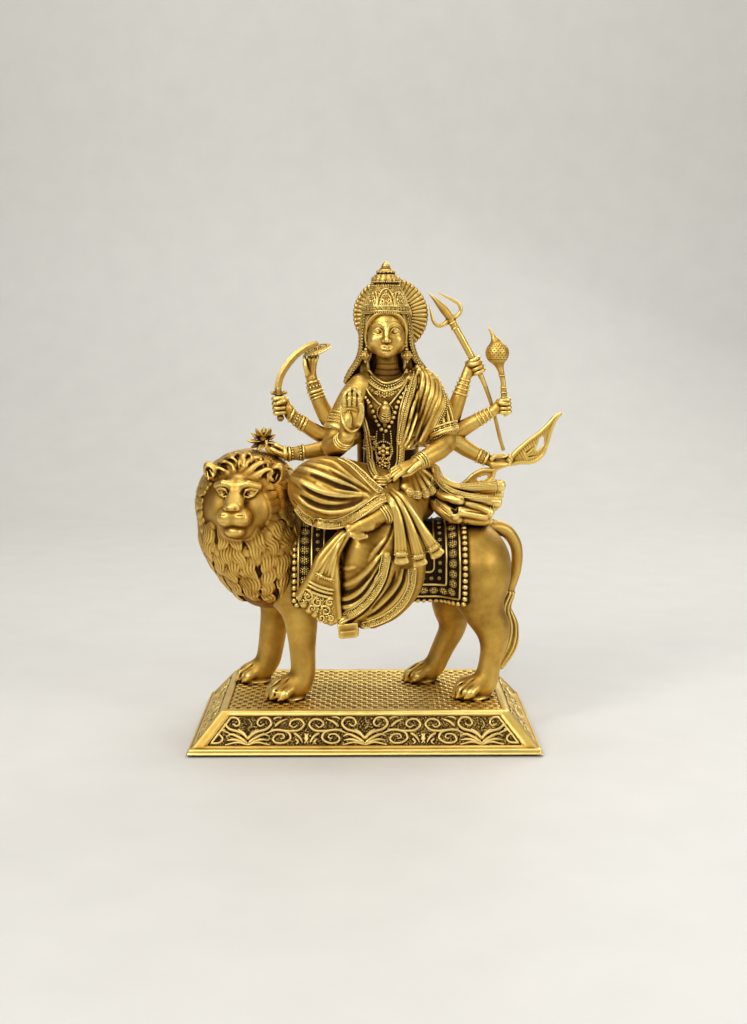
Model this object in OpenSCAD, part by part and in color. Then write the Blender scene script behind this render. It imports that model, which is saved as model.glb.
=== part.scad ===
// Cast brass statue: an eight-armed goddess seated side-on over a standing lion,
// on a tapered rectangular plinth. The castings are made one by one and joined with
// studs, dowels, tenons and brazed seats. +Z is up, -Y is the side the goddess faces,
// and the origin is the middle of the felt on the underside.

/* [Plinth] */
// Length of the plinth at its foot
plinth_l = 176; // [170:1:184]
// Depth of the plinth at its foot
plinth_w = 109; // [104:1:116]
// Length of the plinth's top deck
deck_l = 145; // [141:1:149]
// Depth of the plinth's top deck
deck_w = 83; // [80:1:86]
// Height of the deck above the ground
deck_z = 20; // [20:1:20]
// Wall of the plinth casting
plinth_wall = 3; // [2.5:0.5:4]
// Depth of the sunk ornament panels in the plinth's sides
panel_depth = 1.2; // [0.8:0.1:1.6]
// Thickness of the felt under the plinth
felt_t = 1; // [1:0.1:1]

/* [Fixings] */
// Diameter of the studs that hold the lion down
stud_d = 4; // [3:0.5:5]
// Width across the flats of the stud nuts
nut_af = 7; // [6:0.5:8]
// Diameter of the dowels between the saddle and the seated figure
dowel_d = 4; // [3:0.5:5]
// Diameter of the tenons on the arms, neck and halo
tenon_d = 3.6; // [3:0.2:4]

/* [Castings] */
// Thickness of the saddle cloth casting
saddle_t = 1.8; // [1.4:0.1:2.2]
// Thickness of the halo behind the head
halo_t = 2.6; // [2:0.2:3.4]
// Radius of the halo
halo_r = 19.8; // [18.5:0.1:21]
// Number of scallops round the halo's edge
halo_n = 30; // [20:2:40]
// Number of petals on the lotus
lotus_n = 7; // [5:1:9]

/* [Hidden] */

fnb = 14;            // facets on the large organic balls
fns = 10;            // facets on the small ones
lip_z = 3.5;         // top of the plinth's foot lip
brass = [0.78, 0.57, 0.22];
brass_dark = [0.55, 0.38, 0.14];
brass_pale = [0.86, 0.68, 0.32];

// [x, y, z, radius] stations along each form
spine = [[-44,0,90,23.5], [-12,0,89,21], [24,0,88.5,20.5], [54,0,91,20.5]];
leg_ff = [[-36,-11,84,14], [-33,-16,64,9.5], [-32.5,-17,48,7.4], [-32.5,-17,34,6.6], [-35,-17.5,27,7], [-45,-18,25.4,5.4]];
leg_fb = [[-46,11,82,14], [-51,16,60,9], [-53,17,46,7.2], [-54,17,33,6.5], [-56,17,27,6.6], [-64,17,25,4.8]];
leg_hf = [[57,-11,87,17], [61,-15,68,11.5], [66.5,-17,53,7.6], [65,-17,39,6.2], [62,-17,27,6.8], [52,-17,25.2,5.4]];
leg_hb = [[50,10,86,16], [47,15,63,10.5], [47,16,51,7.6], [38,16.5,37,6.2], [34,16.5,27,6.6], [26,16.5,25,4.8]];
mane = [[-61,-10,121,26.3], [-58,-8,99,23.5], [-52,-6,83,17.5], [-50,-5,76,9]];
muzzle = [[-64.5,-26,124,17.5], [-67,-36,117,11], [-68,-42,114.5,8]];
tail_c = [[68,4,106,4], [76.5,5,103.5,3.7], [81.6,6,95,3.4], [81,6,83,3.1], [77,6,71,3], [74.5,6.5,63,3], [79.5,7,52,3.9], [78,7,41,4], [73,7,29.5,1.8]];
studs = [[-36,-17.5], [-57,17], [60,-17], [32,16.5]];

bust = [[12,-3,146,11.5], [13,-4,160,12.8], [14,-4,174,13.6]];
crossed = [[6,-12,127,14], [-12,-24,130,15.5], [-23.5,-31,131,14.4], [-14,-36,127,13], [2,-37,122,9.5]];
foot_c = [[13,-43.5,121,4.2], [7,-45,119,4.6], [0,-46.5,115.5,3.9], [-6.5,-46.5,112.5,3]];

blessing = [[-3,-3,180,8], [-9,-5,168,7.6], [-17,-12,150,6.6], [-8.4,-27,158.5,4.2], [-7.4,-28.5,166,4.6], [-6.2,-29,174,4], [-5.6,-29,181,2.6]];
lap_arm = [[32,-3,180,8], [38.5,-5,167,7.4], [42.5,-8,154,6.2], [30.6,-22,145.6,4.4], [24,-27,141,4.4], [18,-29,139,2.4]];
r_up = [[-6,5.5,172,4.4], [-18,6,162,4.4], [-27.5,6,185.5,2.9], [-29.2,6,195,3.6]];
r_mid = [[-5,7,166,4.2], [-19,5,154.8,4.6], [-39.5,3,165.2,3.2], [-44.8,2,171,4.3]];
r_low = [[-4,3,156,4.2], [-20,-1,149.5,4.6], [-40,-8,146.8,3.2], [-47.5,-9,149,3.4]];
l_up = [[34,5.5,172,4.4], [44.5,6,160,4.6], [53,6,183,3.1], [58.4,6,192.8,4.2]];
l_mid = [[34,7,164,4.2], [46.5,5,156,4.7], [65,3,167,3.2], [73.8,1.5,172.2,4.4]];
l_low = [[34,4,155,4.2], [47.5,3,153,4.7], [62.5,2,143.8,3.4], [71.3,1,141.3,4.2]];

shaft_lo = [[74.5,8.5,147.5,0.9], [69.8,8,164,1], [64.2,7,182,1.1]];
shaft_hi = [[64.2,7,182,1.1], [58.6,6,193,1.9], [51.4,5,209,2], [45.2,4,218.4,2.2]];
blade = [[-44.4,2,163.5,1.6], [-45.6,2,176,1.6], [-45.9,2,183,2], [-43.4,2,191.5,2.3], [-38,2,199.5,2.4], [-31.5,2,203.6,2], [-25,2,204.9,0.8]];

module ball(p, d = 0, f = fnb) { translate([p[0], p[1], p[2]]) sphere(r = p[3] + d, $fn = f); }
module chain(c, d = 0, f = fnb) { for (i = [0:len(c) - 2]) hull() { ball(c[i], d, f); ball(c[i + 1], d, f); } }
module rod(p, q, r, f = 24) {
  v = q - p; l = norm(v);
  translate(p) rotate([0, acos(v[2] / l), atan2(v[1], v[0])]) cylinder(h = l, r = r, $fn = f);
}
// A box between two rectangles, each [half length, half depth, height]
module taper(a, b) { hull() { translate([-a[0], -a[1], a[2]]) cube([2 * a[0], 2 * a[1], 0.01]); translate([-b[0], -b[1], b[2] - 0.01]) cube([2 * b[0], 2 * b[1], 0.01]); } }

// ---------- plinth ----------
foot_x = plinth_l / 2 - 1; foot_y = plinth_w / 2 - 1;
rise = deck_z - lip_z;
// Point on the long side face: u along X, v from 0 at the lip to 1 at the deck, d inwards
function long_face(u, v, d) = let (dy = foot_y - deck_w / 2, l = norm([dy, rise])) [u, -foot_y + dy * v + d * rise / l, lip_z + rise * v - d * dy / l];
function end_face(u, v, d) = let (dx = foot_x - deck_l / 2, l = norm([dx, rise])) [foot_x - dx * v - d * rise / l, u, lip_z + rise * v - d * dx / l];
module slab(a, b) { polyhedron(points = concat(a, b), faces = [[0,1,2,3], [7,6,5,4], [4,5,1,0], [5,6,2,1], [6,7,3,2], [7,4,0,3]]); }
module long_panel() {
  lo = foot_x - 8.5; hi = deck_l / 2 - 4.5;
  slab([for (k = [[-lo, 0.12], [-hi, 0.86], [hi, 0.86], [lo, 0.12]]) long_face(k[0], k[1], -1)],
       [for (k = [[-lo, 0.12], [-hi, 0.86], [hi, 0.86], [lo, 0.12]]) long_face(k[0], k[1], panel_depth)]);
}
module end_panel() {
  lo = foot_y - 8; hi = deck_w / 2 - 4.5;
  slab([for (k = [[-lo, 0.12], [-hi, 0.86], [hi, 0.86], [lo, 0.12]]) end_face(k[0], k[1], -1)],
       [for (k = [[-lo, 0.12], [-hi, 0.86], [hi, 0.86], [lo, 0.12]]) end_face(k[0], k[1], panel_depth)]);
}
module base_plinth() {
  color(brass) difference() {
    union() {
      translate([-plinth_l / 2, -plinth_w / 2, felt_t]) cube([plinth_l, plinth_w, lip_z - felt_t]);
      taper([foot_x, foot_y, lip_z - 0.01], [deck_l / 2, deck_w / 2, deck_z]);
    }
    taper([foot_x - plinth_wall - 2, foot_y - plinth_wall - 2, felt_t - 1], [deck_l / 2 - plinth_wall, deck_w / 2 - plinth_wall, deck_z - plinth_wall]);
    long_panel();
    rotate([0, 0, 180]) long_panel();
    end_panel();
    rotate([0, 0, 180]) end_panel();
    for (s = studs) translate([s[0], s[1], deck_z - plinth_wall - 1]) cylinder(h = plinth_wall + 2, d = stud_d + 0.4, $fn = 48);
  }
}
module base_felt() {
  color([0.16, 0.07, 0.06]) translate([-plinth_l / 2 + 2, -plinth_w / 2 + 2, 0]) cube([plinth_l - 4, plinth_w - 4, felt_t]);
}
module paw_studs() { color([0.6, 0.6, 0.62]) for (s = studs) translate([s[0], s[1], deck_z - plinth_wall - 7]) cylinder(h = 16, d = stud_d, $fn = 48); }
module stud_washers() {
  color([0.66, 0.66, 0.68]) for (s = studs) translate([s[0], s[1], deck_z - plinth_wall - 1]) difference() {
    cylinder(h = 1, d = nut_af + 3, $fn = 48);
    translate([0, 0, -1]) cylinder(h = 3, d = stud_d + 0.4, $fn = 48);
  }
}
module stud_nuts() {
  color([0.66, 0.66, 0.68]) for (s = studs) translate([s[0], s[1], deck_z - plinth_wall - 4.2]) difference() {
    cylinder(h = 3.2, d = nut_af / cos(30), $fn = 6);
    translate([0, 0, -1]) cylinder(h = 6, d = stud_d, $fn = 48);
  }
}

// ---------- lion ----------
module lion_form(d = 0) { chain(spine, d, 20); chain([leg_hf[0], leg_hf[1]], d, 16); chain([leg_hb[0], leg_hb[1]], d, 16); chain([leg_ff[0], leg_ff[1]], d, 14); chain([leg_fb[0], leg_fb[1]], d, 14); }
module lion_legs() { for (l = [leg_ff, leg_fb, leg_hf, leg_hb]) chain([for (i = [1:5]) l[i]], 0, 12); }
module mane_form(d = 0) { chain(mane, d, 18); chain(muzzle, d, 14); }
dowels = [[4, 0], [20, 0]];
module dowel_holes() { for (p = dowels) translate([p[0], p[1], 100]) cylinder(h = 24, d = dowel_d, $fn = 16); }
module lion_body() {
  color(brass) difference() {
    union() { lion_form(); lion_legs(); }
    translate([-100, -60, 0]) cube([200, 120, deck_z]);
    for (s = studs) translate([s[0], s[1], deck_z - 1]) cylinder(h = 10, d = stud_d, $fn = 16);
    dowel_holes();
    mane_tenon();
    rod([60, 2, 102], tail_root, tenon_d / 2, 12);
  }
}
tail_root = [70, 4.2, 106];
module mane_tenon() { rod([-50, -4, 100], [-62, -9, 108], 4, 16); }
module lion_head() {
  color(brass) union() {
    difference() { union() { mane_form(); ball([-79,-24,140,5.6], 0, 12); ball([-47,-22,142,5.8], 0, 12); } lion_form(); lion_legs(); }
    mane_tenon();
  }
}
module lion_tail() {
  color(brass) union() {
    difference() { chain(tail_c, 0, 10); lion_form(); lion_legs(); }
    rod([60, 2, 102], tail_root, tenon_d / 2, 12);
  }
}
module cloth_zone() { translate([-37, -50, 71]) cube([90, 100, 60]); }
module seat_form() { lion_form(saddle_t); }
module saddle_cloth() {
  color(brass_dark) difference() {
    intersection() { seat_form(); cloth_zone(); }
    lion_form();
    mane_form();
    dowel_holes();
  }
}
module seat_dowels() { color(brass_pale) for (p = dowels) translate([p[0], p[1], 100]) cylinder(h = 24, d = dowel_d, $fn = 48); }

// ---------- seated figure ----------
module hips_form() { hull() { ball([4,-4,124,15]); ball([24,-4,124,15]); } hull() { ball([6,-4,127,13]); ball([22,-4,127,13]); ball(bust[0]); } }
module shoulders_form() { hull() { ball([4,-3,181,8.4]); ball([24,-3,181,8.4]); ball([14,-4,174,12]); } }
module torso_form() { hips_form(); chain(bust); shoulders_form(); hull() { ball([12,-4,184,7]); ball([11.8,-6,197,5.4]); } }
module neck_tenon() { rod([11.6, -7, 188], [11.2, -8, 204], tenon_d / 2, 12); }
module goddess_torso() {
  color(brass) difference() {
    torso_form();
    seat_form();
    dowel_holes();
    neck_tenon();
  }
}
module head_form(d = 0) { hull() { translate([11, -10.5, 211]) scale([0.9, 0.95, 1]) sphere(r = 11.8 + d, $fn = 20); ball([11,-14.5,202,6.6], d); } }
module goddess_head() {
  color(brass) union() {
    difference() { head_form(); torso_form(); }
    neck_tenon();
  }
}
module crown_form(d = 0) {
  translate([11, -8, 0]) rotate_extrude($fn = 72)
    polygon([[0,218 - d], [11.6 + d,218 - d], [12.6 + d,220], [12.4 + d,226], [10 + d,231.5], [7.4 + d,233], [7.2 + d,237], [5.6 + d,238.5], [5.2 + d,241], [3.6 + d,242.2], [3.2 + d,244.4], [1.6 + d,246.6], [0,247.4 + d]]);
}
module crown() {
  color(brass_dark) difference() {
    crown_form();
    translate([11, -10.5, 211]) sphere(r = 12.2, $fn = 48);
  }
}
module halo() {
  color(brass_pale) difference() {
    translate([13.8, 4.6 + halo_t, 219.5]) rotate([90, 0, 0]) linear_extrude(height = halo_t) union() {
      circle(r = halo_r - 1.2, $fn = 96);
      for (k = [0:halo_n - 1]) rotate(k * 360 / halo_n) translate([halo_r - 1.4, 0]) circle(r = 1.4, $fn = 24);
    }
    translate([13.8, 4, 219.5]) rotate([-90, 0, 0]) cylinder(h = 5, r = tenon_d / 2, $fn = 32);
  }
}
module hair_and_veil() {
  color(brass_dark) difference() {
    union() {
      hull() { ball([11,-5,212,11.5]); ball([11,-2,205,10]); }
      hull() { ball([11,-2,205,9]); ball([-5,0,188,5]); ball([30,0,188,5]); }
      hull() { ball([-4,8,186,4]); ball([29,8,186,4]); ball([-2,12,150,4]); ball([27,12,150,4]); ball([12,5,200,6]); }
      hull() { ball([-2,12,150,4]); ball([27,12,150,4]); ball([-1,17,122,4]); ball([26,17,122,4]); }
    }
    torso_form(); head_form(0); crown_form(0); seat_form();
    arms_form();
    translate([-20, 4.5, 204]) cube([70, 20, 40]);
    for (c = [r_up, r_mid, r_low, l_up, l_mid, l_low]) chain(c, 0, 10);
  }
}
module earrings() {
  color(brass_pale) for (s = [-1, 1]) {
    translate([11.2 + s * 12.1, -10.5, 203.2]) rotate([90, 0, 0]) cylinder(h = 1.6, r = 2.6, center = true, $fn = 40);
    translate([11.2 + s * 12.1, -10.5, 200.8]) rotate_extrude($fn = 40) polygon([[0,0.2], [0.8,0], [2.2,-3.6], [1.6,-5.4], [0,-6.2]]);
  }
}
module necklaces() {
  color(brass_pale) difference() {
    union() {
      translate([12, -7.5, 188.6]) rotate([24, 0, 0]) rotate_extrude($fn = 48) translate([8.2, 0]) circle(r = 1.5, $fn = 16);
      translate([12.6, -9.5, 183.4]) rotate([38, 0, 0]) rotate_extrude($fn = 48) translate([9.8, 0]) circle(r = 1.7, $fn = 16);
    }
    neck_zone();
  }
}
module neck_zone() { hull() { ball([12,-4,184,7]); ball([11.8,-6,197,5.4]); } shoulders_form(); hull() { ball(bust[1]); ball(bust[2]); } translate([-30, 1, 150]) cube([90, 40, 60]); }
garland_l = [[1,-13,183,1.6], [3,-18.5,172,1.7], [5,-17.5,160,1.7], [5,-17,148,1.7], [6,-19,138,1.7], [9.8,-26.5,133.5,2.6]];
garland_r = [[25,-13,183,1.6], [23,-18.5,172,1.7], [20,-17.5,160,1.7], [18,-17,148,1.7], [15,-20,138,1.7], [9.8,-26.5,133.5,2.6]];
module garland_form(d = 0) { chain(garland_l, d, fns); chain(garland_r, d, fns); }
module long_garland() { color(brass_pale) difference() { garland_form(); torso_form(); chain(crossed); } }
stole = [[27,-9,188,3], [31,-14.5,180,4], [27,-17,168,4.5], [22,-15.5,156,4.2], [21,-14,147,3.6]];
module stole_form(d = 0) { chain(stole, d, 12); hull() { ball([27,-3,190,2.4]); ball([33,-2,189,2.4]); ball([30,-12,184,3]); } }
module shoulder_stole() { color(brass) difference() { stole_form(); torso_form(); garland_form(); chain(lap_arm); necks(); } }
module necks() { ball([12,-4,184,11]); }
module waist_belt() {
  color(brass_pale) difference() {
    translate([12.6, -3.4, 150]) scale([1.12, 1, 1]) cylinder(h = 6, r = 14.2, $fn = 32);
    torso_form(); garland_form(); stole_form(); arms_form();
    hair_zone();
    for (c = [r_up, r_mid, r_low, l_up, l_mid, l_low]) chain(c, 0, 10);
  }
}
module hair_zone() { translate([-20, 6, 140]) cube([70, 30, 30]); }

// ---------- arms ----------
module arms_form() { chain(blessing, 0, 12); chain(lap_arm, 0, 12); }
module arm_blessing() { color(brass) difference() { chain(blessing, 0, 12); torso_form(); garland_form(); } }
module arm_lap() { color(brass) difference() { chain(lap_arm, 0, 12); torso_form(); garland_form(); chain(crossed); hang_form(); } }
module rear_arm(c) { difference() { chain(c, 0, 12); torso_form(); arms_form(); } }
module arm_right_upper() { color(brass) difference() { rear_arm(r_up); discus_form(); } }
module arm_right_middle() { color(brass) difference() { rear_arm(r_mid); chain(r_up, 0, 12); chain(blade, 0, fns); } }
module arm_right_lower() { color(brass) difference() { rear_arm(r_low); chain(r_mid, 0, 12); chain(r_up, 0, 12); chain(crossed); mane_form(); lotus_form(); } }
module arm_left_upper() { color(brass) difference() { rear_arm(l_up); trident_form(); } }
module arm_left_middle() { color(brass) difference() { rear_arm(l_mid); chain(l_up, 0, 12); mace_handle(); trident_form(); } }
module arm_left_lower() { color(brass) difference() { rear_arm(l_low); chain(l_mid, 0, 12); chain(l_up, 0, 12); bow_form(); } }

// ---------- attributes held in the hands ----------
module discus_form() { translate([-25.5, 5, 200.6]) rotate([-12, 14, 0]) rotate_extrude($fn = 48) polygon([[0,-1.5], [3,-1.5], [7.2,-0.3], [7.2,0.3], [3,1.5], [0,1.5]]); }
module discus() { color(brass_pale) difference() { discus_form(); chain(blade, 0, fns); } }
module sword() { color(brass_dark) chain(blade, 0, fns); }
module lotus_form() { ball([-54.5,-9.5,153.5,2.6], 0, 12); rod([-54.5, -9.5, 153], [-49, -9, 147], 1.2, 12); }
module lotus() {
  color(brass_pale) difference() {
    union() {
      lotus_form();
      for (k = [0:lotus_n - 1]) translate([-54.5, -9.5, 152.5]) rotate([0, -18, 0]) rotate([0, 0, k * 360 / lotus_n]) rotate([0, 42, 0]) hull() {
        sphere(r = 1, $fn = 10);
        translate([0, 2, 4]) sphere(r = 0.8, $fn = 10);
        translate([0, -2, 4]) sphere(r = 0.8, $fn = 10);
        translate([-0.6, 0, 7.4]) sphere(r = 0.5, $fn = 10);
      }
    }
    mane_form();
  }
}
module trident_form() {
  chain(shaft_lo, 0, fns); chain(shaft_hi, 0, fns);
  chain([[45.2,4,218.4,2.2], [40,3.2,224,1.9], [34,2.4,230.4,0.5]], 0, fns);
  chain([[45.2,4,218.4,1.4], [50.4,4,220.4,1.2], [50,4,224.4,1.1], [44,3.4,227.4,0.8], [37.8,3,231.4,0.4]], 0, fns);
  chain([[45.2,4,218.4,1.4], [41.6,4,213.8,1.2], [37.6,3.6,214.4,1.1], [35.6,3.2,219,0.8], [34.4,3,224.4,0.4]], 0, fns);
}
module trident() { color(brass_pale) difference() { trident_form(); halo_zone(); } }
module halo_zone() { translate([13.8, 4.6 + halo_t, 219.5]) rotate([90, 0, 0]) cylinder(h = halo_t, r = halo_r + 0.2, $fn = 64); }
module mace_handle() { chain([[75.2,1.5,164.8,1.7], [74,1.5,178,1.7], [73.6,1.5,183,1.5], [71.4,1.8,192,2.2]], 0, fns); }
module mace() {
  color(brass_pale) union() {
    mace_handle();
    ball([70.2,2,199.2,6.4], 0, 20);
    chain([[70.2,2,199.2,3.4], [68.2,2,206,1.6], [66,2,211.4,0.6]], 0, fns);
    ball([74.4,1.5,177.6,2.4], 0, 12);
  }
}
limb_u = [[71.3,0.5,141.3,1.5], [79,1,144,1.7], [87,1.5,151,1.5], [96,2,158.5,1.5], [104,2.5,167,0.9]];
limb_s = [[79,1,144,1.5], [88,1.5,146.5,1.7], [95,2,152,1.5], [98,2,160.5,1.2]];
limb_l = [[71.3,0.5,141.3,1.5], [66,0,138,1.6], [60,-0.5,136,1.5], [54.6,-1,130,1]];
limb_t = [[66,0,138,1.4], [66,-0.5,132.5,1.4], [60,-1,129.4,1.3], [54.6,-1,130,1]];
module bow_form() { chain(limb_u, 0, fns); chain(limb_s, 0, fns); chain(limb_l, 0, fns); chain(limb_t, 0, fns); }
module bow() { color(brass_pale) difference() { bow_form(); stole_ends_form(); } }

// ---------- skirt, foot, sash and stole ends ----------
module skirt_crossed_leg() { color(brass) difference() { chain(crossed); torso_form(); seat_form(); mane_form(); chain([leg_ff[0], leg_ff[1]]); chain(r_low, 0, 12); } }
module crossed_foot() { color(brass_pale) difference() { chain(foot_c, 0, 12); chain(crossed); hang_form(); } }
module hang_form() {
  hull() { ball([20,-12,124,14]); ball([16,-29,116,12.5]); }
  hull() { ball([16,-29,116,12.5]); ball([7,-33,99,11.5]); ball([20,-30,98,9]); }
  hull() { ball([7,-33,99,11.5]); ball([20,-30,98,9]); ball([21,-29,80,6]); ball([-9,-33,78,9.5]); }
  hull() { ball([21,-29,80,6]); ball([-9,-33,78,9.5]); ball([12,-29.5,66,5]); ball([-9,-33,62,4.6]); }
}
module skirt_hanging_leg() {
  color(brass) difference() {
    hang_form(); torso_form(); seat_form(); chain(crossed); pleat_form();
    translate([-100, -21, 0]) cube([200, 60, 100]);
  }
}
module pleat_form() {
  hull() { ball([-4,-38,104,4.4], 0, 12); ball([-19,-36.5,86,5], 0, 12); ball([-10,-37.5,86,5], 0, 12); }
  hull() { ball([-19,-36.5,86,5], 0, 12); ball([-10,-37.5,86,5], 0, 12); ball([-27,-33,76,5], 0, 12); ball([-13,-35,64,4.6], 0, 12); }
}
module skirt_pleats() { color(brass) difference() { pleat_form(); seat_form(); chain(crossed); chain([leg_ff[0], leg_ff[1], leg_ff[2]]); } }
tails = [
  [[9.5,-30,130,2.2], [15,-41,118,1.8], [18,-45.5,104,2.6], [18.6,-44,97,3.4]],
  [[9.5,-30,130,2.2], [19,-40.5,119,1.8], [25.5,-42.5,106,2.4], [28.6,-40.5,98,3.4]],
  [[9.5,-30,130,2.2], [22,-38,121,1.8], [31,-37.5,109,2.4], [36,-36.5,102.5,3.4]]
];
module sash_tails() { color(brass_pale) difference() { for (t = tails) chain(t, 0, fns); chain(crossed); hang_form(); garland_form(); chain(foot_c, 0, 12); } }
module stole_ends_form() {
  for (k = [0:4]) hull() {
    ball([36,-9 + 3.6 * k,126 + k,3.6], 0, 12);
    ball([50,-13 + 5.6 * k,121 + 1.2 * k,3.8], 0, 12);
  }
  for (k = [0:4]) hull() {
    ball([50,-13 + 5.6 * k,121 + 1.2 * k,3.8], 0, 12);
    ball([66,-15 + 6.2 * k,116.5 + 2.4 * k,4.4], 0, 12);
  }
}
module stole_ends() { color(brass) difference() { stole_ends_form(); torso_form(); seat_form(); hair_tail(); lion_form(); } }
module hair_tail() { hull() { ball([-2,12,150,4]); ball([27,12,150,4]); ball([-1,17,122,4]); ball([26,17,122,4]); } }

base_plinth();
base_felt();
paw_studs();
stud_washers();
stud_nuts();
lion_body();
lion_head();
lion_tail();
saddle_cloth();
seat_dowels();
goddess_torso();
goddess_head();
crown();
halo();
hair_and_veil();
earrings();
necklaces();
long_garland();
shoulder_stole();
waist_belt();
arm_blessing();
arm_lap();
arm_right_upper();
arm_right_middle();
arm_right_lower();
arm_left_upper();
arm_left_middle();
arm_left_lower();
discus();
sword();
lotus();
trident();
mace();
bow();
skirt_crossed_leg();
crossed_foot();
skirt_hanging_leg();
skirt_pleats();
sash_tails();
stole_ends();
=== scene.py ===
import bpy, math
import numpy as np
import openvdb as vdb
from mathutils import Vector, Matrix


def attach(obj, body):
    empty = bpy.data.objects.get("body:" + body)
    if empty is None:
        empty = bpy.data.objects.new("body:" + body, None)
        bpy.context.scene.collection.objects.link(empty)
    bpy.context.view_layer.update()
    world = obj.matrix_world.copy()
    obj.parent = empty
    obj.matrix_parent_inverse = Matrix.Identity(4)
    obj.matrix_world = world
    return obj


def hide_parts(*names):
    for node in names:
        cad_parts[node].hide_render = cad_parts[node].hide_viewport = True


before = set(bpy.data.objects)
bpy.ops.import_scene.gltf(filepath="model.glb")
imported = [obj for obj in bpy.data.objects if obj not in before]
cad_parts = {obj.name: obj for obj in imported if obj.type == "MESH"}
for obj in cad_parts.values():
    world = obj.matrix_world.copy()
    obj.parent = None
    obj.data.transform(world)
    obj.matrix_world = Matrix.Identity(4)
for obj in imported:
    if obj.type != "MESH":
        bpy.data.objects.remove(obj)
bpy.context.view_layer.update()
rng = np.random.default_rng(7)
F32 = np.float32

# ------------------------------------------------------------------ sculpting on a distance grid (millimetres)
class Field:
    """A signed-distance grid in mm: negative inside."""

    def __init__(self, lo, hi, h):
        self.h = float(h)
        self.lo = np.array(lo, float)
        self.n = np.ceil((np.array(hi, float) - self.lo) / h).astype(int) + 1
        self.f = np.full(tuple(self.n), 7.0, F32)
        self.ax = [(self.lo[i] + h * np.arange(self.n[i])).astype(F32) for i in range(3)]

    def win(self, lo, hi):
        a = np.clip(np.floor((np.array(lo) - self.lo) / self.h).astype(int), 0, self.n)
        b = np.clip(np.ceil((np.array(hi) - self.lo) / self.h).astype(int) + 1, 0, self.n)
        s = tuple(slice(int(a[i]), int(b[i])) for i in range(3))
        g = (self.ax[0][s[0]][:, None, None], self.ax[1][s[1]][None, :, None], self.ax[2][s[2]][None, None, :])
        return s, g, bool(np.all(b > a))

    def put(self, s, d, k, cut):
        f = self.f[s]
        if cut:
            f = -f
        if k <= 0:
            r = np.minimum(f, d)
        else:
            hh = np.clip(0.5 + 0.5 * (f - d) / k, 0, 1)
            r = f + (d - f) * hh - k * hh * (1 - hh)
        self.f[s] = -r if cut else r

    def chain(self, pts, k=1.0, cut=False, m=None, closed=False):
        """A run of round cones through stations [x, y, z, r], blended in over k."""
        p = np.array(pts, float)
        if closed:
            p = np.vstack([p, p[:1]])
        m = max(k, 1.0) + 1.2 if m is None else m
        r = p[:, 3:4]
        s, g, ok = self.win((p[:, :3] - r).min(0) - m, (p[:, :3] + r).max(0) + m)
        if not ok:
            return self
        D = np.full(self.f[s].shape, 7.0, F32)
        off = np.array([s[i].start for i in range(3)])
        for a, b in zip(p[:-1], p[1:]):
            rr = max(a[3], b[3]) + m
            s2, g2, ok = self.win(np.minimum(a[:3], b[:3]) - rr, np.maximum(a[:3], b[:3]) + rr)
            s2 = tuple(slice(max(s2[i].start, s[i].start), min(s2[i].stop, s[i].stop)) for i in range(3))
            if not ok or any(v.stop <= v.start for v in s2):
                continue
            g2 = (self.ax[0][s2[0]][:, None, None], self.ax[1][s2[1]][None, :, None], self.ax[2][s2[2]][None, None, :])
            t2 = tuple(slice(s2[i].start - off[i], s2[i].stop - off[i]) for i in range(3))
            D[t2] = np.minimum(D[t2], cone(g2, a, b))
        self.put(s, D, k, cut)
        return self

    def balls(self, pts, k=1.0, cut=False, m=None):
        m = max(k, 1.0) + 1.2 if m is None else m
        for p in pts:
            s, g, ok = self.win(np.array(p[:3]) - p[3] - m, np.array(p[:3]) + p[3] + m)
            if ok:
                self.put(s, np.sqrt((g[0] - p[0]) ** 2 + (g[1] - p[1]) ** 2 + (g[2] - p[2]) ** 2) - F32(p[3]), k, cut)
        return self

    def egg(self, c, r, rot=(0, 0, 0), k=1.0, cut=False, m=None):
        """An ellipsoid at c with half sizes r, turned by rot degrees."""
        m = max(k, 1.0) + 1.2 if m is None else m
        R = rotm(rot)
        e = np.abs(R) @ np.array(r, float)
        s, g, ok = self.win(np.array(c) - e - m, np.array(c) + e + m)
        if not ok:
            return self
        q = [sum(F32(R[j, i]) * (g[j] - F32(c[j])) for j in range(3)) for i in range(3)]
        k0 = np.sqrt(sum((q[i] / F32(r[i])) ** 2 for i in range(3)))
        k1 = np.sqrt(sum((q[i] / F32(r[i] ** 2)) ** 2 for i in range(3))) + F32(1e-6)
        self.put(s, k0 * (k0 - 1) / k1, k, cut)
        return self

    def box(self, c, r, rot=(0, 0, 0), rnd=0.3, k=0.0, cut=False, m=None):
        m = max(k, 1.0) + 1.2 if m is None else m
        R = rotm(rot)
        e = np.abs(R) @ np.array(r, float)
        s, g, ok = self.win(np.array(c) - e - m, np.array(c) + e + m)
        if not ok:
            return self
        q = [np.abs(sum(F32(R[j, i]) * (g[j] - F32(c[j])) for j in range(3))) - F32(r[i] - rnd) for i in range(3)]
        out = np.sqrt(sum(np.maximum(v, 0) ** 2 for v in q))
        self.put(s, out + np.minimum(np.maximum(np.maximum(q[0], q[1]), q[2]), 0) - F32(rnd), k, cut)
        return self

    def half(self, p, nrm, k=0.0):
        """Keeps the side of the plane that nrm points away from."""
        n = np.array(nrm, float) / np.linalg.norm(nrm)
        g = (self.ax[0][:, None, None], self.ax[1][None, :, None], self.ax[2][None, None, :])
        d = -sum(F32(n[i]) * (g[i] - F32(p[i])) for i in range(3))
        s = (slice(None),) * 3
        self.put(s, d, k, True)
        return self

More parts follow.
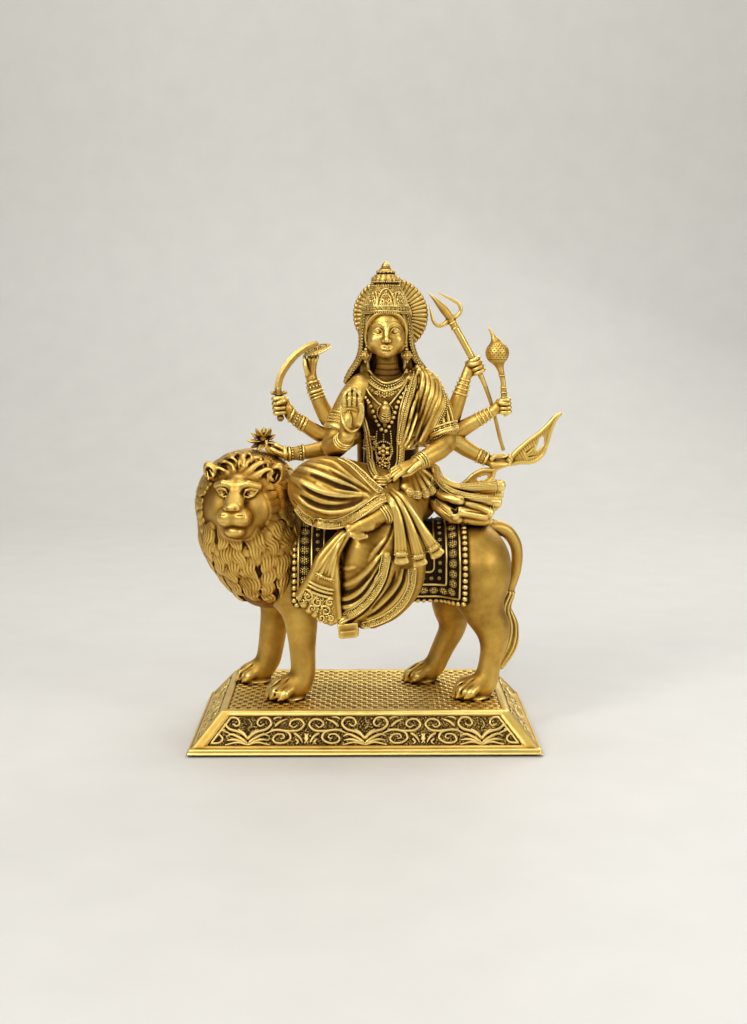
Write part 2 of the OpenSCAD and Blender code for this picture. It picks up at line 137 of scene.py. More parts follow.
    def at(self, P):
        """Trilinear value at points (n, 3)."""
        q = (np.asarray(P, float) - self.lo) / self.h
        q = np.clip(q, 0, self.n - 1.001)
        i = q.astype(int)
        t = (q - i).astype(F32)
        f = self.f
        r = 0
        for dx in (0, 1):
            for dy in (0, 1):
                for dz in (0, 1):
                    w = (t[:, 0] if dx else 1 - t[:, 0]) * (t[:, 1] if dy else 1 - t[:, 1]) * (t[:, 2] if dz else 1 - t[:, 2])
                    r = r + w * f[i[:, 0] + dx, i[:, 1] + dy, i[:, 2] + dz]
        return r

    def grad(self, P):
        P = np.asarray(P, float)
        e = self.h
        g = np.stack([self.at(P + e * v) - self.at(P - e * v) for v in np.eye(3)], 1)
        return g / (np.linalg.norm(g, axis=1, keepdims=True) + 1e-9)

    def drop(self, P, D, reach=60.0):
        """Moves points P along D to the first surface they meet; returns points and a hit mask."""
        P = np.asarray(P, float).copy()
        D = np.asarray(D, float)
        D = D / np.linalg.norm(D, axis=-1, keepdims=True)
        D = np.broadcast_to(D, P.shape)
        st = self.h * 0.8
        n = int(reach / st)
        hit = np.zeros(len(P), bool)
        Q = P.copy()
        prev = self.at(P)
        for i in range(n):
            P = P + D * st
            inside = np.all((P >= self.lo) & (P <= self.lo + (self.n - 1) * self.h), axis=1)
            v = np.where(inside, self.at(P), 7.0)
            new = (v <= 0) & ~hit
            if new.any():
                t = (prev[new] / (prev[new] - v[new] + 1e-9))[:, None]
                Q[new] = P[new] - D[new] * st * (1 - np.clip(t, 0, 1))
                hit |= new
            prev = v
        return Q, hit

    def snap(self, P, off=0.0, n=6):
        """Pulls points onto the surface (plus off outwards) along the gradient."""
        P = np.asarray(P, float).copy()
        for _ in range(n):
            P = P - self.grad(P) * (self.at(P) - off)[:, None] * 0.9
        return P

    def soft(self, w=1, times=2):
        g = self.f.clip(-7, 7)
        for _ in range(times):
            for ax in range(3):
                g = boxblur(g, w, ax)
        self.f = np.ascontiguousarray(g)
        return self

    def cav(self, P, b):
        """Blurred minus sharp distance at P: above zero on ridges, below in hollows."""
        w = max(1, int(round(b / self.h)))
        g = self.f.clip(-6, 6)
        for ax in range(3):
            g = boxblur(g, w, ax)
        keep = self.f
        self.f = g
        v = self.at(P)
        self.f = keep
        return (v - self.at(P)) / b


def boxblur(a, w, ax):
    a = np.moveaxis(a, ax, 0)
    p = np.concatenate([np.repeat(a[:1], w + 1, 0), a, np.repeat(a[-1:], w, 0)], 0)
    c = np.cumsum(p, 0, dtype=np.float64 if a.shape[0] > 400 else F32)
    r = (c[2 * w + 1:] - c[:-(2 * w + 1)]) / (2 * w + 1)
    return np.moveaxis(r.astype(F32), 0, ax)


def rotm(r):
    x, y, z = [math.radians(v) for v in r]
    cx, sx, cy, sy, cz, sz = math.cos(x), math.sin(x), math.cos(y), math.sin(y), math.cos(z), math.sin(z)
    return (np.array([[cz, -sz, 0], [sz, cz, 0], [0, 0, 1]]) @ np.array([[cy, 0, sy], [0, 1, 0], [-sy, 0, cy]])
            @ np.array([[1, 0, 0], [0, cx, -sx], [0, sx, cx]]))


def cone(g, a, b):
    ba = (b[:3] - a[:3]).astype(F32)
    l2 = float(ba @ ba)
    px, py, pz = g[0] - F32(a[0]), g[1] - F32(a[1]), g[2] - F32(a[2])
    if l2 < 1e-8:
        return np.sqrt(px * px + py * py + pz * pz) - F32(a[3])
    t = np.clip((px * ba[0] + py * ba[1] + pz * ba[2]) * F32(1 / l2), 0, 1)
    return np.sqrt((px - ba[0] * t) ** 2 + (py - ba[1] * t) ** 2 + (pz - ba[2] * t) ** 2) - (F32(a[3]) + F32(b[3] - a[3]) * t)


def curve(pts, n=6, closed=False):
    """Smooth run through stations of any width (Catmull-Rom), n steps a span."""
    p = np.array(pts, float)
    if len(p) < 3 and not closed:
        t = np.linspace(0, 1, n + 1)[:, None]
        return p[0] + (p[1] - p[0]) * t
    q = np.vstack([p[-1:], p, p[:2]]) if closed else np.vstack([2 * p[0] - p[1], p, 2 * p[-1] - p[-2]])
    out = []
    m = len(p) if closed else len(p) - 1
    for i in range(m):
        a, b, c, d = q[i], q[i + 1], q[i + 2], q[i + 3]
        for t in np.linspace(0, 1, n, endpoint=False):
            out.append(0.5 * (2 * b + (c - a) * t + (2 * a - 5 * b + 4 * c - d) * t * t + (3 * b - a - 3 * c + d) * t ** 3))
    if not closed:
        out.append(p[-1])
    return np.array(out)


def even(P, step, closed=False):
    """Points every step mm along a polyline, and the direction there."""
    P = np.asarray(P, float)
    if closed:
        P = np.vstack([P, P[:1]])
    seg = np.linalg.norm(np.diff(P[:, :3], axis=0), axis=1)
    s = np.r_[0, np.cumsum(seg)]
    n = max(1, int(round(s[-1] / step)))
    u = np.linspace(0, s[-1], n + 1)
    if closed:
        u = u[:-1]
    Q = np.stack([np.interp(u, s, P[:, i]) for i in range(P.shape[1])], 1)
    e = min(step * 0.3, s[-1] * 0.1)
    A = np.stack([np.interp(np.clip(u - e, 0, s[-1]), s, P[:, i]) for i in range(3)], 1)
    B = np.stack([np.interp(np.clip(u + e, 0, s[-1]), s, P[:, i]) for i in range(3)], 1)
    T = B - A
    return Q, T / (np.linalg.norm(T, axis=1, keepdims=True) + 1e-9)


# The front sketch: u runs right and v down, in sketch units, as seen from an eye 804.5 mm in front at z 222.4
EYE = np.array([0.0, -804.5, 222.4])


def ray(uv):
    uv = np.asarray(uv, float)
    s = 1507 / 804.5
    Q = np.stack([(uv[:, 0] - 365) / s, np.zeros(len(uv)), 222.4 - (uv[:, 1] - 310) / s], 1)
    D = Q - EYE
    return D / D[:, 1:2]


def sk(uv, y):
    """Sketch points placed at depth y."""
    uv = np.asarray(uv, float)
    return EYE + ray(uv) * (np.asarray(y, float) + 804.5).reshape(-1, 1)


def lay(F, uv, y0=-62.0, reach=90.0, off=0.0):
    """Sketch points laid on the first surface of F; a miss takes the depth of its nearest neighbour."""
    uv = np.asarray(uv, float)
    R = ray(uv)
    P, hit = F.drop(EYE + R * (y0 + 804.5), R, reach)
    if not hit.any():
        return P
    if not hit.all():
        idx = np.where(hit)[0]
        for i in np.where(~hit)[0]:
            j = idx[np.argmin(np.abs(idx - i))]
            P[i] = EYE + R[i] * (P[j, 1] + 804.5)
    if off:
        P = P + F.grad(P) * off
    return P


def ridge(F, uv, r, k=0.8, sink=0.0, cut=False, n=5, taper=True, y0=-62.0):
    """A raised (or cut) cord drawn on the sketch and laid on F. uv stations may carry their own radius."""
    c = curve(uv, n)
    P = lay(F, c[:, :2], y0)
    rr = c[:, 2] if c.shape[1] > 2 else np.full(len(c), float(r))
    if taper and c.shape[1] == 2:
        t = np.linspace(0, 1, len(c))
        rr = rr * np.clip(np.minimum(t, 1 - t) * 5 + 0.25, 0, 1)
    G = F.grad(P)
    P = P + G * (sink if cut else -sink)
    F.chain(np.c_[P, rr], k, cut)
    return P


def lay2(Fs, uv, y0=-62.0, reach=90.0, off=0.0):
    """Sketch points laid on whichever of several fields they meet first, with the outward direction there."""
    uv = np.asarray(uv, float)
    R = ray(uv)
    best = None
    for F in Fs:
        P, hit = F.drop(EYE + R * (y0 + 804.5), R, reach)
        N = F.grad(P)
        d = np.where(hit, P[:, 1], 999.0)
        if best is None:
            best = [P, N, d]
        else:
            m = d < best[2]
            best[0][m], best[1][m], best[2][m] = P[m], N[m], d[m]
    P, N, d = best
    ok = d < 900
    if ok.any() and not ok.all():
        idx = np.where(ok)[0]
        for i in np.where(~ok)[0]:
            j = idx[np.argmin(np.abs(idx - i))]
            P[i] = EYE + R[i] * (P[j, 1] + 804.5)
            N[i] = N[j]
    return P + N * off, N


# ------------------------------------------------------------------ meshes
def mesh(name, V, faces, mat, cav=None, smooth=True, rep=None):
    """V in mm; faces a list of (n, k) index arrays."""
    me = bpy.data.meshes.new(name)
    V = np.ascontiguousarray(np.asarray(V, F32) * F32(0.001))
    faces = [np.asarray(f, np.int32) for f in faces if len(f)]
    me.vertices.add(len(V))
    me.vertices.foreach_set("co", V.ravel())
    loops = np.concatenate([f.ravel() for f in faces])
    size = np.concatenate([np.full(len(f), f.shape[1], np.int32) for f in faces])
    me.loops.add(len(loops))
    me.loops.foreach_set("vertex_index", loops)
    me.polygons.add(len(size))
    me.polygons.foreach_set("loop_start", np.r_[0, np.cumsum(size)[:-1]].astype(np.int32))
    me.polygons.foreach_set("loop_total", size)
    me.polygons.foreach_set("use_smooth", np.full(len(size), smooth))
    me.update(calc_edges=True)
    me.validate()
    if cav is not None:
        a = me.attributes.new("cav", "FLOAT", "POINT")
        a.data.foreach_set("value", np.asarray(cav, F32))
    me.materials.append(mat)
    o = bpy.data.objects.new(name, me)
    bpy.context.scene.collection.objects.link(o)
    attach(o, "root")
    if rep:
        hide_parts(*([rep] if isinstance(rep, str) else rep))
    return o


class Kit:
    """Collects the meshes that make one named piece."""

    def __init__(self):
        self.V, self.F, self.C, self.n = [], [], [], 0

    def add(self, V, faces, cav):
        self.V.append(np.asarray(V, float))
        self.F += [np.asarray(f) + self.n for f in faces if len(f)]
        self.C.append(np.broadcast_to(np.asarray(cav, float), (len(V),)).copy())
        self.n += len(V)
        return self

    def field(self, F, fine=0.9, gain=1.0, wide=3.0):
        g = vdb.FloatGrid(3.0)
        g.copyFromArray(np.clip(F.f / F.h, -3, 3).astype(F32), ijk=(0, 0, 0), tolerance=0.0)
        p, q = g.convertToQuads(isovalue=0.0)
        V = np.asarray(p, float) * F.h + F.lo
        q = np.asarray(q)[:, ::-1]
        c = 1.0 * F.cav(V, fine) + 0.6 * F.cav(V, wide)
        return self.add(V, [q], c * gain)

    def copies(self, unit, P, X, Y, Z, sc):
        """Copies a unit mesh (V, faces, cav) to points P with axes X, Y, Z and scales sc (n,) or (n, 3)."""
        V, faces, cav = unit
        n = len(P)
        if n == 0:
            return self
        sc = np.asarray(sc, float)
        if sc.ndim == 0:
            sc = np.full(n, float(sc))
        if sc.ndim == 1:
            sc = np.repeat(sc[:, None], 3, 1)
        W = (P[:, None, :] + V[None, :, 0:1] * (X * sc[:, 0:1])[:, None, :] + V[None, :, 1:2] * (Y * sc[:, 1:2])[:, None, :]
             + V[None, :, 2:3] * (Z * sc[:, 2:3])[:, None, :])
        off = (np.arange(n) * len(V))
        self.add(W.reshape(-1, 3), [(f[None] + off[:, None, None]).reshape(-1, f.shape[1]) for f in faces], np.tile(cav, n))
        return self

    def out(self, name, mat, slot, rep=None, smooth=True):
        return mesh(name, np.vstack(self.V), self.F, mat, np.concatenate(self.C), smooth, rep)


def axes(N, T=None):
    """Right-handed axes with Z along N and X near T."""
    N = N / (np.linalg.norm(N, axis=1, keepdims=True) + 1e-9)
    if T is None:
        T = np.where(np.abs(N[:, 2:3]) < 0.9, [[0.0, 0, 1]], [[1.0, 0, 0]])
    X = T - N * np.sum(T * N, 1, keepdims=True)
    X = X / (np.linalg.norm(X, axis=1, keepdims=True) + 1e-9)
    return X, np.cross(N, X), N


def dome(nu=8, nv=3, low=-0.25, squash=1.0):
    """A bead: unit half ball that reaches a little below its seat."""
    V, C = [], []
    for j in range(nv):
        e = low + (math.pi / 2 - low) * j / nv
        for i in range(nu):
            a = 2 * math.pi * i / nu
            V.append([math.cos(e) * math.cos(a), math.cos(e) * math.sin(a), math.sin(e) * squash])
            C.append(-0.5 + 1.5 * max(0, math.sin(e)))
    V.append([0, 0, squash])
    C.append(1.0)
    quads = [[j * nu + i, j * nu + (i + 1) % nu, (j + 1) * nu + (i + 1) % nu, (j + 1) * nu + i] for j in range(nv - 1) for i in range(nu)]
    tris = [[(nv - 1) * nu + i, (nv - 1) * nu + (i + 1) % nu, nv * nu] for i in range(nu)]
    return np.array(V), [np.array(quads), np.array(tris)], np.array(C)


def flower(pet=6, nu=24, nv=6):
    """A unit rosette: petals round a raised eye."""
    V, C = [], []
    for j in range(nv + 1):
        t = j / nv
        for i in range(nu):
            a = 2 * math.pi * i / nu
            lobe = 0.84 + 0.16 * math.cos(pet * a)
            r = (1 - t) * lobe
            if t == 0:
                z = -0.25
            else:
                rr = 1 - t
                z = 0.42 * math.sin(min(1, (1 - rr) * 3.2) * math.pi / 2) * (0.72 + 0.28 * math.cos(pet * a)) if rr > 0.4 else (0.22 if rr > 0.33 else 0.62 * math.sqrt(max(0, 1 - (rr / 0.36) ** 2)) + 0.1)
            V.append([r * math.cos(a), r * math.sin(a), z])
            C.append(-0.6 if t == 0 else (-0.5 if 0.33 < 1 - t < 0.45 else 0.3 + 0.6 * z + 0.35 * math.cos(pet * a)))
    quads = [[j * nu + i, j * nu + (i + 1) % nu, (j + 1) * nu + (i + 1) % nu, (j + 1) * nu + i] for j in range(nv - 1) for i in range(nu)]
    V.append([0, 0, 0.72])
    C.append(0.9)
    tris = [[(nv - 1) * nu + i, (nv - 1) * nu + (i + 1) % nu, len(V) - 1] for i in range(nu)]
    V = np.array(V)
    return V, [np.array(quads), np.array(tris)], np.array(C)


BEAD = dome()
BEAD_S = dome(6, 2)
FLOWER = flower()


def beads(K, F, P, r, pitch=None, unit=BEAD, sink=0.15, closed=False, N=None):
    """Seats beads every pitch along polyline P on the surface of F."""
    Q, T = even(P, pitch or 2 * r, closed)
    Q = Q[:, :3]
    if N is None:
        Q = F.snap(Q)
        N = F.grad(Q)
    X, Y, Z = axes(np.broadcast_to(N, Q.shape).copy(), T)
    K.copies(unit, Q - Z * r * sink, X, Y, Z, r)
    return Q


def rope(K, P, r, nu=8, cavb=0.35, twist=0.0, amp=0.0, lobes=2, caps=True):
    """A round cord through P (n, 3); amp and lobes give it a twisted-strand relief. r may be per point."""
    P = np.asarray(P, float)
    n = len(P)
    r = np.broadcast_to(np.asarray(r, float), (n,))
    T = np.gradient(P, axis=0)
    T /= np.linalg.norm(T, axis=1, keepdims=True) + 1e-9
    X = np.zeros((n, 3))
    x = np.cross(T[0], [0.3, 0.2, 0.93])
    x /= np.linalg.norm(x)
    for i in range(n):
        x = x - T[i] * (x @ T[i])
        x /= np.linalg.norm(x) + 1e-9
        X[i] = x
    Y = np.cross(T, X)
    a = 2 * np.pi * np.arange(nu) / nu
    s = np.r_[0, np.cumsum(np.linalg.norm(np.diff(P, axis=0), axis=1))]
    w = 1 + amp * np.cos(lobes * (a[None] + twist * s[:, None]))
    V = P[:, None] + (X[:, None] * np.cos(a)[None, :, None] + Y[:, None] * np.sin(a)[None, :, None]) * (r[:, None] * w)[..., None]
    C = np.full((n, nu), cavb) + (w - 1) / max(amp, 1e-6) * 0.5 * (amp > 0)
    i, j = np.meshgrid(np.arange(n - 1), np.arange(nu), indexing="ij")
    q = np.stack([i * nu + j, i * nu + (j + 1) % nu, (i + 1) * nu + (j + 1) % nu, (i + 1) * nu + j], -1).reshape(-1, 4)
    K.add(V.reshape(-1, 3), [q], C.ravel())
    if caps:
        for e, sgn in ((0, 1), (n - 1, -1)):
            ring = V[e]
            c = P[e] - T[e] * r[e] * 0.5 * sgn
            k = np.arange(nu)
            t = np.stack([k, (k + 1) % nu, np.full(nu, nu)], 1)
            if sgn > 0:
                t = t[:, ::-1]
            K.add(np.vstack([ring, c[None]]), [t], cavb)
    return K


def lathe(K, c, prof, nu=96, cav=None, rot=(0, 0, 0), fn=None):
    """Turns a profile [(r, z)] about an upright line through c; fn(angle, i) may offset the radius."""
    p = np.array(prof, float)
    a = 2 * np.pi * np.arange(nu) / nu
    R = rotm(rot)
    r = p[:, 0:1] + (0 if fn is None else fn(a[None, :], np.arange(len(p))[:, None], p))
    V = np.stack([r * np.cos(a)[None], r * np.sin(a)[None], np.broadcast_to(p[:, 1:2], r.shape)], -1).reshape(-1, 3) @ R.T + np.array(c)
    i, j = np.meshgrid(np.arange(len(p) - 1), np.arange(nu), indexing="ij")
    q = np.stack([i * nu + j, i * nu + (j + 1) % nu, (i + 1) * nu + (j + 1) % nu, (i + 1) * nu + j], -1).reshape(-1, 4)
    if cav is None:
        cav = 0.2
    C = np.repeat(np.broadcast_to(np.asarray(cav, float), (len(p),)), nu)
    K.add(V, [q], C)
    return V.reshape(len(p), nu, 3)
# ------------------------------------------------------------------ finishes
def _n(nt, kind, **kw):
    n = nt.nodes.new(kind)
    for k, v in kw.items():
        if k.startswith("i_"):
            n.inputs[int(k[2:]) if k[2:].isdigit() else k[2:]].default_value = v
        else:
            setattr(n, k, v)
    return n


def brass(name, dark=(0.045, 0.019, 0.0028), mid=(0.24, 0.112, 0.012), high=(0.97, 0.735, 0.235), lo=-0.34, md=0.0, hi=0.42,
          rough=0.31, ao=3.4, painted_ao_shade=0.8, grain=0.6, key=(0.64, 0.395, 0.08)):
    """Antique brass: rubbed bright on the tops, brown patina in the hollows, and painted shade from an
    ambient-occlusion term that darkens crevices and the gaps between pieces.
    """
    m = bpy.data.materials.new(name)
    m.use_nodes = True
    nt = m.node_tree
    nt.nodes.clear()
    L = nt.links.new
    out = _n(nt, "ShaderNodeOutputMaterial")
    b = _n(nt, "ShaderNodeBsdfPrincipled")
    L(b.outputs[0], out.inputs[0])
    at = _n(nt, "ShaderNodeAttribute", attribute_name="cav")
    tc = _n(nt, "ShaderNodeTexCoord")
    mp = _n(nt, "ShaderNodeMapping")
    L(tc.outputs["Object"], mp.inputs[0])
    n1 = _n(nt, "ShaderNodeTexNoise")
    n1.inputs["Scale"].default_value = 95.0
    n1.inputs["Detail"].default_value = 5.0
    n1.inputs["Roughness"].default_value = 0.62
    n2 = _n(nt, "ShaderNodeTexNoise")
    n2.inputs["Scale"].default_value = 900.0
    n2.inputs["Detail"].default_value = 3.0
    n3 = _n(nt, "ShaderNodeTexNoise")
    n3.inputs["Scale"].default_value = 22.0
    n3.inputs["Detail"].default_value = 3.0
    for n in (n1, n2, n3):
        L(mp.outputs[0], n.inputs["Vector"])
    # painted shade: ambient occlusion pushes the colour towards the dark patina end wherever surfaces and neighbouring
    # pieces crowd in
    ao_shade_node = _n(nt, "ShaderNodeAmbientOcclusion", samples=6)
    ao_shade_node.inputs["Distance"].default_value = ao * 0.001
    ar = _n(nt, "ShaderNodeMapRange")
    ar.inputs[1].default_value, ar.inputs[2].default_value = 0.15, 0.85
    ar.inputs[3].default_value, ar.inputs[4].default_value = -painted_ao_shade, 0.0
    L(ao_shade_node.outputs["AO"], ar.inputs[0])
    s1 = _n(nt, "ShaderNodeMath", operation="ADD")
    L(at.outputs["Fac"], s1.inputs[0])
    L(ar.outputs[0], s1.inputs[1])
    w1 = _n(nt, "ShaderNodeMath", operation="MULTIPLY_ADD")
    L(n1.outputs["Fac"], w1.inputs[0])
    w1.inputs[1].default_value = 0.55 * grain
    L(s1.outputs[0], w1.inputs[2])
    w2 = _n(nt, "ShaderNodeMath", operation="MULTIPLY_ADD")
    L(n3.outputs["Fac"], w2.inputs[0])
    w2.inputs[1].default_value = 0.5 * grain
    L(w1.outputs[0], w2.inputs[2])
    sb = _n(nt, "ShaderNodeMath", operation="SUBTRACT")
    L(w2.outputs[0], sb.inputs[0])
    sb.inputs[1].default_value = 0.525 * grain
    mr = _n(nt, "ShaderNodeMapRange")
    mr.inputs[1].default_value, mr.inputs[2].default_value = lo, hi
    L(sb.outputs[0], mr.inputs[0])
    cr = _n(nt, "ShaderNodeValToRGB")
    e = cr.color_ramp.elements
    e[0].position, e[0].color = 0.0, (*dark, 1)
    e[1].position, e[1].color = 1.0, (*high, 1)
    pm = (md - lo) / (hi - lo)
    k = e.new(pm * 0.62)
    k.color = (*mid, 1)
    k = e.new(min(0.97, pm + 0.12))
    k.color = (*key, 1)
    L(mr.outputs[0], cr.inputs[0])
    L(cr.outputs[0], b.inputs["Base Color"])
    me = _n(nt, "ShaderNodeMapRange")
    me.inputs[1].default_value, me.inputs[2].default_value = 0.05, 0.4
    me.inputs[3].default_value, me.inputs[4].default_value = 0.78, 1.0
    L(mr.outputs[0], me.inputs[0])
    L(me.outputs[0], b.inputs["Metallic"])
    rr = _n(nt, "ShaderNodeMapRange")
    rr.inputs[1].default_value, rr.inputs[2].default_value = 0.0, 0.9
    rr.inputs[3].default_value, rr.inputs[4].default_value = min(0.9, rough + 0.3), rough - 0.04
    L(mr.outputs[0], rr.inputs[0])
    ra = _n(nt, "ShaderNodeMath", operation="MULTIPLY_ADD")
    L(n1.outputs["Fac"], ra.inputs[0])
    ra.inputs[1].default_value = 0.2
    L(rr.outputs[0], ra.inputs[2])
    L(ra.outputs[0], b.inputs["Roughness"])
    bp = _n(nt, "ShaderNodeBump")
    bp.inputs["Strength"].default_value = 0.5
    bp.inputs["Distance"].default_value = 0.00016
    L(n2.outputs["Fac"], bp.inputs["Height"])
    bp2 = _n(nt, "ShaderNodeBump")
    bp2.inputs["Strength"].default_value = 0.42
    bp2.inputs["Distance"].default_value = 0.0008
    L(n1.outputs["Fac"], bp2.inputs["Height"])
    L(bp.outputs[0], bp2.inputs["Normal"])
    L(bp2.outputs[0], b.inputs["Normal"])
    return m


def plain(name, col, rough, metal, scale, amp, bump):
    m = bpy.data.materials.new(name)
    m.use_nodes = True
    nt = m.node_tree
    b = nt.nodes["Principled BSDF"]
    tc = _n(nt, "ShaderNodeTexCoord")
    n = _n(nt, "ShaderNodeTexNoise")
    n.inputs["Scale"].default_value = scale
    n.inputs["Detail"].default_value = 6.0
    nt.links.new(tc.outputs["Object"], n.inputs["Vector"])
    cr = _n(nt, "ShaderNodeValToRGB")
    cr.color_ramp.elements[0].color = (*[c * (1 - amp) for c in col], 1)
    cr.color_ramp.elements[1].color = (*[min(1, c * (1 + amp)) for c in col], 1)
    cr.color_ramp.elements[0].position, cr.color_ramp.elements[1].position = 0.3, 0.7
    nt.links.new(n.outputs["Fac"], cr.inputs[0])
    nt.links.new(cr.outputs[0], b.inputs["Base Color"])
    b.inputs["Roughness"].default_value = rough
    b.inputs["Metallic"].default_value = metal
    bp = _n(nt, "ShaderNodeBump")
    bp.inputs["Strength"].default_value = 0.5
    bp.inputs["Distance"].default_value = bump
    nt.links.new(n.outputs["Fac"], bp.inputs["Height"])
    nt.links.new(bp.outputs[0], b.inputs["Normal"])
    return m


POLISHED = brass("brass_polished")
AGED = brass("brass_aged", dark=(0.03, 0.012, 0.002), mid=(0.16, 0.07, 0.008), key=(0.36, 0.2, 0.034), high=(0.8, 0.58, 0.18), hi=0.55, lo=-0.26, rough=0.36, painted_ao_shade=0.95)
BRIGHT = brass("brass_bright", mid=(0.25, 0.125, 0.016), key=(0.58, 0.355, 0.075), high=(0.92, 0.69, 0.225), rough=0.31)
MANE = brass("brass_mane", mid=(0.16, 0.066, 0.006), key=(0.36, 0.18, 0.026), high=(0.82, 0.55, 0.14), lo=-0.32, hi=0.5, rough=0.36, painted_ao_shade=0.85)
FOOT = brass("brass_foot", mid=(0.2, 0.1, 0.016), key=(0.46, 0.28, 0.065), high=(0.82, 0.6, 0.2), rough=0.34)
GROUND = brass("brass_ground", dark=(0.02, 0.011, 0.005), mid=(0.06, 0.033, 0.013), key=(0.16, 0.095, 0.03), high=(0.4, 0.26, 0.08), rough=0.46)
PANEL = brass("brass_panel_ground", dark=(0.03, 0.013, 0.003), mid=(0.12, 0.064, 0.015), key=(0.3, 0.18, 0.045), high=(0.6, 0.42, 0.13), rough=0.42)
FELT = plain("felt", (0.035, 0.016, 0.012), 0.95, 0.0, 2600.0, 0.5, 0.0002)
STEEL = plain("steel", (0.55, 0.55, 0.57), 0.35, 1.0, 500.0, 0.12, 0.00003)
FLOOR = plain("floor", (0.71, 0.69, 0.645), 0.5, 0.0, 30.0, 0.02, 0.00002)

for nd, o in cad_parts.items():
    if nd == "base_felt":
        mt, sl = FELT, "felt"
    elif nd in ("paw_studs", "stud_washers", "stud_nuts"):
        mt, sl = STEEL, "steel"
    else:
        mt, sl = POLISHED, "brass_polished"
    o.data.materials.clear()
    o.data.materials.append(mt)
# ------------------------------------------------------------------ plinth
def smax(a, b, k):
    h = np.clip(0.5 + 0.5 * (a - b) / k, 0, 1)
    return b + (a - b) * h + k * h * (1 - h)


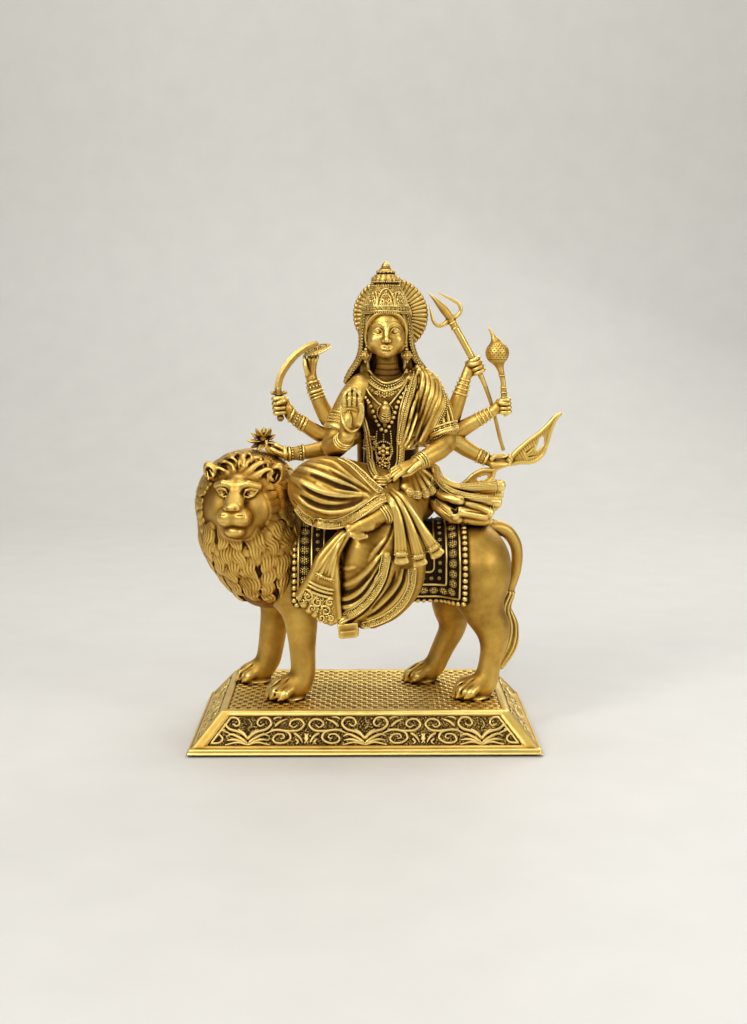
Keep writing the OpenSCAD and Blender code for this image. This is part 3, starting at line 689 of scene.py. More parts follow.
def plinth():
    F = Field((-90, -57, -0.5), (90, 57, 23), 0.55)
    x, y, z = F.ax[0][:, None, None], F.ax[1][None, :, None], F.ax[2][None, None, :]
    ax, ay = np.abs(x), np.abs(y)
    ly, lx = math.hypot(12, 16.5), math.hypot(14.5, 16.5)
    dl = (ay - 53.5) * F32(16.5 / ly) + (z - 3.5) * F32(12 / ly)
    de = (ax - 87) * F32(16.5 / lx) + (z - 3.5) * F32(14.5 / lx)
    body = smax(smax(dl, de, 0.9), z - 20, 0.9)
    body = np.maximum(body, 1 - z)
    lip = smax(smax(ax - 88, ay - 54.5, 1.0), np.abs(z - 2.4) - 1.4, 0.7)
    f = np.minimum(body, lip)
    # cavity under the deck
    inn = np.maximum(np.maximum(dl + 3.4, de + 3.4), z - 17)
    f = np.maximum(f, -inn)
    # sunk panels with a fillet line round them
    tl = ((z - 3.5) * 16.5 + (53.5 - ay) * 12) / ly
    te = ((z - 3.5) * 16.5 + (87 - ax) * 14.5) / lx
    for d, t, l, u, lo, hi in ((dl, tl, ly, ax, 78.5, 68.0), (de, te, lx, ay, 45.5, 37.0)):
        xl = lo + (hi - lo) * (t / l - 0.12) / 0.74
        for grow, dep in ((0.0, 1.2), (1.1, 0.35)):
            c = np.maximum(np.maximum(np.abs(t - 0.49 * l) - (0.37 * l + grow * 0.6), (u - xl - grow) * 0.9), -(d + dep))
            f = smax(f, -c, 0.25)
    # deck sunk inside a rim
    c = np.maximum(np.maximum(ax - 69.8, ay - 38.8), 19.35 - z)
    f = smax(f, -c, 0.3)
    F.f = np.clip(f, -7, 7).astype(F32)
    K = Kit()
    K.field(F, 0.9, 1.1, 3.0)
    # woven deck: rows of pillow bricks, every other row shifted by half
    nu, nv = 7, 5
    a, b = np.meshgrid(np.linspace(-1, 1, nu), np.linspace(-1, 1, nv), indexing="ij")
    hgt = (1 - np.abs(a) ** 3) * (1 - np.abs(b) ** 2.5)
    V = np.stack([a, b, hgt], -1).reshape(-1, 3)
    i, j = np.meshgrid(np.arange(nu - 1), np.arange(nv - 1), indexing="ij")
    q = np.stack([i * nv + j, (i + 1) * nv + j, (i + 1) * nv + j + 1, i * nv + j + 1], -1).reshape(-1, 4)
    brick = (V, [q], (-0.75 + 1.45 * np.sqrt(hgt)).ravel())
    P, S = [], []
    py, px = 3.88, 5.35
    for r in range(20):
        yy = -38.8 + py * (r + 0.5)
        for c in range(28):
            xx = -69.8 + px * (c + 0.5) - (px / 2 if r % 2 else 0)
            l, h = max(-69.6, xx - px / 2), min(69.6, xx + px / 2)
            if h - l > 1.4:
                P.append(((l + h) / 2, yy, 19.2))
                S.append(((h - l) / 2 * 0.93, py / 2 * 0.97, 0.85 + 0.12 * rng.random()))
    P = np.array(P)
    n = len(P)
    K.copies(brick, P, np.tile([1.0, 0, 0], (n, 1)), np.tile([0, 1.0, 0], (n, 1)), np.tile([0, 0, 1.0], (n, 1)), np.array(S))
    K.out("plinth_casting", POLISHED, "brass_polished", "base_plinth")
    # scrollwork
    S = Kit()
    right = [
        ([(0, 3.4), (4.0, 6.6), (9.4, 8.4), (11.6, 11.4), (9.7, 14.1), (6.1, 14.0), (4.5, 11.6), (6.0, 9.9), (8.0, 11.0)], 0.95, 0.5),
        ([(9.0, 6.0), (14, 7.9), (20.1, 7.3), (25.6, 7.7), (28.4, 10.7), (26.2, 13.3), (22.5, 12.9), (21.1, 10.7), (23.1, 9.2), (25.0, 10.4)], 0.9, 0.45),
        ([(11.6, 8.2), (16.4, 7.9), (20.7, 6.3), (21.5, 3.4), (18.3, 1.2), (14.2, 1.4), (12.8, 3.5), (14.8, 5.6), (17.8, 5.5), (18.4, 3.9), (16.6, 3.4)], 0.85, 0.4),
        ([(0, 0.9), (3.6, 3.6), (8.0, 5.6), (11.0, 4.6)], 1.1, 0.35),
        ([(0, 3.0), (2.2, 6.2), (5.2, 8.3)], 1.1, 0.4),
        ([(1.5, 1.2), (6.5, 2.9), (10.6, 2.6)], 1.0, 0.35),
        ([(0, 0.2), (5.0, 1.5), (11.2, 0.2)], 0.8, 0.5),
        ([(13.4, 9.6), (16.0, 12.0), (19.6, 13.6)], 1.0, 0.3),
        ([(23.0, 6.4), (26.0, 4.4), (27.8, 1.4)], 1.0, 0.3),
        ([(24.0, 3.4), (25.6, 1.8), (24.6, 0.6)], 0.8, 0.3),
        ([(28.6, 6.2), (30.2, 3.6), (28.8, 1.0)], 0.9, 0.3),
        ([(12.6, 13.4), (14.4, 14.4), (17.0, 14.6)], 0.7, 0.3),
        ([(0, 8.2), (1.6, 10.6), (0.0, 13.6)], 0.85, 0.35),
    ]

    def face(u, v, dep, side):
        """Point on a panel floor: u along it, v mm up the slope."""
        if side[0] == "l":
            s = 1 if side[1] == "f" else -1
            t = 0.12 * ly + v
            yy = -53.5 + 12 * t / ly + dep * 16.5 / ly
            return np.stack([u * s, yy * s, 3.5 + 16.5 * t / ly - dep * 12 / ly + 0 * u], -1)
        s = 1 if side[1] == "r" else -1
        t = 0.12 * lx + v
        xx = 87 - 14.5 * t / lx - dep * 16.5 / lx
        return np.stack([xx * s, u * s, 3.5 + 16.5 * t / lx - dep * 14.5 / lx + 0 * u], -1)

    def scroll(side, cx, sx, keep):
        for pts, r0, r1 in right:
            for m in (1, -1):
                if m < 0 and pts[0][0] == 0 and pts[-1][0] == 0:
                    pts = [(-a, b) for a, b in pts]
                c = curve(np.array(pts) * [sx, 1.0], 6)
                u, v = cx + m * c[:, 0], np.clip(c[:, 1], 0.3, 14.7)
                lim = keep(v)
                u = np.clip(u, -lim, lim)
                rr = 0.84 * np.interp(np.linspace(0, 1, len(u)), [0, 0.12, 0.6, 1], [r1, r0, r0 * 0.85, r1])
                P = face(u, v, 0.75 - 0.15 * rr, side)
                rope(S, P, rr, 7, 0.62)

    for sd in ("lf", "lb"):
        for cx in (-58.5, 0.0, 58.5):
            scroll(sd, cx, 0.985, lambda v: 77.4 - 10.4 * v / 15.1)
    for sd in ("er", "el"):
        for cx in (-20.6, 20.6):
            scroll(sd, cx, 0.7, lambda v: 44.4 - 8.4 * v / 16.2)
    S.out("plinth_scrollwork", FOOT, "brass_bright")
    # granulated ground behind the scrolls
    G = Kit()
    for sd, lim, n in (("lf", 76, 900), ("lb", 76, 900), ("er", 43, 520), ("el", 43, 520)):
        u = rng.uniform(-lim, lim, n)
        v = rng.uniform(0.4, 14.4, n)
        ok = np.abs(u) < (lim - (10.4 if sd[0] == "l" else 8.4) * v / 15)
        u, v = u[ok], v[ok]
        P = face(u, v, 1.04, sd)
        N = np.broadcast_to(face(u[:1], v[:1], 0.0, sd) - face(u[:1], v[:1], 1.0, sd), P.shape)
        X, Y, Z = axes(N.copy())
        G.copies(BEAD_S, P, X, Y, Z, rng.uniform(0.25, 0.62, len(P)))
    # cast ground of the panels: a pitted sheet on the panel floor
    for sd, half, slope, nu_, top_v in (("lf", 78.6, 10.5, 290, 15.2), ("lb", 78.6, 10.5, 290, 15.2), ("er", 45.6, 8.5, 165, 16.3), ("el", 45.6, 8.5, 165, 16.3)):
        nv_ = 30
        a, v = np.meshgrid(np.linspace(-1, 1, nu_), np.linspace(-0.1, top_v, nv_), indexing="ij")
        u = a * (half - slope * v / top_v)
        h = 0.1 * np.sin(u * 3.1 + 1.7 * np.sin(v * 1.3)) * np.sin(v * 2.7 + 1.3 * np.sin(u * 0.9)) + rng.normal(0, 0.05, u.shape)
        P = face(u, v, 1.02 - h, sd).reshape(-1, 3)
        Q = face(u, v, 1.5 + 0 * h, sd).reshape(-1, 3)
        i, j = np.meshgrid(np.arange(nu_ - 1), np.arange(nv_ - 1), indexing="ij")
        top = np.stack([i * nv_ + j, (i + 1) * nv_ + j, (i + 1) * nv_ + j + 1, i * nv_ + j + 1], -1).reshape(-1, 4)
        m = nu_ * nv_
        loop = np.concatenate([np.arange(nv_ - 1), np.arange(nu_ - 1) * nv_ + nv_ - 1, (nu_ - 1) * nv_ + np.arange(nv_ - 1, 0, -1), np.arange(nu_ - 1, 0, -1) * nv_])
        nx = np.roll(loop, -1)
        rim = np.stack([loop, nx, nx + m, loop + m], -1)
        a0, b0, c0 = P[top[0][0]], P[top[0][1]], P[top[0][2]]
        away = face(np.float64(0), np.float64(7), np.float64(0), sd) - face(np.float64(0), np.float64(7), np.float64(1), sd)
        flip = np.dot(np.cross(b0 - a0, c0 - a0), away) < 0
        fs = [top, top[:, ::-1] + m, rim]
        if flip:
            fs = [x[:, ::-1] for x in fs]
        G.add(np.vstack([P, Q]), fs, np.concatenate([(h.ravel() * 3.2 - 0.1), np.full(m, -0.6)]))
    G.out("plinth_ground", PANEL, "brass_aged")


plinth()
# ------------------------------------------------------------------ lion
spine = [[-44, 0, 90, 23.5], [-12, 0, 89, 21], [24, 0, 88.5, 20.5], [54, 0, 91, 20.5]]
leg_ff = [[-36, -11, 84, 14], [-33.6, -16, 64, 9.3], [-33, -17, 48, 6.8], [-32.6, -17, 34, 6.2], [-35, -17.5, 27, 7], [-45, -18, 25.4, 5.4]]
leg_fb = [[-45, 11, 82, 14], [-48.6, 16, 60, 8.4], [-50.8, 17, 46, 6.9], [-53, 17, 33, 6.3], [-56, 17, 27, 6.6], [-64, 17, 25, 4.8]]
leg_hf = [[57, -11, 87, 17], [61, -15, 68, 11.3], [66.5, -17, 53, 7.4], [65, -17, 39, 5.4], [62, -17, 27, 6.8], [52, -17, 25.2, 5.4]]
leg_hb = [[50, 10, 86, 16], [47, 15, 63, 10.5], [48, 16, 51, 7.4], [42, 16.5, 38, 5.7], [37.5, 16.5, 27.5, 6.0], [29, 16.5, 25, 4.8]]
mane = [[-61, -10, 121, 26.3], [-58, -8, 99, 23.5], [-52, -6, 83, 17.5], [-50, -5, 76, 9]]


def smooth_st(st, n=4):
    return curve(st, n)


def paw(F, c, r, yaw, sc=1.0):
    """A paw at c: pad, four toes and the clefts between them, pointing along -x turned by yaw."""
    R = rotm((0, 0, yaw))
    w = lambda p: (R @ (np.array(p, float) * sc) + np.array(c)).tolist()
    F.egg(w((1.5, 0, 0.3)), (6.4 * sc, 6.2 * sc, 4.6 * sc), (0, 0, yaw), 2.5)
    for ty, tx, tz, tr in ((-5.1, -4.4, -0.6, 2.6), (-1.8, -7.0, -0.1, 3.0), (1.9, -6.9, -0.1, 3.0), (5.1, -4.2, -0.6, 2.6)):
        F.chain([w((tx + 5.5, ty * 0.75, 1.9)) + [tr * sc * 0.95], w((tx, ty, tz)) + [tr * sc]], 0.9)
        F.balls([w((tx - 1.7, ty * 1.03, tz - 1.4)) + [tr * sc * 0.62]], 0.8)
    for ty in (-3.4, 0.05, 3.5):
        F.chain([w((-9.4, ty, -2.2)) + [0.5], w((-7.6, ty, 1.9)) + [0.6], w((-3.6, ty * 0.85, 4.4)) + [0.45], w((-0.4, ty * 0.7, 5.4)) + [0.25]], 0.8, True)
    # claws between the toes' tips and the ground
    for ty, tx in ((-4.9, -6.4), (-1.7, -9.0), (1.8, -8.9), (4.9, -6.2)):
        F.chain([w((tx, ty * 1.02, -1.4)) + [0.75], w((tx - 1.7, ty * 1.04, -3.4)) + [0.4]], 0.3)


def lion_body():
    F = Field((-74, -34, 18.6), (79, 34, 118), 0.66)
    F.chain(smooth_st(spine), 0)
    for leg in (leg_hf, leg_hb, leg_ff, leg_fb):
        F.chain(smooth_st(leg), 6.5, m=8)
    # shoulder, elbow, stifle, haunch and belly masses
    F.egg((-37, -12.5, 82), (13.5, 10.5, 18), (0, 8, 0), 6, m=8)
    F.egg((-45, 12.5, 80), (13.5, 10.5, 18), (0, 8, 0), 6, m=8)
    F.egg((58.5, -10, 87), (17.5, 14.5, 21), (0, -8, 0), 7, m=9)
    F.egg((51, 10, 86), (17, 14, 20.5), (0, 8, 0), 7, m=9)
    F.egg((68.5, -15.5, 55.5), (7.2, 6.2, 9.5), (0, 14, 0), 4)
    F.egg((4, 0, 79), (34, 16, 12.5), (0, 0, 0), 6, m=8)
    F.egg((-24, 0, 84), (16, 21.5, 21), (0, 0, 0), 6, m=8)
    # hocks and tendons
    F.chain([[70.2, -17, 58, 3.0], [71.6, -17, 49, 2.9], [69.2, -17, 38, 1.9], [66.6, -17, 31, 2.4]], 3)
    F.chain([[52, 16, 54, 3.2], [50, 16.5, 45, 2.7], [44.5, 16.5, 34, 2.2]], 3)
    F.chain([[-28, -16.5, 58, 2.6], [-28.4, -17, 44, 2.2], [-28.8, -17, 32, 2.6]], 3)
    F.chain([[-44.4, 16.5, 56, 2.6], [-46, 17, 42, 2.4], [-48.6, 17, 31, 2.6]], 3)
    # soft hollows: behind the elbow, in front of the stifle, along the belly and the flank fold
    F.chain([[-18, -22.5, 62, 2.0], [-20, -22.5, 74, 1.4]], 5, True)
    F.chain([[33.5, -22.5, 70, 1.2], [40, -24.4, 63.5, 1.2], [46, -23.6, 56, 0.8]], 5, True)
    F.chain([[40, 24.5, 74, 1.0], [33, 23.5, 64, 1.4]], 3.5, True)
    F.chain([[55, -3, 64, 3.5], [58, 0, 76, 2]], 4, True)
    F.soft(2, 2)
    paw(F, (-40.6, -18.6, 24.6), 5.4, 34, 1.1)
    paw(F, (-60.0, 16.6, 24.3), 4.8, 14, 1.0)
    paw(F, (56.5, -17.6, 24.6), 5.4, 26, 1.06)
    paw(F, (31.6, 16.2, 24.2), 4.8, 14, 1.0)
    # pads of metal under the paws
    for c, w in (((-41, -17.8, 20.4), 10.2), ((-60, 17, 20.4), 9.4), ((55.5, -17, 20.4), 10.2), ((30, 16.5, 20.4), 9.2)):
        F.egg(c, (w, w * 0.82, 2.1), (0, 0, 0), 1.6)
    F.half((0, 0, 19.3), (0, 0, -1))
    K = Kit()
    K.field(F, 1.4, 1.0, 4.0)
    K.out("lion_body_casting", POLISHED, "brass_polished", "lion_body")
    return F


def locks(F, P0, flow, L, w, r, n=11, strands=4, k=0.3, lift=0.5, cut=0.0):
    """Long pointed locks of hair: strands that run side by side from P0 along flow and close to a point."""
    P = F.snap(P0)
    m = len(P)
    L = np.broadcast_to(L, (m,))
    w = np.broadcast_to(w, (m,))
    r = np.broadcast_to(r, (m,))
    ph = rng.uniform(0, 6.28, m)
    amp = rng.uniform(0.25, 0.6, m)
    path, nor, tan = [P], [F.grad(P)], []
    for i in range(n):
        N = nor[-1]
        D = flow(path[-1], i / n)
        side = np.cross(N, D)
        side /= np.linalg.norm(side, axis=1, keepdims=True) + 1e-9
        D = D + side * (amp * np.sin(ph + i * 0.75))[:, None]
        D = D - N * np.sum(D * N, 1, keepdims=True)
        D /= np.linalg.norm(D, axis=1, keepdims=True) + 1e-9
        tan.append(D)
        P = path[-1] + D * (L / n)[:, None]
        P = F.snap(P, n=3)
        path.append(P)
        nor.append(F.grad(P))
    tan.append(tan[-1])
    path, nor, tan = np.array(path), np.array(nor), np.array(tan)
    t = np.linspace(0, 1, n + 1)
    prof = np.sin(np.pi * np.clip(0.12 + 0.88 * t, 0, 1) ** 0.85)
    up = lift * np.sin(np.pi * np.clip(t, 0, 1) ** 1.4)
    side = np.cross(nor, tan)
    out = []
    for i in range(m):
        for s in np.linspace(-1, 1, strands):
            Q = path[:, i] + side[:, i] * (s * w[i] * prof)[:, None] + nor[:, i] * (up - 0.15 * abs(s))[:, None]
            rr = r[i] * (1.1 if abs(s) < 0.5 else 0.95) * np.clip(1.15 - 0.85 * t ** 2, 0.25, 1)
            out.append(np.c_[Q, rr])
    return out


def lion_head():
    F = Field((-92, -54, 62), (-26, 24, 152), 0.42)
    F.chain(smooth_st(mane), 0)
    # the mane falls over the chest and swells behind the jaw
    F.egg((-60, -14, 104), (24, 17, 20), (0, 10, 0), 6, m=8)
    F.egg((-47, -14, 88), (13, 13, 17), (0, 12, 0), 6, m=8)
    F.egg((-60, 0, 122), (25.5, 20, 24.5), (0, 0, 0), 6, m=8)
    base = F.f.copy()
    fw = np.array([-0.242, -0.970, 0.0])
    M = np.array([-62.0, -11.0, 120.0])
    up = np.array([0, 0, 1.0])
    rt = np.cross(fw, up)

    def flow(P, t):
        d = P - M
        rad = d - fw * (d @ fw)[:, None]
        rad /= np.linalg.norm(rad, axis=1, keepdims=True) + 1e-9
        low = np.clip((118 - P[:, 2]) / 22, 0, 1)[:, None]
        back = np.clip((d @ fw)[:, None] / -20, 0, 1)
        top = np.clip((P[:, 2] - 134) / 8, 0, 1)[:, None]
        D = rad * (1 - 0.55 * low) + np.array([[0.06, 0.0, -1.0]]) * (0.35 + 0.75 * low + 1.2 * back) - fw * (0.45 + 0.8 * top)
        chest = np.clip((104 - P[:, 2]) / 26, 0, 1)[:, None]
        D = D * (1 - chest) + np.array([[0.28, 0.0, -1.0]]) * chest
        return D / np.linalg.norm(D, axis=1, keepdims=True)

    # from the back of the mane to the face, so that each layer lies over the one behind
    all_l = []
    for phi, cnt, L, w, r in ((176, 5, 15, 2.6, 0.9), (158, 15, 16, 2.6, 0.9), (138, 28, 16, 2.6, 0.9), (118, 34, 15, 2.5, 0.9), (99, 38, 14, 2.4, 0.86), (82, 40, 13, 2.2, 0.84), (66, 40, 11.5, 2.0, 0.8), (54, 38, 10, 1.8, 0.76), (45, 34, 8.5, 1.5, 0.72)):
        th = (np.arange(cnt) + rng.uniform(-0.25, 0.25, cnt)) / cnt * 2 * np.pi + phi
        p = math.radians(phi)
        D = fw[None] * math.cos(p) + math.sin(p) * (rt[None] * np.cos(th)[:, None] + up[None] * np.sin(th)[:, None])
        P0 = M + D * 26
        all_l += locks(F, P0, flow, L * rng.uniform(0.85, 1.15, cnt), w, r, lift=0.9)
    # the long chest locks
    for z, cnt, L, ta, tb in ((112, 11, 17, -70, 80), (107, 15, 19, -80, 110), (99, 19, 19, -100, 235), (91, 17, 18, -100, 235), (84, 15, 15, -100, 235), (78, 11, 11, -100, 235)):
        th = np.linspace(ta, tb, cnt) + rng.uniform(-5, 5, cnt)
        cx = np.interp(z, [76, 83, 99, 110], [-49, -51, -57, -60])
        P0 = np.stack([cx + 22 * np.sin(np.radians(th)), -6 - 22 * np.cos(np.radians(th)), z + rng.uniform(-2, 4, cnt)], 1)
        all_l += locks(F, P0, flow, L * rng.uniform(0.85, 1.1, cnt), 2.5, 0.9, n=13, lift=1.1)
    for c in all_l:
        F.chain(c, 0.2, m=1.2)
    # forelocks: chevrons that part over the brow
    for uv in ([(224, 465), (229, 456), (236, 460), (240, 469)], [(218, 470), (222, 460), (231, 463), (236, 474)], [(213, 478), (216, 466), (226, 470), (231, 478)],
               [(233, 457), (238, 452), (243, 458), (243, 467)], [(262, 466), (258, 456), (250, 460), (244, 469)], [(268, 472), (265, 461), (256, 464), (248, 474)],
               [(252, 457), (248, 452), (244, 458), (243, 466)], [(272, 479), (270, 468), (262, 470), (254, 478)]):
        for o in (-2.4, -0.8, 0.8, 2.4):
            ridge(F, [(u + o, v + abs(o) * 0.4) for u, v in uv], 0.72, 0.4, -0.15)
    # ---- face
    C = np.array([-61.6, -21.0, 122.6])
    R = rotm((0, 0, -11))
    w = lambda x, y, z: (R @ np.array([x, y, z], float) + C)
    e = lambda x, y, z, a, b, c, k=2.0, cut=False, rot=(0, 0, 0): F.egg(w(x, y, z), (a, b, c), (rot[0], rot[1], rot[2] - 11), k, cut)
    ch = lambda pts, k, cut=False: F.chain([[*w(*p[:3]), p[3]] for p in pts], k, cut)
    e(0, -1.0, 0.5, 16.8, 14.6, 17.2, 0.8)
    e(0, -8.4, 8.8, 12.6, 7.8, 7.8, 4)
    for s in (-1, 1):
        e(s * 9.4, -8.8, -1.6, 7.2, 6.8, 8.4, 4)
    e(0, -12.0, -7.5, 10.4, 8.4, 8.2, 4)
    e(0, -11.0, -12.6, 8.6, 7.2, 4.6, 3.5)
    # broad flat bridge that widens to the nose
    for s in (-1, 1):
        ch([(s * 1.5, -13.2, 12.6, 3.1), (s * 1.7, -17.4, 6.4, 3.0), (s * 1.9, -21.4, 1.8, 3.1)], 3.0)
    e(0, -18.2, -4.4, 7.6, 6.4, 5.6, 3.0)
    for s in (-1, 1):
        # brow shelf, eye and lids
        ch([(s * 2.2, -16.6, 11.4, 1.9), (s * 6.6, -17.0, 12.0, 2.0), (s * 11.2, -13.2, 10.6, 1.5)], 2.2)
        e(s * 6.9, -18.0, 7.6, 3.9, 2.9, 2.4, 1.5, True, (0, 0, s * 18))
        F.balls([[*w(s * 6.8, -13.6, 7.5), 2.95]], 0.2)
        ch([(s * 3.6, -16.7, 6.1, 0.5), (s * 5.2, -17.1, 8.9, 0.7), (s * 7.7, -16.6, 9.7, 0.75), (s * 10.6, -14.2, 8.6, 0.55)], 0.4)
        ch([(s * 3.6, -16.7, 6.1, 0.5), (s * 6.3, -16.8, 5.2, 0.55), (s * 8.8, -15.6, 6.0, 0.5), (s * 10.6, -14.2, 8.4, 0.5)], 0.4)
        F.balls([[*w(s * 6.7, -16.75, 7.4), 0.75]], 0.25, True)
        ch([(s * 3.6, -17.6, 5.2, 0.25), (s * 4.9, -18.6, 2.6, 0.15)], 0.8, True)
        # whisker pads
        e(s * 3.9, -20.2, -4.6, 5.0, 5.2, 4.6, 1.7)
        for j in range(3):
            ch([(s * 3.1, -25.0 + 0.15 * j, -3.2 - 1.7 * j, 0.16), (s * 5.8, -24.3, -3.0 - 1.9 * j, 0.22), (s * 7.9, -22.5, -2.8 - 2.1 * j, 0.14)], 0.4, True)
    e(0, -18.4, -11.6, 5.4, 5.2, 3.4, 1.0)
    e(0, -24.0, 1.0, 3.9, 2.7, 2.0, 0.9)
    for s in (-1, 1):
        e(s * 3.0, -23.4, 0.6, 1.5, 2.4, 1.5, 0.6)
        F.balls([[*w(s * 2.3, -26.1, 0.2), 0.8]], 0.4, True)
        ch([(0, -25.4, -6.2, 0.4), (s * 2.8, -25.2, -8.6, 0.55), (s * 6.2, -22.0, -9.4, 0.55), (s * 8.8, -17.4, -8.8, 0.4)], 0.4, True)
    ch([(0, -26.9, -1.0, 0.35), (0, -25.6, -6.2, 0.5)], 0.4, True)
    # ears
    for c, r, rot in (((-78.9, -24.6, 139.6), (4.0, 2.7, 4.4), (0, -30, -28)), ((-45.8, -23.2, 137.8), (4.6, 2.9, 5.6), (0, 30, 6))):
        Rr = rotm(rot)
        F.egg(c, r, rot, 1.4)
        F.balls([[*(np.array(c) + Rr @ np.array([0, 0.2, r[2] * 0.72])), r[0] * 0.52]], 1.6)
        F.egg((np.array(c) + Rr @ np.array([0, -2.7, -0.4])).tolist(), (r[0] * 0.6, 2.4, r[2] * 0.66), rot, 0.9, True)
        for o in (-0.5, 0.35):
            F.chain([[*(np.array(c) + Rr @ np.array([o * r[0], -1.6, -0.75 * r[2]])), 0.8], [*(np.array(c) + Rr @ np.array([o * r[0] * 0.5, -1.3, 0.15 * r[2]])), 0.35]], 0.4)
    K = Kit()
    K.field(F, 0.85, 1.4, 2.6)
    # the face is rubbed brighter than the hair
    d = np.linalg.norm((K.V[-1] - np.array(w(0, -20.0, 1.0))) / [15.0, 13.0, 16.0], axis=1)
    K.C[-1] = K.C[-1] + 0.24 * np.clip(1.5 - d, 0, 1)
    K.out("lion_head_and_mane", MANE, "brass_polished", "lion_head")
    return F


def lion_tail():
    st = np.array([[64, 3, 105, 4.6], [70, 4, 106, 4.2], [76.5, 5, 103.5, 3.6], [81.4, 6, 95, 3.2], [81.2, 6, 83, 2.9], [77.4, 6, 71, 2.8], [75.6, 6.5, 62, 2.8], [78.6, 7, 52, 3.7], [78.0, 7, 41, 3.9], [73.4, 7, 29.8, 1.5]])
    F = Field((60, -3, 25), (88, 15, 113), 0.45)
    F.chain(curve(st, 6), 0)
    c = curve(st[5:], 14)
    T = np.gradient(c[:, :3], axis=0)
    T /= np.linalg.norm(T, axis=1, keepdims=True)
    a0 = np.cross(T, [0, 1, 0])
    a0 /= np.linalg.norm(a0, axis=1, keepdims=True)
    b0 = np.cross(T, a0)
    t = np.linspace(0, 1, len(c))
    for j in range(9):
        a = j / 9 * 2 * np.pi + 1.6 * t
        rr = c[:, 3] * np.clip(1.05 - 0.1 * t, 0, 1)
        Q = c[:, :3] + a0 * (np.cos(a) * rr)[:, None] + b0 * (np.sin(a) * rr)[:, None]
        F.chain(np.c_[Q, np.clip(0.95 - 0.4 * t, 0.3, 1)], 0.3)
    K = Kit()
    K.field(F, 0.9, 1.0, 2.4)
    K.out("lion_tail_casting", POLISHED, "brass_polished", "lion_tail")


LB = lion_body()
LH = lion_head()
lion_tail()
# ------------------------------------------------------------------ drapery
crossed = [[6, -12, 127, 14], [-12, -24, 130, 15.5], [-23.5, -31, 131, 14.4], [-14, -36, 127, 13], [2, -37, 122, 9.5]]
foot_c = [[13, -43.5, 121, 4.2], [7, -45, 119, 4.6], [0, -46.5, 115.5, 3.9], [-6.5, -46.5, 112.5, 3]]


def fr(ox, oy, s):
    """A finer sketch frame: its own origin and units a sketch unit."""
    return lambda pts: [(ox + p[0] / s, oy + p[1] / s, *p[2:]) for p in pts]


s5 = fr(280, 440, 7.841)


def band(K, F, uv, w, r=0.42, pitch=1.15, rows=3, edge=0.45, y0=-62.0, seed=1, n=8, stipple=True):
    """A hem band on F: a cord and a row of beads along each edge, and fine granulation between."""
    c = curve(uv, n)
    P = lay(F, c[:, :2], y0)
    P = F.snap(P, 0, 3)
    G = F.grad(P)
    T = np.gradient(P, axis=0)
    T /= np.linalg.norm(T, axis=1, keepdims=True) + 1e-9
    B = np.cross(G, T)
    W = c[:, 2:3] if c.shape[1] > 2 else np.full((len(c), 1), float(w))
    for s in (-1, 1):
        Q = F.snap(P + B * W * 0.5 * s, 0, 4)
        F_n = F.grad(Q)
        rope(K, Q + F_n * edge * 0.35, edge, 6, 0.5)
        Q2 = F.snap(P + B * (W * 0.5 - edge - r) * s, 0, 4)
        beads(K, F, Q2, r, pitch * 0.95)
    if stipple:
        L = np.linalg.norm(np.diff(P, axis=0), axis=1).sum()
        m = int(L * float(W.mean()) * 0.75)
        t = rng.uniform(0, len(P) - 1.001, m)
        i = t.astype(int)
        f = (t - i)[:, None]
        C = P[i] * (1 - f) + P[i + 1] * f
        C = C + B[i] * (rng.uniform(-0.5, 0.5, (m, 1)) * np.maximum(W[i] - 2 * edge - 3 * r, 0.2))
        C = F.snap(C, 0, 4)
        N = F.grad(C)
        X, Y, Z = axes(N)
        K.copies(BEAD_S, C - N * 0.1, X, Y, Z, rng.uniform(0.28, 0.5, m))
    return P


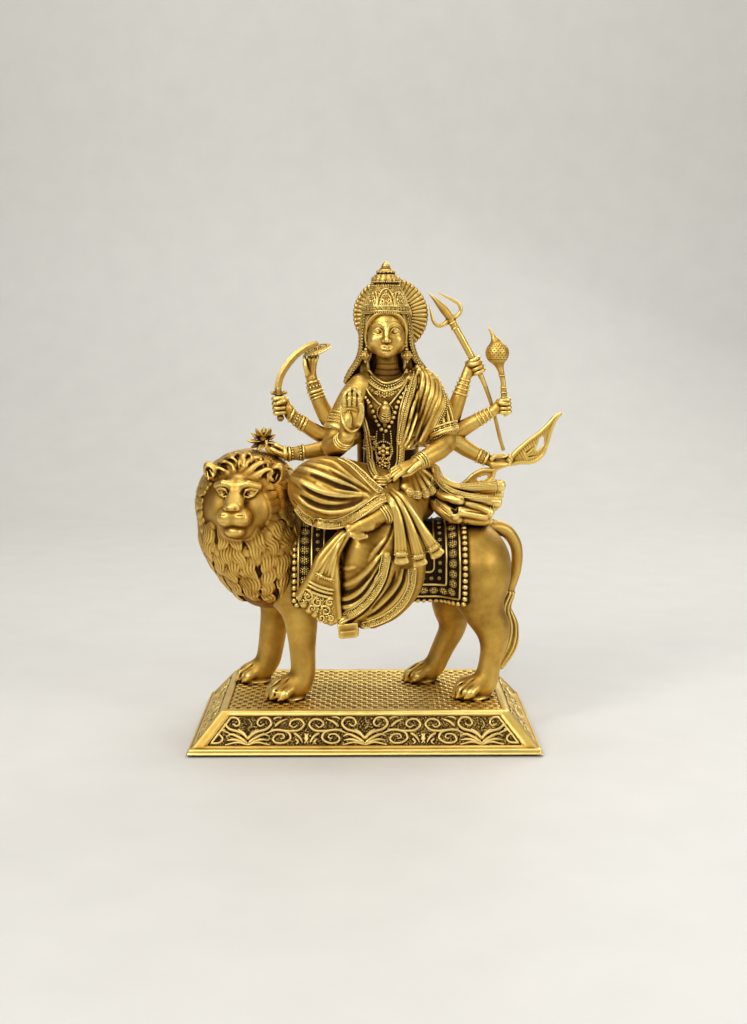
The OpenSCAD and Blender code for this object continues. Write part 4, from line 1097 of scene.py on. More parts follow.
def skirt_crossed():
    F = Field((-42, -56, 104), (28, 6, 150), 0.42)
    F.chain(curve(crossed, 4), 0)
    F.egg((-18, -30, 131), (20, 17, 15.5), (0, 6, 12), 5, m=7)
    F.egg((-2, -28, 126), (19, 15, 13), (0, 14, 8), 5, m=7)
    F.chain([[10, -22, 128, 11], [2, -37, 121, 9.5]], 4)
    # sweeping folds: raised cords with valleys between them
    for uv, r, sk_ in (
        ([(130, 215), (240, 232), (380, 285), (520, 340), (680, 395)], 1.5, 0.2),
        ([(92, 290), (220, 345), (360, 400), (520, 425), (690, 425)], 1.7, 0.25),
        ([(120, 420), (240, 500), (380, 548), (520, 535), (680, 470)], 1.5, 0.4),
        ([(230, 175), (360, 205), (480, 262), (600, 330), (700, 385)], 1.1, 0.35),
        ([(330, 140), (430, 170), (500, 225), (590, 300), (690, 372)], 1.0, 0.35),
        ([(300, 330), (420, 380), (540, 400), (680, 410)], 0.8, 0.2),
    ):
        ridge(F, s5(uv), r, 1.5, sk_)
    for uv, r in (
        ([(250, 262), (350, 300), (460, 345), (620, 392)], 0.85),
        ([(150, 330), (260, 405), (400, 452), (540, 460), (650, 440)], 1.0),
        ([(170, 430), (290, 500), (420, 520), (540, 500), (640, 462)], 1.3),
        ([(400, 225), (500, 288), (610, 350), (690, 392)], 0.7),
        ([(350, 345), (450, 390), (560, 412), (650, 415)], 0.55),
    ):
        ridge(F, s5(uv), r, 1.2, 0.1, True)
    # step down to the hem
    ridge(F, s5([(110, 470), (200, 568), (320, 618), (450, 610), (580, 560), (720, 462), (800, 415)]), 0.7, 0.8, 0.0, True, taper=False)
    ridge(F, s5([(150, 545), (240, 630), (380, 668), (520, 640), (680, 545), (860, 455)]), 2.5, 1.2, 1.0, taper=False)
    # the far side of the knee and the thigh, seen from behind and above
    for k in range(4):
        a = np.linspace(0, 1, 14)
        P = np.stack([-37 + 36 * a, -24 + 12 * a + 1.5 * k, 141 - 2 * k - 6 * (a - 0.3) ** 2], 1)
        Q = F.snap(P, 0, 8)
        F.chain(np.c_[Q, np.full(len(Q), 0.9) * np.clip(np.minimum(a, 1 - a) * 6 + 0.3, 0, 1)], 1.2)
    K = Kit()
    K.field(F, 0.9, 1.15, 3.0)
    band(K, F, s5([(140, 512), (215, 592), (310, 642), (420, 650), (530, 618), (640, 550), (760, 462), (850, 440)]), 5.4, 0.42, 1.1)
    band(K, F, s5([(470, 132), (560, 180), (640, 250), (720, 330), (790, 392)]), 4.6, 0.4, 1.1)
    K.out("skirt_over_folded_leg", POLISHED, "brass_polished", "skirt_crossed_leg")
    return F


def foot():
    F = Field((-14, -53, 105), (20, -36, 130), 0.32)
    F.chain([[15, -41, 122.5, 3.9], [9.5, -44, 120.6, 4.4], [4, -45.6, 118, 3.7], [-1.5, -46.6, 115.4, 3.0], [-5.5, -46.8, 113.4, 2.3]], 1.5)
    F.balls([[13.8, -43.2, 119.0, 3.6]], 1.8)
    F.chain([[3.0, -46.8, 114.6, 2.4], [-3.2, -47.4, 112.2, 2.0]], 1.6)
    for k, (x, y, z, r) in enumerate(((-8.6, -46.2, 113.8, 1.55), (-8.3, -47.6, 111.9, 1.3), (-7.1, -48.4, 110.4, 1.2), (-5.5, -48.8, 109.3, 1.1), (-3.7, -48.8, 108.6, 1.0))):
        F.chain([[x + 4.4, y + 0.4, z + 1.0, r * 1.2], [x + 0.5, y, z + 0.1, r * 1.12]], 0.8)
    # anklet of three cords
    K = Kit()
    K.field(F, 0.7, 1.1, 2.0)
    t = np.linspace(0, 2 * np.pi, 30)
    for o, r in ((0.0, 0.55), (1.2, 0.42), (-1.2, 0.42)):
        c = np.array([9.8 + o, -43.9 + 0.3 * o, 120.7 + 0.55 * o])
        d = np.array([0.83, 0.3, 0.47])
        X, Y, _ = axes(d[None])
        P = c + (X * np.cos(t)[:, None] + Y * np.sin(t)[:, None]) * 4.7
        P = F.snap(P, 0.1, 5)
        rope(K, P, r, 7, 0.6, caps=False)
    K.out("bare_foot", POLISHED, "brass_polished", "crossed_foot")
    return F


def skirt_hanging():
    F = Field((-16, -48, 54), (38, -12, 140), 0.42)
    F.chain([[20, -12, 124, 14], [16, -29, 116, 12.2]], 2)
    F.chain(curve([[16, -29, 116, 12.2], [11, -32.5, 103, 11.2], [7, -33.5, 92, 10.2], [3, -33, 80, 9.0]], 4), 4)
    F.chain([[3, -33, 80, 9.0], [-4, -33, 72, 8.2], [-6, -32.5, 64.5, 4.6]], 4)
    F.chain(curve([[22, -26, 106, 8], [24.5, -27, 92, 7], [22.5, -28, 80, 6.2], [14, -28.5, 69.5, 5.6], [4, -30, 64, 4.8]], 5), 5)
    F.egg((12, -30, 84), (13, 7, 17), (0, 24, 0), 4)
    F.egg((0.5, -29, 99), (12.5, 11.2, 20), (0, -6, 0), 5, m=7)
    F.egg((-1.5, -29.5, 80), (11.8, 9.2, 15), (0, 10, 0), 5, m=7)
    # calf
    ridge(F, s5([(640, 790), (600, 880), (540, 980), (500, 1060)]), 3.6, 4.0, 2.2)
    # catenary folds and their valleys
    for uv, r, s in (
        ([(448, 1128), (540, 1118), (640, 1060), (730, 970), (800, 880)], 1.35, 0.2),
        ([(440, 1236), (540, 1232), (640, 1170), (720, 1060), (790, 940)], 1.25, 0.25),
        ([(450, 1300), (560, 1290), (660, 1220), (740, 1110), (800, 1010)], 0.9, 0.2),
        ([(960, 1010), (930, 1110), (860, 1210), (770, 1300), (690, 1360)], 0.95, 0.2),
        ([(1010, 1010), (985, 1130), (910, 1250), (800, 1345), (690, 1400)], 0.85, 0.2),
        ([(470, 985), (520, 1000), (590, 985)], 0.7, 0.25),
        ([(840, 760), (760, 840), (700, 930)], 1.0, 0.5),
    ):
        ridge(F, s5(uv), r, 1.3, s)
    for uv, r in (
        ([(440, 1178), (540, 1180), (640, 1120), (730, 1020), (800, 905)], 1.0),
        ([(445, 1268), (550, 1262), (650, 1198), (730, 1085), (796, 965)], 0.7),
        ([(455, 1338), (560, 1330), (670, 1250), (750, 1150), (806, 1050)], 0.7),
        ([(905, 1030), (880, 1120), (810, 1220), (730, 1310)], 1.2),
        ([(984, 1010), (955, 1120), (885, 1230), (780, 1325), (690, 1382)], 0.55),
        ([(890, 640), (850, 760), (770, 880)], 0.6),
    ):
        ridge(F, s5(uv), r * 0.72, 1.1, 0.0, True)
    # hem swells
    ridge(F, s5([(842, 900), (808, 1060), (740, 1190), (620, 1330), (470, 1415)]), 2.0, 1.0, 1.1, taper=False)
    ridge(F, s5([(1048, 1010), (1030, 1150), (960, 1290), (830, 1395), (650, 1460)]), 1.9, 1.0, 1.0, taper=False)
    ridge(F, s5([(868, 960), (838, 1090), (770, 1220), (660, 1350), (520, 1440)]), 0.75, 0.7, 0.0, True, taper=False)
    K = Kit()
    K.field(F, 0.9, 1.15, 3.0)
    band(K, F, s5([(838, 900), (805, 1050), (742, 1180), (640, 1300), (470, 1404)]), 4.6, 0.42, 1.08)
    band(K, F, s5([(1040, 1010), (1022, 1150), (952, 1284), (825, 1388), (650, 1446)]), 4.2, 0.42, 1.08)
    K.out("skirt_over_hanging_leg", POLISHED, "brass_polished", "skirt_hanging_leg")
    # the folded end of cloth under the hem
    B = Field((-20, -44, 52), (4, -24, 68), 0.36)
    B.box((-8.4, -32.5, 59.8), (5.2, 5.0, 3.6), (0, -6, 0), 0.7)
    B.box((-8.2, -32.5, 57.8), (4.2, 5.4, 2.0), (0, -6, 0), 0.6, 0.3)
    B.chain([[-13.4, -38, 59.0, 0.3], [-3.2, -38, 60.1, 0.3]], 0.3, True)
    K = Kit()
    K.field(B, 0.8, 1.0, 2.0)
    K.out("skirt_fold_end", POLISHED, "brass_polished")
    return F


def pleats():
    F = Field((-36, -46, 56), (8, -22, 114), 0.4)
    foot_ = ((165, 1215), (198, 1275), (240, 1318), (284, 1352), (326, 1378), (366, 1398), (404, 1412), (432, 1398), (462, 1372))
    for i, b in enumerate(foot_):
        f = i / 8
        uv = [(492 + 58 * f, 712), (335 + 108 * f, 895), (268 + 170 * f, 1040 + 24 * f), b]
        ys = (-38.5, -38.8, -38.6, -36.2)
        c = curve([[*sk(s5([q]), y)[0], r] for q, y, r in zip(uv, ys, (1.4, 2.0, 2.1, 2.3))], 6)
        F.chain(c, 0.5)
        F.chain(c + [0, 2.4, 0, 0.4], 1.0)
    for uv in ([(520, 720), (430, 850), (350, 990), (300, 1080)], [(500, 760), (420, 900), (360, 1030)], [(470, 800), (420, 920), (385, 1050)], [(450, 880), (425, 980), (410, 1080)], [(540, 700), (470, 770), (390, 880), (300, 1010)]):
        ridge(F, s5(uv), 0.75, 0.7, 0.1)
    for k, (a, b) in enumerate((((282, 1030), (430, 1088)), ((232, 1098), (425, 1168)), ((222, 1124), (420, 1196)), ((205, 1158), (415, 1228)))):
        m = ((a[0] + b[0]) / 2, (a[1] + b[1]) / 2 + 10)
        ridge(F, s5([a, m, b]), 0.75 if k else 0.5, 0.4, -0.15)
    K = Kit()
    K.field(F, 0.8, 1.15, 2.6)
    # scroll-chased hem of the pleats
    for cx, cy, r0, s in ((225, 1215, 40, 1), (300, 1262, 44, -1), (362, 1330, 44, 1), (260, 1310, 30, 1), (395, 1262, 34, -1), (330, 1385, 32, -1), (180, 1250, 26, -1), (400, 1390, 26, 1)):
        t = np.linspace(0, 1, 18)
        a = s * (t * 8.2) + cx
        uv = np.stack([cx + r0 * (1 - 0.86 * t) * np.cos(a), cy + r0 * (1 - 0.86 * t) * np.sin(a)], 1)
        P = lay(F, s5([tuple(p) for p in uv]))
        rope(K, P + F.grad(P) * 0.25, 0.55 * (1.1 - 0.4 * t), 6, 0.6)
    for uv in ([(290, 1052), (350, 1074), (420, 1104)], [(190, 1180), (290, 1226), (405, 1276)]):
        c = curve(s5(uv), 8)
        beads(K, F, lay(F, c[:, :2]), 0.5, 1.2)
    # beads over the ground of the hem
    m = 240
    uv = [(x, y) for x, y in zip(rng.uniform(170, 425, m), rng.uniform(1190, 1430, m)) if y < 1235 + (x - 165) * 0.78 and y > 1170 + (x - 200) * 0.35]
    P = lay(F, s5(uv))
    N = F.grad(P)
    X, Y, Z = axes(N)
    K.copies(BEAD_S, P, X, Y, Z, rng.uniform(0.3, 0.55, len(P)))
    K.out("skirt_pleat_column", POLISHED, "brass_polished", "skirt_pleats")


def sash():
    K = Kit()
    tails = (
        ([(800, 395), (868, 470), (915, 580), (938, 720), (948, 880)], (-31, -44, -46, -46, -44.5), 885, (940, 945)),
        ([(830, 385), (920, 470), (985, 600), (1040, 750), (1082, 900)], (-31, -42, -44, -44, -42), 905, (1092, 945)),
        ([(850, 375), (950, 450), (1045, 590), (1125, 720), (1200, 835)], (-31, -40, -42, -42, -40), 850, (1212, 880)),
    )
    F = Field((4, -52, 90), (44, -26, 142), 0.38)
    ends = []
    for uv, ys, _, _ in tails:
        c = curve([(u, v, y) for (u, v), y in zip(s5(uv), ys)], 7)
        P = sk(c[:, :2], c[:, 2])
        T = np.gradient(P, axis=0)
        T /= np.linalg.norm(T, axis=1, keepdims=True)
        side = np.cross(T, [0, 1.0, 0])
        side /= np.linalg.norm(side, axis=1, keepdims=True)
        t = np.linspace(0, 1, len(P))
        wd = 0.6 + 1.5 * t ** 1.4
        for s in (-1, -0.35, 0.35, 1):
            Q = P + side * (s * wd)[:, None] + np.array([0, -1.0, 0]) * ((1 - abs(s)) * 0.9 * t)[:, None]
            F.chain(np.c_[Q, 0.95 + 0.35 * t], 0.35)
        F.chain(np.c_[P + [0, 0.8, 0], 1.0 + 1.6 * t], 0.6)
        # the gathered collar and the tassel
        e, d, sd = P[-1], T[-1], side[-1]
        F.chain([[*(e - sd * 2.2), 1.4], [*(e + sd * 2.2), 1.4]], 0.5)
        F.chain([[*(e - sd * 1.6 + [0, -1.3, 0]), 1.3], [*(e + sd * 1.6 + [0, -1.3, 0]), 1.3]], 0.5)
        e2 = e + d * 3.2
        for s in np.linspace(-1, 1, 6):
            F.chain([[*(e + d * 1.2 + sd * s * 1.9), 1.0], [*(e2 + sd * s * 2.6 + d * (1.6 - abs(s) * 0.7)), 1.35]], 0.3)
        F.egg(e2.tolist(), (2.6, 2.0, 2.4), (0, 0, 0), 0.6)
        ends.append((e, d, sd))
    # knot the tails come from
    F.balls([[*sk(s5([(790, 350)]), -29)[0], 3.0], [*sk(s5([(835, 372)]), -30)[0], 2.4]], 0.8)
    K.field(F, 0.75, 1.15, 2.2)
    for e, d, sd in ends:
        t = np.linspace(-1, 1, 30)
        P = e[None] + sd[None] * (t * 2.8)[:, None] + np.array([0, -1.0, 0])[None] * (2.2 * np.sqrt(1 - (t * 0.95) ** 2))[:, None]
        P = F.snap(P, 0.0, 5)
        beads(K, F, P, 0.52, 1.05)
        beads(K, F, F.snap(P + d * 1.5, 0, 5), 0.42, 0.9)
        beads(K, F, F.snap(P - d * 1.4, 0, 5), 0.38, 0.85)
    K.out("sash_tails_tasselled", POLISHED, "brass_bright", "sash_tails")


SC = skirt_crossed()
foot()
SH = skirt_hanging()
pleats()
sash()
# ------------------------------------------------------------------ seated figure: trunk
bust = [[12, -3, 146, 11.5], [13, -4, 160, 12.8], [14, -4, 174, 13.6]]
s1 = fr(340, 255, 12.06)
s2 = fr(230, 320, 9.8)
s3 = fr(360, 280, 6.533)
s13 = fr(300, 380, 15.68)


def unit(v):
    v = np.array(v, float)
    return v / np.linalg.norm(v)


def ring(K, F, c, d, rad, r=0.5, bead=0.0, pitch=1.0, snap=True, off=0.15, n=28):
    """A bangle round a limb at c across direction d, closed on the limb's own surface."""
    t = np.linspace(0, 2 * np.pi, n)
    X, Y, _ = axes(unit(d)[None])
    P = np.array(c) + (X * np.cos(t)[:, None] + Y * np.sin(t)[:, None]) * rad
    if snap:
        for _ in range(5):
            G = F.grad(P)
            G = G - unit(d) * (G @ unit(d))[:, None]
            P = P - G * (F.at(P) - off)[:, None] * 0.9
    if bead:
        beads(K, F, P, bead, pitch)
    else:
        rope(K, P, r, 7, 0.62, caps=False)
    return P


def torso():
    F = Field((-24, -34, 107), (52, 16, 204), 0.42)
    F.chain([[4, -4, 124, 15], [24, -4, 124, 15]], 0)
    F.chain([[8, -4, 128, 13], [14, -3, 146, 11.2]], 4, m=6)
    F.chain([[20, -4, 128, 13], [13, -3, 146, 11.2]], 4, m=6)
    F.chain(bust, 4, m=6)
    F.chain([[5, -3, 180, 7.6], [23.5, -3, 180, 7.6]], 5, m=6)
    F.egg((14, -2, 176), (16.5, 9.5, 11), (0, 0, 0), 4, m=6)
    F.chain([[12, -4, 186, 6.4], [11.8, -6.5, 198, 5.3]], 4, m=6)
    F.egg((7.8, -13.2, 170.5), (6.2, 5.6, 5.8), (0, 0, 0), 3)
    F.egg((19.6, -13.0, 170.5), (6.2, 5.6, 5.8), (0, 0, 0), 3)
    F.egg((13, -10, 156), (9.5, 6.2, 10), (0, 0, 0), 3)
    F.balls([[13, -16.4, 151.5, 0.8]], 0.8, True)
    for z in (188.6, 191.6, 194.6):
        t = np.linspace(-1.3, 1.3, 15)
        P = F.snap(np.c_[11.9 + 6 * np.sin(t), -5 - 6 * np.cos(t), z - 0.7 * np.cos(t)], 0, 5)
        F.chain(np.c_[P + [0, -0.1, 0], np.full(15, 0.16)], 0.7, True)
    # back of the hips: soft folds
    for k in range(5):
        a = np.linspace(-1, 1, 16)
        P = np.stack([14 + 18 * a, 10 - 5 * a * a, 132 - 4.6 * k - 3.2 * (1 - a * a)], 1)
        P = F.snap(P, 0, 8)
        F.chain(np.c_[P, 0.9 * np.clip((1 - np.abs(a)) * 4 + 0.3, 0, 1)], 1.0)
    K = Kit()
    K.field(F, 0.9, 1.15, 3.0)
    V = K.V[-1]
    # painted shade: the front of the trunk is darkened, lightly at the bust and fully from 14 mm below it, where bust,
    # jewels and arms overhang it
    front = (V[:, 1] < -6) & (V[:, 2] > 128)
    K.C[-1] = K.C[-1] - 0.34 * front * np.clip((176 - V[:, 2]) / 14, 0.25, 1)
    K.out("goddess_trunk", AGED, "brass_polished", "goddess_torso")
    return F


def jewels(F):
    """Collar, strings, pendant, belly plates."""
    K = Kit()

    def on(F, pts, n=8, fn=s3):
        c = curve(fn(pts), n)
        return lay(F, c[:, :2], -40)

    # broad collar: cords, beads and lobes
    for pts, r in (([(62, 588), (95, 628), (150, 668), (190, 672), (250, 650), (290, 612), (306, 584)], 0.7),
                   ([(38, 618), (72, 672), (135, 715), (180, 722), (262, 690), (310, 640), (330, 596)], 0.75)):
        P = on(F, pts)
        rope(K, P + F.grad(P) * 0.3, r, 8, 0.6)
    for pts, r, pt in (([(40, 572), (84, 640), (146, 684), (190, 690), (254, 664), (306, 610), (330, 552)], 0.62, 1.3),
                       ([(30, 582), (76, 656), (140, 703), (184, 708), (260, 678), (312, 622), (338, 556)], 0.78, 1.6)):
        P = on(F, pts)
        beads(K, F, P, r, pt)
    P = on(F, [(14, 610), (60, 700), (128, 748), (172, 758), (262, 712), (326, 642), (352, 575)])
    Q, T = even(P, 2.1)
    Q = F.snap(Q, 0, 4)
    N = F.grad(Q)
    X, Y, Z = axes(N, T)
    K.copies(FLOWER, Q - Z * 0.1, X, Y, Z, 1.05)
    # two cords in a V and the long bead string
    for pts in ([(28, 668), (66, 738), (118, 800), (140, 812)], [(322, 632), (280, 700), (212, 790), (190, 812)]):
        P = on(F, pts)
        rope(K, P + F.grad(P) * 0.35, 0.5, 7, 0.65)
    P = on(F, [(12, 720), (58, 785), (92, 860), (118, 925), (160, 985), (206, 925), (232, 850), (262, 770), (318, 700)])
    Q, T = even(P, 2.75)
    Q = F.snap(Q, 0, 4)
    N = F.grad(Q)
    X, Y, Z = axes(N, T)
    K.copies(BEAD, Q + Z * 0.25, X, Y, Z, 1.22)
    # pendant with chased lines
    c = on(F, [(164, 868), (164, 869)])[:1]
    n = F.grad(c)[0]
    X, Y, Z = axes(np.array([n]), np.array([[0, 0, -1.0]]))
    X, Y, Z = X[0], Y[0], Z[0]
    G = Field(c[0] - 7, c[0] + 7, 0.24)
    bl = lambda a, b, h, r: [*(c[0] + X * a + Y * b + Z * h), r]
    G.chain([bl(-2.6, 0, 0.4, 2.6), bl(1.6, 0, 0.5, 3.4)], 0)
    G.balls([bl(5.2, 0, 0.4, 1.0), bl(-5.4, 0, 0.5, 1.3)], 0.6)
    for j in range(-3, 4):
        a = j * 1.15
        w = 3.6 * math.sqrt(max(0.05, 1 - (a / 5.2) ** 2))
        G.chain([bl(a - 0.8, -w, 1.8, 0.25), bl(a + 0.3, 0, 3.9, 0.3), bl(a - 0.8, w, 1.8, 0.25)], 0.35, True)
    K.field(G, 0.6, 1.2, 1.4)
    a = np.linspace(0, 2 * np.pi, 40)
    P = c[0] + (X * np.cos(a)[:, None] * 5.1 - X * 0.4 + Y * np.sin(a)[:, None] * 4.2)
    beads(K, F, P, 0.5, 1.05)
    # breast flower and belly plates
    for (x, y), r in (((120, 735), 2.0), ((205, 735), 2.0), ((162, 745), 2.3), ((162, 800), 1.5), ((165, 945), 1.2), ((155, 1108), 4.1), ((150, 1200), 2.9), ((152, 1255), 2.2), ((118, 1160), 1.4), ((190, 1160), 1.4), ((112, 1080), 1.2), ((200, 1080), 1.2), ((118, 1215), 1.2), ((184, 1215), 1.2)):
        c = on(F, [(x, y), (x + 1, y)])[:1]
        c = F.snap(c, 0, 5)
        n = F.grad(c)
        X, Y, Z = axes(n, np.array([[0, 0, 1.0]]))
        K.copies(FLOWER, c - Z * 0.1, X, Y, Z, r)
        if r > 2.5:
            a = np.linspace(0, 2 * np.pi, 30)
            P = c + (X * np.cos(a)[:, None] + Y * np.sin(a)[:, None]) * (r + 0.75)
            beads(K, F, P, 0.55, 1.15)
    # filigree drops between the plates
    for pts in ([(112, 985), (106, 1060), (112, 1150), (128, 1190)], [(200, 985), (206, 1060), (198, 1150), (182, 1190)], [(155, 1005), (155, 1052)]):
        beads(K, F, on(F, pts), 0.5, 1.2)
    K.out("necklaces_and_pendants", BRIGHT, "brass_bright", "necklaces")

    # long garland: two plaited bands down to the knot
    K = Kit()
    for pts in ([(22, 760), (32, 880), (58, 1000), (70, 1120), (75, 1230), (110, 1290), (140, 1310)],
                [(318, 700), (286, 830), (266, 950), (262, 1080), (258, 1190), (228, 1262), (160, 1306)]):
        c = curve(s3(pts), 9)
        P, G = lay2([F, SC], c[:, :2], -55, 90, 0.5)
        for _ in range(3):
            P[1:-1] = (P[:-2] + P[1:-1] * 2 + P[2:]) / 4
            G[1:-1] = (G[:-2] + G[1:-1] * 2 + G[2:]) / 4
        G /= np.linalg.norm(G, axis=1, keepdims=True)
        T = np.gradient(P, axis=0)
        T /= np.linalg.norm(T, axis=1, keepdims=True)
        B = np.cross(G, T)
        rope(K, P + G * 0.2, 1.25, 8, 0.35)
        for s in (-1, 1):
            rope(K, P + B * 1.75 * s, 0.55, 7, 0.6)
            Q, TT = even(P + B * 0.72 * s + G * 0.8, 1.5)
            GG = np.stack([np.interp(np.linspace(0, 1, len(Q)), np.linspace(0, 1, len(G)), G[:, i]) for i in range(3)], 1)
            X, Y, Z = axes(GG, TT + np.cross(GG, TT) * 0.7 * s)
            K.copies(BEAD, Q, X, Y, Z, np.tile([0.95, 0.55, 0.75], (len(Q), 1)))
    # knot and fringe where they meet
    c = lay2([F, SC], s5([(795, 318)]), -60)[0][0] + [0, -1.2, 0.4]
    G = Field(c - 8, c + 8, 0.3)
    G.balls([[*c, 2.9], [*(c + [-2.6, 0.4, 1.6]), 1.9], [*(c + [2.6, 0.4, 1.4]), 1.9]], 0.8)
    for s in np.linspace(-1, 1, 7):
        G.chain([[*(c + [s * 1.6, -0.6, -1.5]), 0.8], [*(c + [s * 3.0, -0.2 - 0.8 * (1 - abs(s)), -6.0 + abs(s)]), 0.62]], 0.25)
    for j in range(3):
        a = np.linspace(0, 2 * np.pi, 18)
        G.chain(np.c_[c[0] + 2.7 * np.cos(a), c[1] + 2.7 * np.sin(a), c[2] - 1.5 + 1.5 * j + 0 * a, 0.45 + 0 * a], 0.2)
    K.field(G, 0.6, 1.1, 1.6)
    K.out("long_garland_bands", BRIGHT, "brass_bright", "long_garland")

    # belt
    K = Kit()
    t = np.linspace(0, 2 * np.pi, 90)
    # it passes under the long garland, so it shows at the sides and the back only
    t = np.linspace(math.radians(-56), math.radians(236), 80)
    for z, r, u in ((156.2, 0.6, 0), (149.8, 0.6, 0)):
        P = np.stack([13 + 18 * np.cos(t), -3.4 + 18 * np.sin(t), z + 0 * t], 1)
        for _ in range(10):
            g = F.grad(P)
            g[:, 2] = 0
            g /= np.linalg.norm(g, axis=1, keepdims=True) + 1e-9
            P = P - g * (F.at(P) - 0.5)[:, None] * 0.8
        rope(K, P, r, 7, 0.6)
    for z, r, pt, un in ((153.0, 1.55, 3.6, FLOWER), (155.0, 0.5, 1.15, BEAD), (151.0, 0.5, 1.15, BEAD)):
        P = np.stack([13 + 18 * np.cos(t), -3.4 + 18 * np.sin(t), z + 0 * t], 1)
        for _ in range(10):
            g = F.grad(P)
            g[:, 2] = 0
            g /= np.linalg.norm(g, axis=1, keepdims=True) + 1e-9
            P = P - g * (F.at(P) - 0.3)[:, None] * 0.8
        Q, T = even(P, pt)
        X, Y, Z = axes(F.grad(Q), T)
        K.copies(un, Q, X, Y, Z, r)
    K.out("waist_belt_chased", BRIGHT, "brass_bright", "waist_belt")


def stole_piece(F0):
    """Folded stole over the shoulder, front and back."""
    F = Field((14, -28, 138), (54, 16, 198), 0.4)
    SL = Field((14, -28, 138), (54, 16, 198), 0.5)
    SL.chain(curve([[30, -3, 181.4, 8.3], [34.6, -3.8, 174, 8.6], [38.6, -5, 166, 8.1], [41.2, -6.8, 158.6, 7.3]], 4), 0)
    s = (slice(None),) * 3
    for a, b, y0, y1, r in (
        ([(378, 595), (345, 700), (300, 840), (262, 1000), (250, 1060)], None, -40, 0, 1.35),
        ([(400, 600), (372, 720), (326, 860), (286, 1010), (262, 1070)], None, -40, 0, 1.15),
        ([(424, 610), (402, 740), (355, 880), (310, 1020), (280, 1080)], None, -40, 0, 1.25),
        ([(446, 625), (428, 760), (385, 900), (338, 1030), (300, 1090)], None, -40, 0, 1.1),
        ([(462, 650), (450, 780), (415, 910), (368, 1030), (325, 1085)], None, -40, 0, 1.2),
        ([(350, 590), (322, 700), (285, 830), (252, 980), (244, 1040)], None, -40, 0, 1.1),
    ):
        c = curve(s3(a), 6)
        P = lay(F0, c[:, :2], -40)
        P = P + F0.grad(P) * 0.9
        F.chain(np.c_[P, np.full(len(P), r)], 0.55)
    # the wide part that covers the shoulder and the top of the sleeve
    for pts, r in (([(372, 568), (410, 646), (374, 834), (338, 1010)], 1.3), ([(402, 578), (442, 676), (402, 850), (350, 1030)], 1.15), ([(430, 592), (470, 700), (430, 856), (364, 1036)], 1.35),
                   ([(458, 612), (496, 716), (456, 866), (380, 1044)], 1.15), ([(486, 636), (518, 736), (480, 872), (398, 1050)], 1.4), ([(508, 668), (536, 762), (500, 880), (414, 1056)], 1.2), ([(522, 700), (546, 790), (514, 888), (430, 1062)], 1.3)):
        c = curve(s3(pts), 7)
        P, N = lay2([F0, SL], c[:, :2], -40, 60, 0.4)
        for _ in range(3):
            P[1:-1] = (P[:-2] + P[1:-1] * 2 + P[2:]) / 4
        F.chain(np.c_[P, r * np.interp(np.linspace(0, 1, len(P)), [0, 0.5, 1], [0.9, 1.25, 0.75])], 0.5)
        # the same fold carried back over the shoulder
        a = P[0]
        B = curve([a, a + [0.2, 4, 0.5], a + [-0.4, 9, -2.5], a + [-1.5, 13, -10], a + [-2.5, 14, -20]], 6)
        B = np.vstack([B[:1], SL.snap(B[1:], 0.6, 8)])
        for _ in range(3):
            B[1:-1] = (B[:-2] + B[1:-1] * 2 + B[2:]) / 4
        F.chain(np.c_[B, np.full(len(B), r * 0.95)], 0.5)
    # over the top of the shoulder and down behind
    for k in range(7):
        x = 22.5 + 1.9 * k
        P = np.array([[x, -9.0, 186], [x + 0.4, -4, 189.5], [x + 0.4, 2, 187.5], [x, 6.5, 178], [x - 0.6, 8.5, 164], [x - 1.2, 8.5, 150]])
        P = curve(P, 6)
        P = F0.snap(P, 0.9, 8)
        F.chain(np.c_[P, np.full(len(P), 1.2 if k % 2 else 1.4)], 0.5)
    K = Kit()
    K.field(F, 0.8, 1.15, 2.4)
    for pts, w in (([(352, 600), (326, 700), (290, 830), (256, 980), (248, 1050)], 1.0), ([(536, 716), (556, 800), (524, 892), (436, 1064)], 1.0)):
        c = curve(s3(pts), 9)
        P = lay(F, c[:, :2], -40)
        beads(K, F, P, 0.62, 1.2)
        Q, T = even(P, 1.05)
        N = F.grad(Q)
        X, Y, Z = axes(N, T)
        K.copies(BEAD_S, Q + Y * 1.3, X, Y, Z, np.tile([0.4, 1.0, 0.6], (len(Q), 1)))
    K.out("shoulder_stole_folded", POLISHED, "brass_polished", "shoulder_stole")


TF = torso()
jewels(TF)
stole_piece(TF)
# ------------------------------------------------------------------ head, crown, halo, hair
HX, HY = 11.2, -8.5


